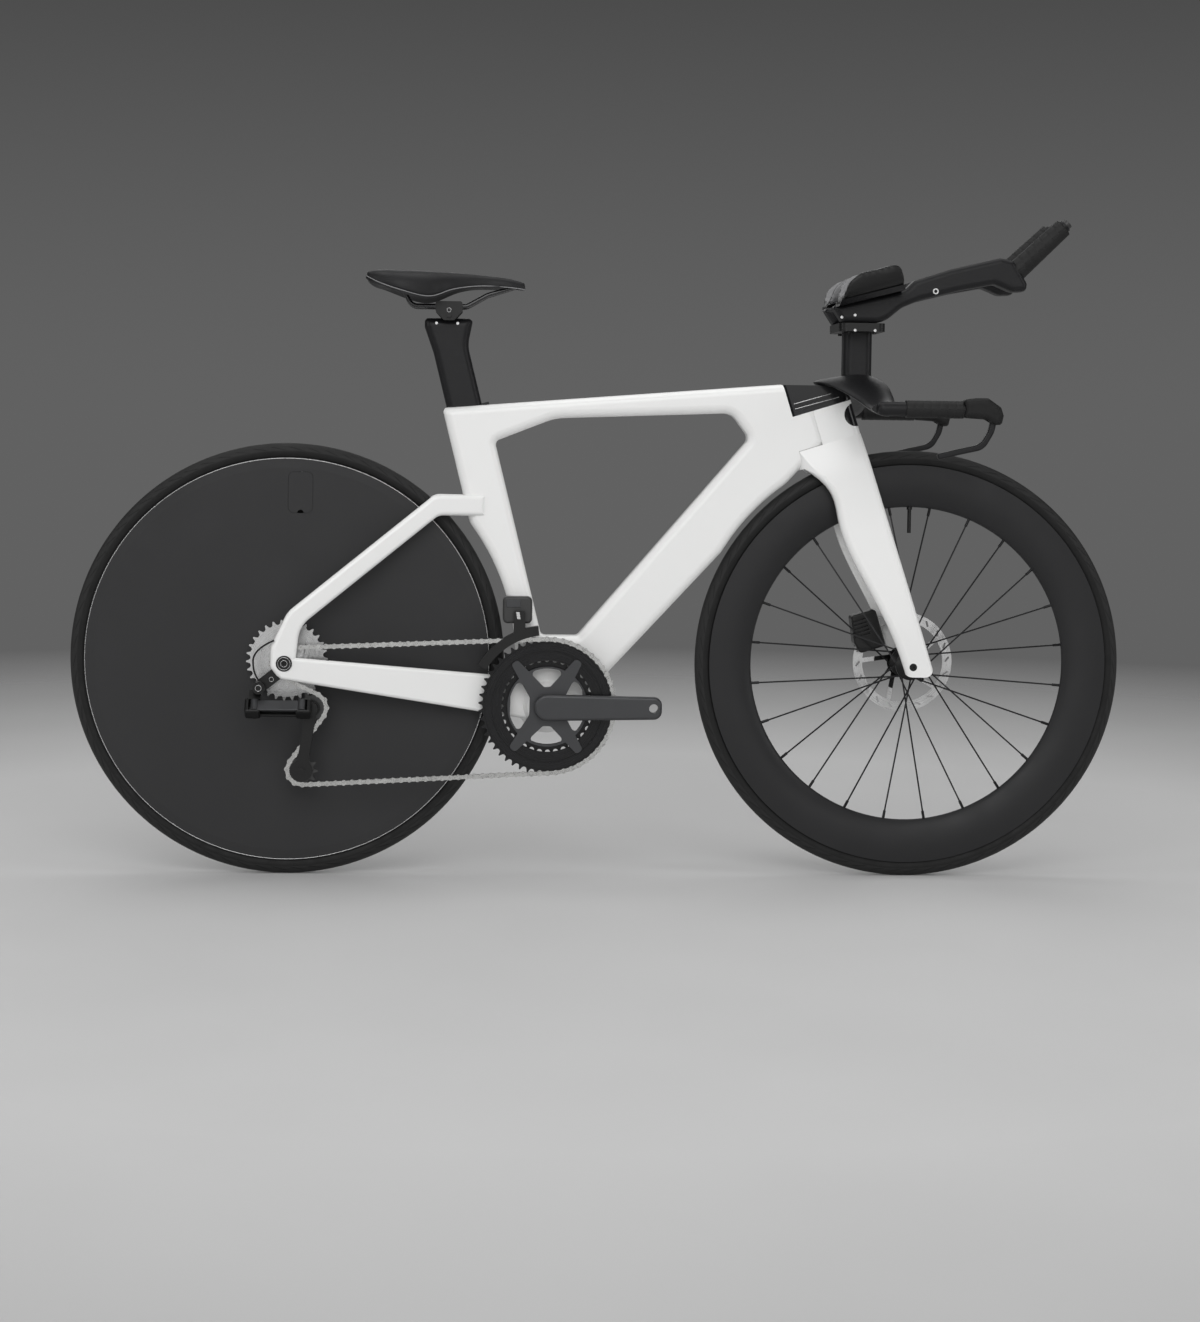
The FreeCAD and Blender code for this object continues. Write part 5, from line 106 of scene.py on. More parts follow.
BAR_TAPE_START = (0.4444, 0.205, 0.741)
TIP_TAPE_START = (0.642, 0.046, 0.960)
TIP_RISE = math.radians(43.5)
TAPE_ROWS = (0.0, 0.06, 0.3, 0.65, 0.92)
TAPE_RISES = (0.3, 0.85, 1.0, 0.96, 0.8)
TAPE_LIP_SHARE = 0.86
TAPE_WELD_GAP = 0.02 * MM
WELD_GAP = 0.01 * MM

SENSOR_WIDTH = 36.0
VIEW_DEPTH = 60.0
FLOOR_SIDES = 96
FLOOR_RINGS = (0.02, 1.2, 3.0)
BACKDROP_TOP = 0.34
LIGHT_AIM = Vector((0.0, 0.0, 0.5))
LIGHTS = (
    ("front_light", (0.2, -5.6, 1.35), (6.4, 2.5), "front_power"),
    ("key_light", (-0.6, -4.2, 3.4), (4.5, 2.6), "key_power"),
    ("top_light", (0.0, 0.4, 4.2), (5.0, 3.0), "top_power"),
    ("left_light", (-4.2, -1.6, 1.8), (1.6, 2.8), "side_power"),
    ("right_light", (4.2, -1.6, 1.8), (1.6, 2.8), "side_power"),
    ("back_light", (0.0, 4.4, 2.6), (4.5, 2.2), "side_power"),
)


# ---- sizes and colours

def length_value(name, description, millimetres):
    """A length in metres that the sidebar shows with its unit."""
    return FloatProperty(name=name, description=description, default=millimetres * MM, min=0.0,
                         unit="LENGTH", subtype="DISTANCE", precision=5)


def tone_value(name, description, colour):
    """A colour that the sidebar shows as a swatch."""
    return FloatVectorProperty(name=name, description=description, default=colour, size=3,
                               min=0.0, max=1.0, subtype="COLOR")


def power_value(name, description, watts):
    """A light's power that the sidebar shows with its unit."""
    return FloatProperty(name=name, description=description, default=watts, min=0.0, unit="POWER")


class BikeSizes(bpy.types.PropertyGroup):
    """Sizes of the soft pieces, the wire and the small trim."""

    saddle_length: length_value("Saddle length", "Tail to nose of the saddle", 247.0)
    saddle_width: length_value("Saddle width", "Widest place of the saddle", 145.0)
    saddle_height: length_value("Saddle height", "Lowest skirt to highest crown", 43.0)
    saddle_edge: length_value("Saddle edge", "Thickness of the edge line round the skirt", 1.6)
    saddle_place: FloatVectorProperty(name="Saddle place", description="Tail end at the lowest skirt",
                                      default=(-0.371, 0.0, 0.906), size=3, subtype="TRANSLATION")
    pad_swell: length_value("Pad swell", "Most that a pad's skin moves as it fills", 2.0)
    pad_voxel: length_value("Pad voxel", "Coarse mesh size of the arm pads", 4.0)
    bar_grip_length: length_value("Bar grip length", "Wound length on each bar end", 87.0)
    bar_grip_radius: length_value("Bar grip radius", "Tape radius on the bar ends", 13.2)
    bar_grip_turns: IntProperty(name="Bar grip turns", description="Turns of tape on a bar end",
                                default=7, min=2)
    tip_grip_length: length_value("Tip grip length", "Wound length on each extension tip", 101.0)
    tip_root_radius: length_value("Tip root radius", "Tape radius at the foot of a tip", 16.5)
    tip_end_radius: length_value("Tip end radius", "Tape radius at the end of a tip", 14.5)
    tip_grip_turns: IntProperty(name="Tip grip turns", description="Turns of tape on a tip",
                                default=7, min=2)
    tape_step: length_value("Tape step", "Height of each lap of tape", 0.6)
    wire_diameter: length_value("Wire diameter", "Jacket of the gear wire", 2.8)
    wire_length: length_value("Wire length", "Gear wire from stay to derailleur", 80.0)
    # The bright line on the disc wheel is a painted highlight of its outer edge.
    rim_line_radius: length_value("Rim line radius", "Circle of the bright line on the disc wheel", 315.2)
    rim_line_width: length_value("Rim line width", "Thickness of that line", 1.2)
    # The bright stem lines are painted highlights.
    stem_line_width: length_value("Stem line width", "Thickness of the bright lines on the stem", 1.3)
    plug_radius: length_value("Plug radius", "Pale ring on each extension", 3.6)
    plug_width: length_value("Plug width", "Thickness of that ring", 2.2)
    # Thickness of the real bright rings on mount and clamp, and of the painted highlight rings on the axle
    # ends.
    axle_ring_width: length_value("Axle ring width", "Thickness of the bright rings on axle ends", 0.9)
    bolt_radius: length_value("Bolt radius", "Head of a small cap screw", 2.4)


class BikeTones(bpy.types.PropertyGroup):
    """Base colours of the finishes."""

    white: tone_value("White paint", "Frame and fork", (0.80, 0.80, 0.80))
    gloss_black: tone_value("Gloss black", "Stem, nose cap and saddle rails", (0.007, 0.007, 0.008))
    carbon: tone_value("Carbon", "Bars, post and extensions", (0.008, 0.008, 0.009))
    disc: tone_value("Disc wheel", "Skin of the disc wheel", (0.030, 0.030, 0.031))
    rim: tone_value("Front rim", "Skin of the deep rim", (0.018, 0.018, 0.019))
    tread: tone_value("Tread", "Running band of the tyres", (0.018, 0.018, 0.018))
    sidewall: tone_value("Sidewall", "Flanks of the tyres", (0.008, 0.008, 0.008))
    silver: tone_value("Silver", "Cogs, rotors, bolts and bright trim", (0.62, 0.62, 0.62))
    steel: tone_value("Chain steel", "Chain plates", (0.5, 0.5, 0.49))
    anodised: tone_value("Black alloy", "Chainrings, hubs, spokes, calipers and cages", (0.007, 0.007, 0.008))
    crank: tone_value("Crank", "Crank arms, outer link and derailleur cover", (0.062, 0.063, 0.066))
    rubber: tone_value("Rubber", "Lever hoods and gear wire", (0.009, 0.009, 0.009))
    tape: tone_value("Tape", "Wound grips", (0.012, 0.012, 0.012))
    saddle: tone_value("Saddle skin", "Saddle cover", (0.012, 0.012, 0.013))
    pad: tone_value("Pad skin", "Outside of the arm pads", (0.008, 0.008, 0.008))
    # The lining tone is also used as painted light on the pad walls that face the middle of the bike.
    lining: tone_value("Pad lining", "Inside of the arm pads and edge of the saddle", (0.22, 0.22, 0.225))
    plastic: tone_value("Plastic", "Front derailleur body, pulleys, battery and buttons", (0.014, 0.014, 0.015))
    plug: tone_value("Pale plug", "Ring on each extension", (0.72, 0.72, 0.72))


class BikeStudio(bpy.types.PropertyGroup):
    """Camera, floor and lights."""

    camera_place: FloatVectorProperty(name="Camera place", description="Where the camera stands",
                                      default=(-0.1970, -3.7875, 0.6896), size=3, subtype="TRANSLATION")
    camera_turn: FloatVectorProperty(name="Camera turn", description="Pitch, roll and yaw of the camera",
                                     default=(-0.0501, -0.0130, -0.0517), size=3, subtype="EULER")
    camera_lens: FloatProperty(name="Lens", description="Focal length in millimetres", default=65.443, min=1.0)
    camera_shift: FloatProperty(name="Lens shift", description="Upright shift of the lens", default=-0.0764)
    floor_tone: tone_value("Floor", "Pale studio floor", (0.56, 0.56, 0.56))
    floor_radius: FloatProperty(name="Floor radius", description="Size of the floor", default=9.0,
                                unit="LENGTH", subtype="DISTANCE")
    low_tone: tone_value("Low backdrop", "Backdrop near the floor", (0.12, 0.12, 0.12))
    high_tone: tone_value("High backdrop", "Backdrop above", (0.03, 0.03, 0.03))
    ambient: FloatProperty(name="Ambient", description="Strength of the even light", default=0.26, min=0.0)
    front_power: power_value("Front", "Power of the wide light behind the camera", 62.0)
    key_power: power_value("Key", "Power of the large front light", 95.0)
    top_power: power_value("Top", "Power of the light overhead", 70.0)
    side_power: power_value("Side", "Power of each side light and the back light", 30.0)


# ---- finishes

class Finish:
    """Builds one finish from nodes in the piece's own coordinates."""

    def __init__(self, name):
        self.material = bpy.data.materials.new(name)
        self.material.use_nodes = True
        self.nodes = self.material.node_tree.nodes
        self.links = self.material.node_tree.links
        self.shader = self.nodes["Principled BSDF"]
        self.place = self.nodes.new("ShaderNodeTexCoord").outputs["Object"]

    def put(self, socket, value):
        """Links a socket, or sets the value that is the same all over."""
        if isinstance(value, bpy.types.NodeSocket):
            self.links.new(value, socket)
        else:
            socket.default_value = value

    def calc(self, operation, *values):
        node = self.nodes.new("ShaderNodeMath")
        node.operation = operation
        for socket, value in zip(node.inputs, values):
            self.put(socket, value)
        return node.outputs[0]

    def stretched(self, scale):
        node = self.nodes.new("ShaderNodeMapping")
        node.inputs["Scale"].default_value = scale
        self.put(node.inputs["Vector"], self.place)
        return node.outputs[0]

    def joined(self, x, y, z):
        node = self.nodes.new("ShaderNodeCombineXYZ")
        for socket, value in zip(node.inputs, (x, y, z)):
            self.put(socket, value)
        return node.outputs[0]

    def noise(self, scale, detail=3.0, vector=None):
        node = self.nodes.new("ShaderNodeTexNoise")
        self.put(node.inputs["Vector"], vector or self.place)
        node.inputs["Scale"].default_value = scale
        node.inputs["Detail"].default_value = detail
        return node.outputs[0]

    def cells(self, scale, vector=None):
        node = self.nodes.new("ShaderNodeTexVoronoi")
        self.put(node.inputs["Vector"], vector or self.place)
        node.inputs["Scale"].default_value = scale
        return node.outputs["Distance"]

    def spread(self, value, from_low, from_high, low, high):
        node = self.nodes.new("ShaderNodeMapRange")
        self.put(node.inputs["Value"], value)
        for name, number in zip(("From Min", "From Max", "To Min", "To Max"), (from_low, from_high, low, high)):
            node.inputs[name].default_value = number
        return node.outputs[0]

    def between(self, share, first, second):
        node = self.nodes.new("ShaderNodeMix")
        node.data_type = "RGBA"
        self.put(node.inputs[0], share)
        for socket, colour in ((node.inputs[6], first), (node.inputs[7], second)):
            self.put(socket, colour if isinstance(colour, bpy.types.NodeSocket) else (*colour, 1.0))
        return node.outputs[2]

    def polar(self, centre, mirrored=False):
        """Distance from an axle and the angle about it."""
        node = self.nodes.new("ShaderNodeSeparateXYZ")
        self.put(node.inputs[0], self.place)
        along, up = node.outputs[0], node.outputs[2]
        if mirrored:
            along = self.calc("ABSOLUTE", along)
        along = self.calc("SUBTRACT", along, centre[0])
        up = self.calc("SUBTRACT", up, centre[1])
        squares = self.calc("MULTIPLY", along, along), self.calc("MULTIPLY", up, up)
        far = self.calc("SQRT", self.calc("ADD", *squares))
        return far, self.calc("ARCTAN2", up, along)

    def colour(self, value):
        self.put(self.shader.inputs["Base Color"], value)

    def rough(self, value):
        self.put(self.shader.inputs["Roughness"], value)

    def raise_by(self, height, strength, depth):
        node = self.nodes.new("ShaderNodeBump")
        node.inputs["Strength"].default_value = strength
        node.inputs["Distance"].default_value = depth
        self.put(node.inputs["Height"], height)
        self.links.new(node.outputs[0], self.shader.inputs["Normal"])

    def constant(self, **values):
        for name, value in values.items():
            self.shader.inputs[name.replace("_", " ").title().replace("Ior", "IOR")].default_value = value


def shaded(tone, share):
    return tuple(min(1.0, part * share) for part in tone)


def plain_finish(name, tone, rough, swing=0.06, vary=0.12, vary_scale=14.0, grain=900.0, depth=0.03,
                 stretch=None, cells=False, **constants):
    """A finish with a drifting tone, uneven gloss and a fine surface grain."""
    made = Finish(name)
    vector = made.stretched(stretch) if stretch else made.place
    drift = made.noise(vary_scale, 4.0, vector)
    fine = made.cells(grain, vector) if cells else made.noise(grain, 2.0, vector)
    blend = made.calc("ADD", made.calc("MULTIPLY", drift, 0.75), made.calc("MULTIPLY", fine, 0.25))
    made.colour(made.between(blend, shaded(tone, 1.0 - vary), shaded(tone, 1.0 + vary)))
    made.rough(made.spread(made.noise(vary_scale * 2.6, 5.0, vector), 0.3, 0.7, rough - swing, rough + swing))
    made.raise_by(fine, depth, 0.0004)
    made.constant(**constants)


def tyre_finish(name, tones):
    """Smooth running band, slanted shoulder marks and a darker threaded flank."""
    made = Finish(name)
    far, angle = made.polar(FRONT_AXLE, mirrored=True)
    band = made.spread(far, *TREAD_EDGE, 0.0, 1.0)
    wear = made.noise(55.0, 6.0)
    tread = made.between(wear, shaded(tones.tread, 0.75), shaded(tones.tread, 1.3))
    flank = made.between(made.noise(24.0, 4.0), shaded(tones.sidewall, 0.8), shaded(tones.sidewall, 1.3))
    base = made.between(band, flank, tread)
    slant = made.calc("ADD", made.calc("MULTIPLY", angle, 74.0), made.calc("MULTIPLY", far, 900.0))
    marks = made.calc("GREATER_THAN", made.calc("SINE", slant), 0.86)
    off_shoulder = made.calc("ABSOLUTE", made.calc("SUBTRACT", far, SHOULDER_RADIUS))
    shoulder = made.calc("LESS_THAN", off_shoulder, SHOULDER_HALF)
    marks = made.calc("MULTIPLY", marks, shoulder)
    made.colour(made.between(marks, base, shaded(tones.sidewall, 0.7)))
    lay = made.calc("ADD", made.calc("MULTIPLY", far, 9.0), angle)
    threads = made.calc("SINE", made.calc("MULTIPLY", lay, 900.0))
    grain = made.calc("MULTIPLY", made.noise(1500.0, 3.0), 0.6)
    relief = made.calc("ADD", grain, made.calc("MULTIPLY", threads, 0.06))
    made.raise_by(made.calc("SUBTRACT", relief, made.calc("MULTIPLY", marks, 0.9)), 0.18, 0.0006)
    made.rough(made.spread(wear, 0.3, 0.7, 0.52, 0.7))
    made.constant(specular_ior_level=0.28)


def turned_finish(name, tone, centre, rough, mirrored=False, dark=0.75, rings=1700.0, carrier=None,
                  **constants):
    """Metal with fine marks that run round an axle, and a dark middle where a carrier radius is given."""
    made = Finish(name)
    far, angle = made.polar(centre, mirrored)
    turned = made.joined(made.calc("MULTIPLY", far, rings), made.calc("MULTIPLY", angle, 2.0), 0.0)
    marks = made.noise(1.0, 3.0, turned)
    drift = made.noise(45.0, 4.0)
    blend = made.calc("MULTIPLY", made.calc("ADD", marks, drift), 0.5)
    base = made.between(blend, shaded(tone, dark), shaded(tone, 1.12))
    if carrier:
        base = made.between(made.calc("LESS_THAN", far, carrier), base, shaded(tone, 0.03))
    made.colour(base)
    made.rough(made.spread(marks, 0.3, 0.7, rough - 0.08, rough + 0.1))
    made.raise_by(marks, 0.12, 0.0003)
    made.constant(**constants)


def tape_finish(name, tone):
    """Cushioned tape with rows of small punched holes."""
    made = Finish(name)
    holes = made.spread(made.cells(900.0), 0.05, 0.24, 0.0, 1.0)
    grain = made.noise(1400.0, 4.0)
    base = made.between(made.noise(60.0, 4.0), shaded(tone, 0.75), shaded(tone, 1.4))
    made.colour(made.between(holes, shaded(tone, 0.55), base))
    made.rough(made.spread(grain, 0.3, 0.7, 0.48, 0.66))
    made.raise_by(made.calc("ADD", holes, made.calc("MULTIPLY", grain, 0.4)), 0.06, 0.0003)
    made.constant(specular_ior_level=0.3)


def pad_finish(name, tones):
    """Smooth dark skin, with a pale lining on what faces the arm, and the same pale tone as painted light on
    what faces the middle of the bike.
    """
    made = Finish(name)
    parts, facing = made.nodes.new("ShaderNodeSeparateXYZ"), made.nodes.new("ShaderNodeSeparateXYZ")
    made.put(parts.inputs[0], made.place)
    made.put(facing.inputs[0], made.place.node.outputs["Normal"])
    out = made.calc("MULTIPLY", facing.outputs[1], made.calc("SIGN", parts.outputs[1]))
    across = made.calc("SUBTRACT", PAD_AXIS[0], made.calc("ABSOLUTE", parts.outputs[1]))
    over = made.calc("SUBTRACT", PAD_AXIS[1], parts.outputs[2])
    squares = made.calc("MULTIPLY", across, across), made.calc("MULTIPLY", over, over)
    far = made.calc("SQRT", made.calc("ADD", *squares))
    shares = made.calc("MULTIPLY", out, across), made.calc("MULTIPLY", facing.outputs[2], over)
    toward = made.calc("ADD", *shares)
    inside = made.spread(made.calc("DIVIDE", toward, far), 0.4, 0.5, 0.0, 1.0)
    # Walls that face the middle of the bike get the pale lining tone as painted light.
    middle = made.spread(out, -0.3, -0.4, 0.0, 1.0)
    lining_and_painted_light = made.calc("MAXIMUM", inside, middle)
    drift, fine = made.noise(40.0, 4.0), made.noise(1500.0, 2.0)
    skin_tone = made.between(drift, shaded(tones.pad, 0.7), shaded(tones.pad, 1.3))
    lining_tone = made.between(drift, shaded(tones.lining, 0.94), shaded(tones.lining, 1.06))
    made.colour(made.between(lining_and_painted_light, skin_tone, lining_tone))
    made.rough(made.spread(lining_and_painted_light, 0.0, 1.0, 0.42, 0.85))
    made.raise_by(fine, 0.08, 0.0004)
    made.constant(specular_ior_level=0.35)


PLAIN_FINISHES = (
    ("white_paint", "white", 0.3,
     dict(swing=0.05, vary=0.02, vary_scale=5.0, grain=320.0, depth=0.012, coat_weight=0.55,
          coat_roughness=0.06)),
    ("gloss_black", "gloss_black", 0.2,
     dict(vary=0.25, grain=420.0, depth=0.02, specular_ior_level=0.25, coat_weight=0.2,
          coat_roughness=0.06)),
    ("satin_carbon", "carbon", 0.44,
     dict(vary=0.3, vary_scale=9.0, grain=60.0, depth=0.05, stretch=(4.0, 26.0, 26.0),
          specular_ior_level=0.3)),
    ("rail_carbon", "gloss_black", 0.26,
     dict(vary=0.3, grain=60.0, depth=0.03, stretch=(5.0, 24.0, 24.0), coat_weight=0.5)),
    ("disc_skin", "disc", 0.5,
     dict(swing=0.05, vary=0.14, vary_scale=7.0, grain=700.0, depth=0.04, specular_ior_level=0.25)),
    ("rim_skin", "rim", 0.46,
     dict(swing=0.06, vary=0.2, vary_scale=9.0, grain=640.0, depth=0.05, specular_ior_level=0.3)),
    ("chain_steel", "steel", 0.3,
     dict(swing=0.12, vary=0.3, vary_scale=90.0, grain=1600.0, depth=0.06, metallic=1.0)),
    ("silver_alloy", "silver", 0.28,
     dict(swing=0.08, vary=0.15, vary_scale=60.0, grain=1300.0, depth=0.04, metallic=1.0)),
    ("black_alloy", "anodised", 0.34,
     dict(swing=0.08, vary=0.3, vary_scale=40.0, grain=1200.0, depth=0.05, specular_ior_level=0.35)),
    ("crank_satin", "crank", 0.38,
     dict(swing=0.05, vary=0.14, vary_scale=18.0, grain=1100.0, depth=0.03, metallic=0.6)),
    ("spoke_black", "anodised", 0.38, dict(vary=0.3, vary_scale=60.0, grain=1400.0, metallic=0.4)),
    ("hood_rubber", "rubber", 0.6,
     dict(vary=0.3, vary_scale=30.0, grain=620.0, depth=0.22, cells=True, specular_ior_level=0.3)),
    ("plastic", "plastic", 0.45,
     dict(vary=0.2, vary_scale=40.0, grain=1500.0, depth=0.08, specular_ior_level=0.35)),
    ("saddle_skin", "saddle", 0.5,
     dict(swing=0.07, vary=0.25, vary_scale=26.0, grain=1100.0, depth=0.16, cells=True,
          specular_ior_level=0.3)),
    ("edge_trim", "lining", 0.45, dict(vary=0.12, vary_scale=70.0, grain=1400.0, depth=0.05)),
    ("bolt_steel", "silver", 0.36, dict(vary=0.12, vary_scale=120.0, grain=2000.0, metallic=1.0)),
    ("plug_pale", "plug", 0.5, dict(vary=0.06, vary_scale=90.0, grain=1500.0, depth=0.05)),
)


def make_finishes(tones):
    """Makes every finish of the bike under its plain name."""
    for name, tone, rough, rest in PLAIN_FINISHES:
        plain_finish(name, getattr(tones, tone), rough, **rest)
    tyre_finish("tyre_rubber", tones)
    turned_finish("cog_silver", tones.silver, REAR_AXLE, 0.3, metallic=1.0)
    turned_finish("rotor_silver", tones.silver, FRONT_AXLE, 0.3, mirrored=True, carrier=CARRIER_RADIUS,
                  metallic=1.0)
    turned_finish("ring_black", tones.anodised, BOTTOM_BRACKET, 0.26, dark=0.6, rings=900.0,
                  specular_ior_level=0.3, coat_weight=0.12, coat_roughness=0.12)
    tape_finish("bar_tape", tones.tape)
    pad_finish("pad_cover", tones)


def finish_named(name):
    made = bpy.data.materials.get(name)
    if made is None:
        raise RuntimeError(f"the finish {name} has not been made yet")
    return made


def dress(finish, *nodes):
    """Gives CAD nodes their finish."""
    for node in nodes:
        slots = NODES[node].data.materials
        slots.clear()
        slots.append(finish_named(finish))


# ---- mesh helpers

def placed(name, data):
    """A new object of the scene that shows the data."""
    piece = bpy.data.objects.new(name, data)
    bpy.context.scene.collection.objects.link(piece)
    return piece


def mesh_piece(name, points, faces, finish, smooth=True):
    """A piece from points and faces, with its finish."""
    mesh = bpy.data.meshes.new(name)
    mesh.from_pydata([tuple(p) for p in points], [], faces)
    mesh.validate()
    shape = bmesh.new()
    shape.from_mesh(mesh)
    bmesh.ops.recalc_face_normals(shape, faces=shape.faces)
    shape.to_mesh(mesh)
    shape.free()
    if smooth:
        mesh.shade_smooth()
    else:
        mesh.shade_flat()
    mesh.materials.append(finish_named(finish))
    return placed(name, mesh)


def skin(rows, closed_ends=True):
    """Points and faces of a skin over equal rows of points."""
    count = len(rows[0])
    points = [p for row in rows for p in row]
    faces = []
    for i in range(len(rows) - 1):
        for j in range(count):
            k = (j + 1) % count
            faces.append((i * count + j, i * count + k, (i + 1) * count + k, (i + 1) * count + j))
    if closed_ends:
        faces.append(tuple(range(count)))
        faces.append(tuple(range((len(rows) - 1) * count, len(rows) * count)))
    return points, faces


def hoop(centre, radius, thick, around=10, segments=240):
    """A thin ring about an axle that runs along Y."""
    rows = []
    for i in range(segments):
        turn = 2 * math.pi * i / segments
        out = Vector((math.cos(turn), 0.0, math.sin(turn)))
        row = []
        for j in range(around):
            lean = 2 * math.pi * j / around
            sideways = Vector((0.0, thick / 2 * math.sin(lean), 0.0))
            row.append(centre + out * (radius + thick / 2 * math.cos(lean)) + sideways)
        rows.append(row)
    rows.append(rows[0])
    points, faces = skin(rows, closed_ends=False)
    total = segments * around
    return points[:total], [tuple(v % total for v in face) for face in faces]


def smooth_between(places, values, at):
    """A smooth curve through the values, read at one place."""
    last = len(places) - 2
    i = max(0, min(last, next((k for k in range(last + 1) if at <= places[k + 1]), last)))
    span = places[i + 1] - places[i]
    t = (at - places[i]) / span
    low, high = max(i - 1, 0), min(i + 2, last + 1)
    before = (values[i + 1] - values[low]) / (places[i + 1] - places[low])
    after = (values[high] - values[i]) / (places[high] - places[i])
    rise = values[i + 1] - values[i]
    return (values[i] + before * span * t + (3 * rise - (2 * before + after) * span) * t * t
            + ((before + after) * span - 2 * rise) * t ** 3)


def line_piece(name, points, thick, finish, closed=False):
    """A smooth round line on a spline."""
    curve = bpy.data.curves.new(name, "CURVE")
    curve.dimensions = "3D"
    curve.bevel_depth = thick / 2
    curve.bevel_resolution = 4
    curve.use_fill_caps = True
    spline = curve.splines.new("NURBS")
    spline.points.add(len(points) - 1)
    for point, place in zip(spline.points, points):
        point.co = (*place, 1.0)
    spline.order_u = 3
    spline.use_cyclic_u = closed
    spline.use_endpoint_u = not closed
    spline.resolution_u = 12
    curve.materials.append(finish_named(finish))
    return placed(name, curve)


def cap_screw(name, place, axis, radius, height, finish, segments=24):
    """A round bolt head with a bevelled rim and a hexagon socket."""
    axis = Vector(axis).normalized()
    turn = Vector((0.0, 0.0, 1.0)).rotation_difference(axis).to_matrix()
    bevel, flat = radius * 0.14, radius * 0.5
    rows = []
    for rise, reach, sided in ((0.0, radius, False), (height - bevel, radius, False),
                               (height, radius - bevel, False), (height, flat, True),
                               (height * 0.35, flat * 0.98, True)):
        row = []
        for i in range(segments):
            angle = 2 * math.pi * i / segments
            part = (angle % (math.pi / 3)) - math.pi / 6
            far = reach / math.cos(part) if sided else reach
            row.append(Vector(place) + turn @ Vector((far * math.cos(angle), far * math.sin(angle), rise)))
        rows.append(row)
    points, faces = skin(rows)
    return mesh_piece(name, points, faces, finish, smooth=False)


def face_under(node, x, z, side):
    """Place of a CAD piece's outer face at one point, met from one side."""
    mesh = NODES[node].data
    tree = BVHTree.FromPolygons([v.co for v in mesh.vertices], [tuple(p.vertices) for p in mesh.polygons])
    place = tree.ray_cast(Vector((x, side, z)), Vector((0.0, -side, 0.0)))[0]
    if place is None:
        raise RuntimeError(f"{node} has no face at {x}, {z}")
    return place


def flat_plate(name, outline, side, thick, finish):
    """A thin plate with a bevelled rim over an outline on a side face."""
    middle = sum(outline, Vector()) / len(outline)
    out = Vector((0.0, side, 0.0))
    rows = [[p - out * thick for p in outline], [p + out * thick * 0.5 for p in outline],
            [p + (middle - p) * 0.08 + out * thick for p in outline]]
    points, faces = skin(rows)
    return mesh_piece(name, points, faces, finish, smooth=False)


def fitted(piece, body):
    """Lets a finished piece of trim ride on its body."""
    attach(piece, body)


def ring_piece(name, node, centre, side, radius, thick, finish, body):
    """A thin ring laid on the outer face of a CAD piece."""
    x, z = centre
    place = face_under(node, x + radius, z, side)
    points, faces = hoop(Vector((x, place.y, z)), radius, thick, segments=48)
    fitted(mesh_piece(name, points, faces, finish), body)


def bolts_on(node, places, name, side, radius, body):
    """Cap screws on one side face of a CAD piece."""
    for number, (x, z) in enumerate(places, 1):
        place = face_under(node, x, z, side)
        piece = cap_screw(f"{name}_{number}", place, (0.0, side, 0.0), radius, BOLT_HEIGHT, "bolt_steel")
        fitted(piece, body)


# ---- operators

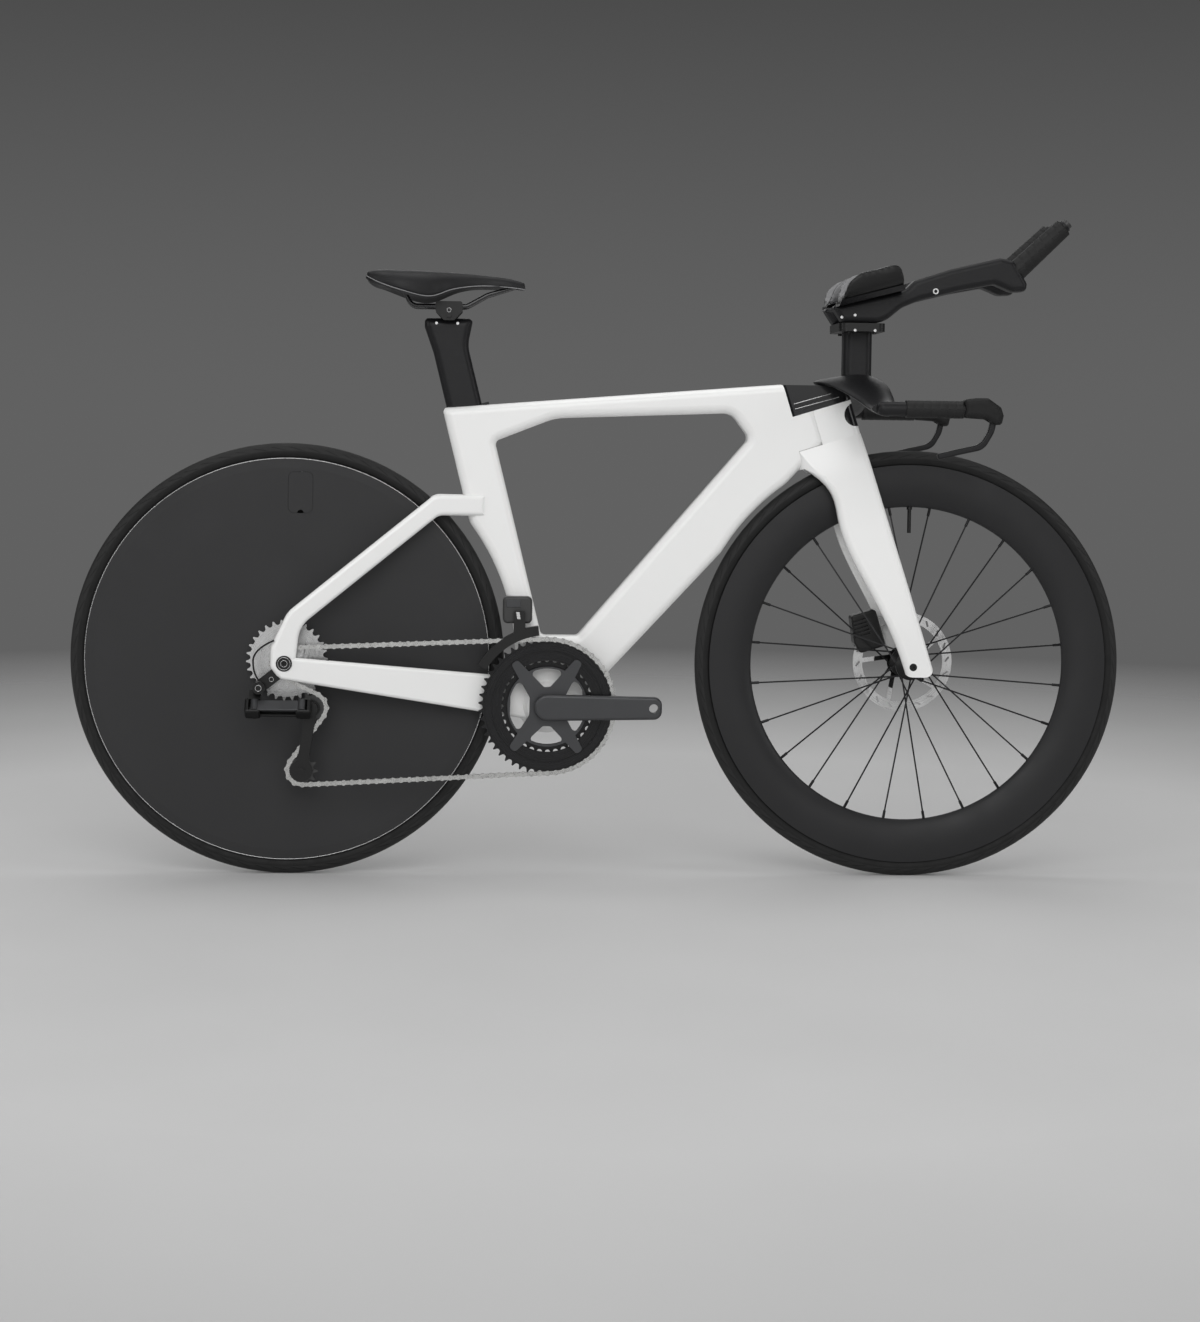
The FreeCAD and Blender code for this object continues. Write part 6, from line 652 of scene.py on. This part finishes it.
class StageOperator(bpy.types.Operator):
    """Set the floor, backdrop, lights and camera"""

    bl_idname = "bike.stage"
    bl_label = "Studio"

    def execute(self, context):
        studio = context.scene.bike_studio
        self.camera(context, studio)
        self.floor(studio)
        self.world(context, studio)
        for name, place, size, power in LIGHTS:
            self.light(name, place, size, getattr(studio, power))
        return {"FINISHED"}

    def camera(self, context, studio):
        data = bpy.data.cameras.new("photo_camera")
        data.sensor_width = SENSOR_WIDTH
        data.lens = studio.camera_lens
        data.shift_y = studio.camera_shift
        data.clip_end = VIEW_DEPTH
        pitch, roll, yaw = studio.camera_turn
        turn = Matrix.Rotation(yaw, 3, "Z") @ Matrix.Rotation(pitch, 3, "X") @ Matrix.Rotation(roll, 3, "Y")
        right, forward, up = turn.col[0], turn.col[1], turn.col[2]
        axes = Matrix((right, up, -forward)).transposed()
        piece = placed("photo_camera", data)
        piece.matrix_world = Matrix.Translation(studio.camera_place) @ axes.to_4x4()
        context.scene.camera = piece

    def floor(self, studio):
        made = Finish("studio_floor")
        grain = made.noise(3.0, 5.0)
        made.colour(made.between(grain, shaded(studio.floor_tone, 0.97), shaded(studio.floor_tone, 1.03)))
        made.rough(made.spread(grain, 0.3, 0.7, 0.75, 0.9))
        far = made.nodes.new("ShaderNodeVectorMath")
        far.operation = "LENGTH"
        made.put(far.inputs[0], made.place)
        fade = made.spread(far.outputs["Value"], 1.5, 4.2, 0.0, 1.0)
        clear = made.nodes.new("ShaderNodeBsdfTransparent")
        mixed = made.nodes.new("ShaderNodeMixShader")
        made.put(mixed.inputs[0], fade)
        made.links.new(made.shader.outputs[0], mixed.inputs[1])
        made.links.new(clear.outputs[0], mixed.inputs[2])
        made.links.new(mixed.outputs[0], made.nodes["Material Output"].inputs["Surface"])
        turns = [2 * math.pi * j / FLOOR_SIDES for j in range(FLOOR_SIDES)]
        rings = [[Vector((reach * math.cos(turn), reach * math.sin(turn), 0.0)) for turn in turns]
                 for reach in (*FLOOR_RINGS, studio.floor_radius)]
        points, faces = skin(rings, closed_ends=False)
        faces.append(tuple(range(FLOOR_SIDES)))
        piece = mesh_piece("studio_floor", points, faces, "studio_floor")

    def world(self, context, studio):
        world = bpy.data.worlds.new("studio_world")
        world.use_nodes = True
        context.scene.world = world
        nodes, links = world.node_tree.nodes, world.node_tree.links
        shown = nodes["Background"]
        even = nodes.new("ShaderNodeBackground")
        even.inputs["Color"].default_value = (1.0, 1.0, 1.0, 1.0)
        even.inputs["Strength"].default_value = studio.ambient
        place = nodes.new("ShaderNodeTexCoord").outputs["Generated"]
        parts = nodes.new("ShaderNodeSeparateXYZ")
        links.new(place, parts.inputs[0])
        ramp = nodes.new("ShaderNodeValToRGB")
        ramp.color_ramp.interpolation = "EASE"
        stops = (0.0, studio.low_tone), (BACKDROP_TOP, studio.high_tone)
        for stop, (height, tone) in zip(ramp.color_ramp.elements, stops):
            stop.position = height
            stop.color = (*tone, 1.0)
        links.new(parts.outputs[2], ramp.inputs[0])
        links.new(ramp.outputs[0], shown.inputs["Color"])
        path = nodes.new("ShaderNodeLightPath").outputs
        seen = path["Is Camera Ray"]
        for ray in ("Is Glossy Ray", "Is Transmission Ray"):
            either = nodes.new("ShaderNodeMath")
            either.operation = "MAXIMUM"
            links.new(seen, either.inputs[0])
            links.new(path[ray], either.inputs[1])
            seen = either.outputs[0]
        mixed = nodes.new("ShaderNodeMixShader")
        links.new(seen, mixed.inputs[0])
        links.new(even.outputs[0], mixed.inputs[1])
        links.new(shown.outputs[0], mixed.inputs[2])
        links.new(mixed.outputs[0], nodes["World Output"].inputs["Surface"])
        context.scene.view_settings.view_transform = "Standard"

    def light(self, name, place, size, power):
        data = bpy.data.lights.new(name, "AREA")
        data.shape = "RECTANGLE"
        data.size, data.size_y = size
        data.energy = power
        piece = placed(name, data)
        piece.location = place
        piece.rotation_mode = "QUATERNION"
        piece.rotation_quaternion = (LIGHT_AIM - Vector(place)).to_track_quat("-Z", "Y")


class GearWireOperator(bpy.types.Operator):
    """Lay the gear wire from the stay to the rear derailleur"""

    bl_idname = "bike.gear_wire"
    bl_label = "Gear wire"

    def execute(self, context):
        sizes = context.scene.bike_sizes
        low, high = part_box("derailleur_wire")
        y = (low.y + high.y) / 2
        points = [Vector((x, y, z)) for x, z in WIRE_ROUTE]
        piece = line_piece("gear_wire", points, sizes.wire_diameter, "hood_rubber")
        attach(piece, "frame")
        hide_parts("derailleur_wire")
        return {"FINISHED"}


class FrameOperator(bpy.types.Operator):
    """Paint the frame and the fork, and lay thin silver rings on the axle ends as painted highlights"""

    bl_idname = "bike.frame"
    bl_label = "Frame and fork"

    def execute(self, context):
        dress("white_paint", "front_triangle", "right_stays", "left_stays", "fork")
        dress("silver_alloy", "frame_bearings")
        dress("black_alloy", "rear_axle", "front_axle", "derailleur_mount", "seatpost_wedge")
        dress("gloss_black", "nose_cap")
        thick = context.scene.bike_sizes.axle_ring_width
        # Thin silver rings on the axle ends: painted highlights.
        for word, radius in REAR_AXLE_HIGHLIGHT_RINGS:
            ring_piece(f"rear_axle_{word}_ring", "rear_axle", REAR_AXLE, DRIVE_SIDE, radius, thick,
                       "silver_alloy", "frame")
        ring_piece("front_axle_ring", "front_axle", FRONT_AXLE, DRIVE_SIDE, FRONT_AXLE_HIGHLIGHT_RING, thick,
                   "silver_alloy", "steering")
        return {"FINISHED"}


class CockpitOperator(bpy.types.Operator):
    """Finish the stem with its painted highlight lines, the bars, extensions, levers and buttons"""

    bl_idname = "bike.cockpit"
    bl_label = "Cockpit"

    def execute(self, context):
        dress("gloss_black", "stem")
        dress("satin_carbon", "base_bar", "riser_post", "extensions", "arm_cups", "right_brake_lever",
              "left_brake_lever")
        dress("black_alloy", "extension_bracket")
        dress("hood_rubber", "brake_hoods")
        dress("plastic", "right_shift_button", "left_shift_button")
        thick = context.scene.bike_sizes.stem_line_width
        for word, side in SIDES:
            # Silver lines laid on the stem as painted highlights.
            for number, route in enumerate(STEM_HIGHLIGHT_LINES, 1):
                points = [face_under("stem", x, z, side) for x, z in route]
                piece = line_piece(f"{word}_stem_line_{number}", points, thick, "silver_alloy")
                fitted(piece, "steering")
        return {"FINISHED"}


class WheelsOperator(bpy.types.Operator):
    """Finish the disc wheel with a painted highlight line round its edge on each side, the deep front wheel and
    the tyres
    """

    bl_idname = "bike.wheels"
    bl_label = "Wheels"

    def execute(self, context):
        sizes = context.scene.bike_sizes
        dress("tyre_rubber", "rear_tyre", "front_tyre")
        dress("disc_skin", "disc_right_shell", "disc_left_shell", "valve_cover")
        dress("rim_skin", "front_rim")
        dress("spoke_black", "front_spokes")
        dress("black_alloy", "rear_hub", "front_hub", "front_valve")
        dress("silver_alloy", "rear_valve")
        dress("rotor_silver", "front_rotor", "rear_rotor")
        # A thin silver ring on each disc skin near its edge: a painted highlight.
        for word, side in SIDES:
            reach = self.face_at(f"disc_{word}_shell", sizes.rim_line_radius, side)
            centre = Vector((-WHEEL_OUT, reach, WHEEL_UP))
            points, faces = hoop(centre, sizes.rim_line_radius, sizes.rim_line_width)
            fitted(mesh_piece(f"{word}_rim_line", points, faces, "silver_alloy"), "rear_wheel")
        return {"FINISHED"}

    def face_at(self, node, radius, side):
        """Side place of a disc skin near a radius."""
        near = [v.co.y for v in NODES[node].data.vertices
                if abs(math.hypot(v.co.x + WHEEL_OUT, v.co.z - WHEEL_UP) - radius) < SKIN_BAND]
        if not near:
            raise RuntimeError(f"{node} has no skin at that radius")
        return max(y * side for y in near) * side


class DriveOperator(bpy.types.Operator):
    """Finish the cranks, chainrings, chain and cassette"""

    bl_idname = "bike.drive"
    bl_label = "Drive"

    def execute(self, context):
        dress("crank_satin", "cranks")
        dress("ring_black", "big_chainring", "small_chainring")
        dress("black_alloy", "chainring_bolts", "freehub_body")
        dress("chain_steel", "chain")
        dress("cog_silver", "cassette_cogs")
        return {"FINISHED"}


class DerailleursOperator(bpy.types.Operator):
    """Finish both derailleurs, their small plates and rings, and the battery"""

    bl_idname = "bike.derailleurs"
    bl_label = "Derailleurs"

    def execute(self, context):
        dress("plastic", "front_derailleur_body", "guide_pulley", "tension_pulley", "shift_battery")
        dress("black_alloy", "front_derailleur_cage", "inner_link", "lower_knuckle", "rear_cage")
        dress("crank_satin", "outer_link")
        sizes = context.scene.bike_sizes
        points = [face_under("front_derailleur_body", x, z, DRIVE_SIDE) for x, z in COVER_PLATE]
        piece = flat_plate("front_derailleur_cover", points, DRIVE_SIDE, COVER_THICK, "crank_satin")
        fitted(piece, "frame")
        points = [face_under("front_derailleur_cage", x, z, DRIVE_SIDE) for x, z in CAGE_BAR]
        piece = flat_plate("front_cage_link", points, DRIVE_SIDE, LINK_THICK, "silver_alloy")
        fitted(piece, "front_cage")
        for word, centre, share in MOUNT_RINGS:
            radius = sizes.bolt_radius * share
            ring_piece(f"{word}_mount_ring", "derailleur_mount", centre, DRIVE_SIDE, radius,
                       sizes.axle_ring_width, "silver_alloy", "frame")
        return {"FINISHED"}


class BrakesOperator(bpy.types.Operator):
    """Finish the disc brake calipers"""

    bl_idname = "bike.brakes"
    bl_label = "Brakes"

    def execute(self, context):
        dress("black_alloy", "front_brake_caliper", "rear_brake_caliper")
        return {"FINISHED"}


class SaddleOperator(bpy.types.Operator):
    """Build the padded saddle with its edge line, and finish post, clamp, rails and bolts"""

    bl_idname = "bike.saddle"
    bl_label = "Saddle"

    def execute(self, context):
        sizes = context.scene.bike_sizes
        dress("satin_carbon", "seatpost")
        dress("black_alloy", "saddle_clamp")
        dress("rail_carbon", "saddle_rails")
        dress("saddle_skin", "saddle_shell")
        rows = [self.section(sizes, i / SADDLE_STEPS) for i in range(SADDLE_STEPS + 1)]
        points, faces = skin(rows)
        piece = mesh_piece("saddle_pad", points, faces, "saddle_skin")
        rounded = piece.modifiers.new("rounding", "SUBSURF")
        rounded.levels = rounded.render_levels = 1
        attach(piece, "seat")
        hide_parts("saddle_cover")
        edge = [row[0] for row in rows] + [row[2 * len(SADDLE_CROWN)] for row in reversed(rows)]
        piece = line_piece("saddle_edge_line", edge, sizes.saddle_edge, "edge_trim", closed=True)
        fitted(piece, "seat")
        for word, side in SIDES:
            radius = sizes.bolt_radius * CLAMP_RING_SHARE
            ring_piece(f"{word}_clamp_ring", "saddle_clamp", CLAMP_BOLT, side, radius,
                       sizes.axle_ring_width, "silver_alloy", "seat")
            bolts_on("seatpost", POST_BOLTS, f"{word}_post_bolt", side, sizes.bolt_radius, "seat")
        return {"FINISHED"}

    def section(self, sizes, share):
        """Closed section of the cover at a share of its length."""
        half = smooth_between(SADDLE_STATIONS, SADDLE_HALVES, share) * sizes.saddle_width
        foot, height = sizes.saddle_place[2], sizes.saddle_height
        low, high, under = (foot + height * smooth_between(SADDLE_STATIONS, table, share)
                            for table in (SADDLE_SKIRTS, SADDLE_TOPS, SADDLE_UNDERS))
        x = sizes.saddle_place[0] + sizes.saddle_length * share
        crown = [(half * out, low + (high - low) * up) for out, up in SADDLE_CROWN]
        arch = [(half * out, low + (under - low) * up) for out, up in SADDLE_ARCH]
        upper = crown + [(0.0, high)] + [(-out, z) for out, z in reversed(crown)]
        lower = [(-out, z) for out, z in arch] + [(0.0, under)] + list(reversed(arch))
        return [Vector((x, y, z)) for y, z in upper + lower]


class ArmPadsOperator(bpy.types.Operator):
    """Fill the two soft arm pads"""

    bl_idname = "bike.arm_pads"
    bl_label = "Arm pads"

    def execute(self, context):
        sizes = context.scene.bike_sizes
        for word, side in SIDES:
            piece = self.pad(context, sizes, f"{word}_arm_pad", side)
            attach(piece, "steering")
            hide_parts("arm_pads")
        return {"FINISHED"}

    def pad(self, context, sizes, name, side):
        shape = bmesh.new()
        shape.from_mesh(NODES["arm_pads"].data)
        bmesh.ops.remove_doubles(shape, verts=shape.verts, dist=WELD_GAP)
        bmesh.ops.delete(shape, geom=[v for v in shape.verts if v.co.y * side < 0.0], context="VERTS")
        mesh = bpy.data.meshes.new(name)
        shape.to_mesh(mesh)
        shape.free()
        mesh.materials.append(finish_named("pad_cover"))
        piece = placed(name, mesh)
        remesh = piece.modifiers.new("even_mesh", "REMESH")
        remesh.mode = "VOXEL"
        remesh.voxel_size = sizes.pad_voxel / PAD_FINENESS
        self.settle(context, piece)
        shape = bmesh.new()
        shape.from_mesh(piece.data)
        for _ in range(PAD_SMOOTHINGS):
            bmesh.ops.smooth_vert(shape, verts=shape.verts, factor=0.5, use_axis_x=True, use_axis_y=True,
                                  use_axis_z=True)
        shape.normal_update()
        shape.to_mesh(piece.data)
        shape.free()
        self.swell(context, piece, sizes.pad_swell)
        rounded = piece.modifiers.new("rounding", "SUBSURF")
        rounded.levels = rounded.render_levels = 1
        return piece

    def settle(self, context, piece):
        """Keeps what the modifiers give as the piece's own mesh."""
        graph = context.evaluated_depsgraph_get()
        made = bpy.data.meshes.new_from_object(piece.evaluated_get(graph))
        piece.modifiers.clear()
        piece.data = made
        made.shade_smooth()

    def swell(self, context, piece, most):
        """Cloth under light pressure, with a cap on how far the skin moves."""
        rest = [v.co.copy() for v in piece.data.vertices]
        cloth = piece.modifiers.new("filling", "CLOTH")
        cloth.settings.use_pressure = True
        cloth.settings.uniform_pressure_force = PAD_PRESSURE
        cloth.settings.effector_weights.gravity = 0.0
        cloth.settings.quality = 5
        cloth.point_cache.frame_start, cloth.point_cache.frame_end = 1, PAD_FRAMES
        for step in range(1, PAD_FRAMES + 1):
            context.scene.frame_set(step)
        self.settle(context, piece)
        for vertex, start in zip(piece.data.vertices, rest):
            moved = vertex.co - start
            if moved.length > most:
                vertex.co = start + moved * (most / moved.length)
        context.scene.frame_set(1)


class GripsOperator(bpy.types.Operator):
    """Wind the tape round the bar ends and the extension tips"""

    bl_idname = "bike.grips"
    bl_label = "Grips"

    def execute(self, context):
        sizes = context.scene.bike_sizes
        for word, side in SIDES:
            self.wound(f"{word}_bar_tape", BAR_TAPE_START, 0.0, sizes.bar_grip_length, sizes.bar_grip_radius,
                       sizes.bar_grip_radius, sizes.bar_grip_turns, sizes.tape_step, side)
            self.wound(f"{word}_tip_tape", TIP_TAPE_START, TIP_RISE, sizes.tip_grip_length,
                       sizes.tip_root_radius, sizes.tip_end_radius, sizes.tip_grip_turns, sizes.tape_step, side)
        return {"FINISHED"}

    def wound(self, name, start, rise, length, root, end, turns, step, hand, around=56):
        """A sleeve whose laps climb in one long helix."""
        start = Vector((start[0], start[1] * hand, start[2]))
        along = Vector((math.cos(rise), 0.0, math.sin(rise)))
        across = Vector((0.0, 1.0, 0.0))
        over = along.cross(across)
        pitch = length / turns
        rows = []
        for lap in range(-1, turns + 1):
            for phase, height in zip(TAPE_ROWS, TAPE_RISES):
                row = []
                for j in range(around):
                    turn = 2 * math.pi * j / around
                    at = min(max((lap + phase + j / around) * pitch, 0.0), length)
                    radius = root + (end - root) * at / length - step + step * height
                    out = across * (math.cos(turn) * hand) + over * math.sin(turn)
                    row.append(start + along * at + out * radius)
                rows.append(row)
        for at, place, near in ((length, len(rows), rows[-1]), (0.0, 0, rows[0])):
            outs = [p - start - along * (p - start).dot(along) for p in near]
            rows.insert(place, [start + along * at + out * TAPE_LIP_SHARE for out in outs])
        points, faces = skin(rows)
        piece = mesh_piece(name, points, faces, "bar_tape")
        shape = bmesh.new()
        shape.from_mesh(piece.data)
        bmesh.ops.remove_doubles(shape, verts=shape.verts, dist=TAPE_WELD_GAP)
        bmesh.ops.dissolve_degenerate(shape, edges=shape.edges, dist=WELD_GAP)
        shape.to_mesh(piece.data)
        shape.free()
        piece.data.shade_smooth()
        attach(piece, "steering")
        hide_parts("grips")


class FastenersOperator(bpy.types.Operator):
    """Add the small bolts and pale plugs of the extensions"""

    bl_idname = "bike.fasteners"
    bl_label = "Fasteners"

    def execute(self, context):
        sizes = context.scene.bike_sizes
        for word, side in SIDES:
            radius = sizes.bolt_radius
            bolts_on("extensions", EXTENSION_BOLTS, f"{word}_extension_bolt", side, radius, "steering")
            bolts_on("extension_bracket", BRACKET_BOLTS, f"{word}_bracket_bolt", side, radius, "steering")
            ring_piece(f"{word}_extension_plug", "extensions", PLUG_PLACE, side, sizes.plug_radius,
                       sizes.plug_width, "plug_pale", "steering")
        return {"FINISHED"}


OPERATORS = (StageOperator, GearWireOperator, FrameOperator, CockpitOperator, WheelsOperator, DriveOperator,
             DerailleursOperator, BrakesOperator, SaddleOperator, ArmPadsOperator, GripsOperator,
             FastenersOperator)
GROUPS = (BikeSizes, BikeTones, BikeStudio)


class BikePanel(bpy.types.Panel):
    """Lists the pieces of the bike with their sizes and colours"""

    bl_idname = "VIEW3D_PT_time_trial_bike"
    bl_label = "Time Trial Bike"
    bl_space_type = "VIEW_3D"
    bl_region_type = "UI"
    bl_category = "Bike"

    def draw(self, context):
        for operator in OPERATORS:
            self.layout.operator(operator.bl_idname)
        for group in (context.scene.bike_sizes, context.scene.bike_tones, context.scene.bike_studio):
            box = self.layout.box()
            for name in group.bl_rna.properties.keys():
                if name not in ("rna_type", "name"):
                    box.prop(group, name)


CLASSES = (*GROUPS, *OPERATORS, BikePanel)


def register():
    for made in CLASSES:
        bpy.utils.register_class(made)
    bpy.types.Scene.bike_sizes = PointerProperty(type=BikeSizes)
    bpy.types.Scene.bike_tones = PointerProperty(type=BikeTones)
    bpy.types.Scene.bike_studio = PointerProperty(type=BikeStudio)


def unregister():
    del bpy.types.Scene.bike_studio, bpy.types.Scene.bike_tones, bpy.types.Scene.bike_sizes
    for made in reversed(CLASSES):
        bpy.utils.unregister_class(made)


def main():
    register()
    make_finishes(bpy.context.scene.bike_tones)
    bpy.ops.bike.stage()
    bpy.ops.bike.gear_wire()
    bpy.ops.bike.frame()
    bpy.ops.bike.cockpit()
    bpy.ops.bike.wheels()
    bpy.ops.bike.drive()
    bpy.ops.bike.derailleurs()
    bpy.ops.bike.brakes()
    bpy.ops.bike.saddle()
    bpy.ops.bike.arm_pads()
    bpy.ops.bike.grips()
    bpy.ops.bike.fasteners()


if __name__ == "__main__":
    main()
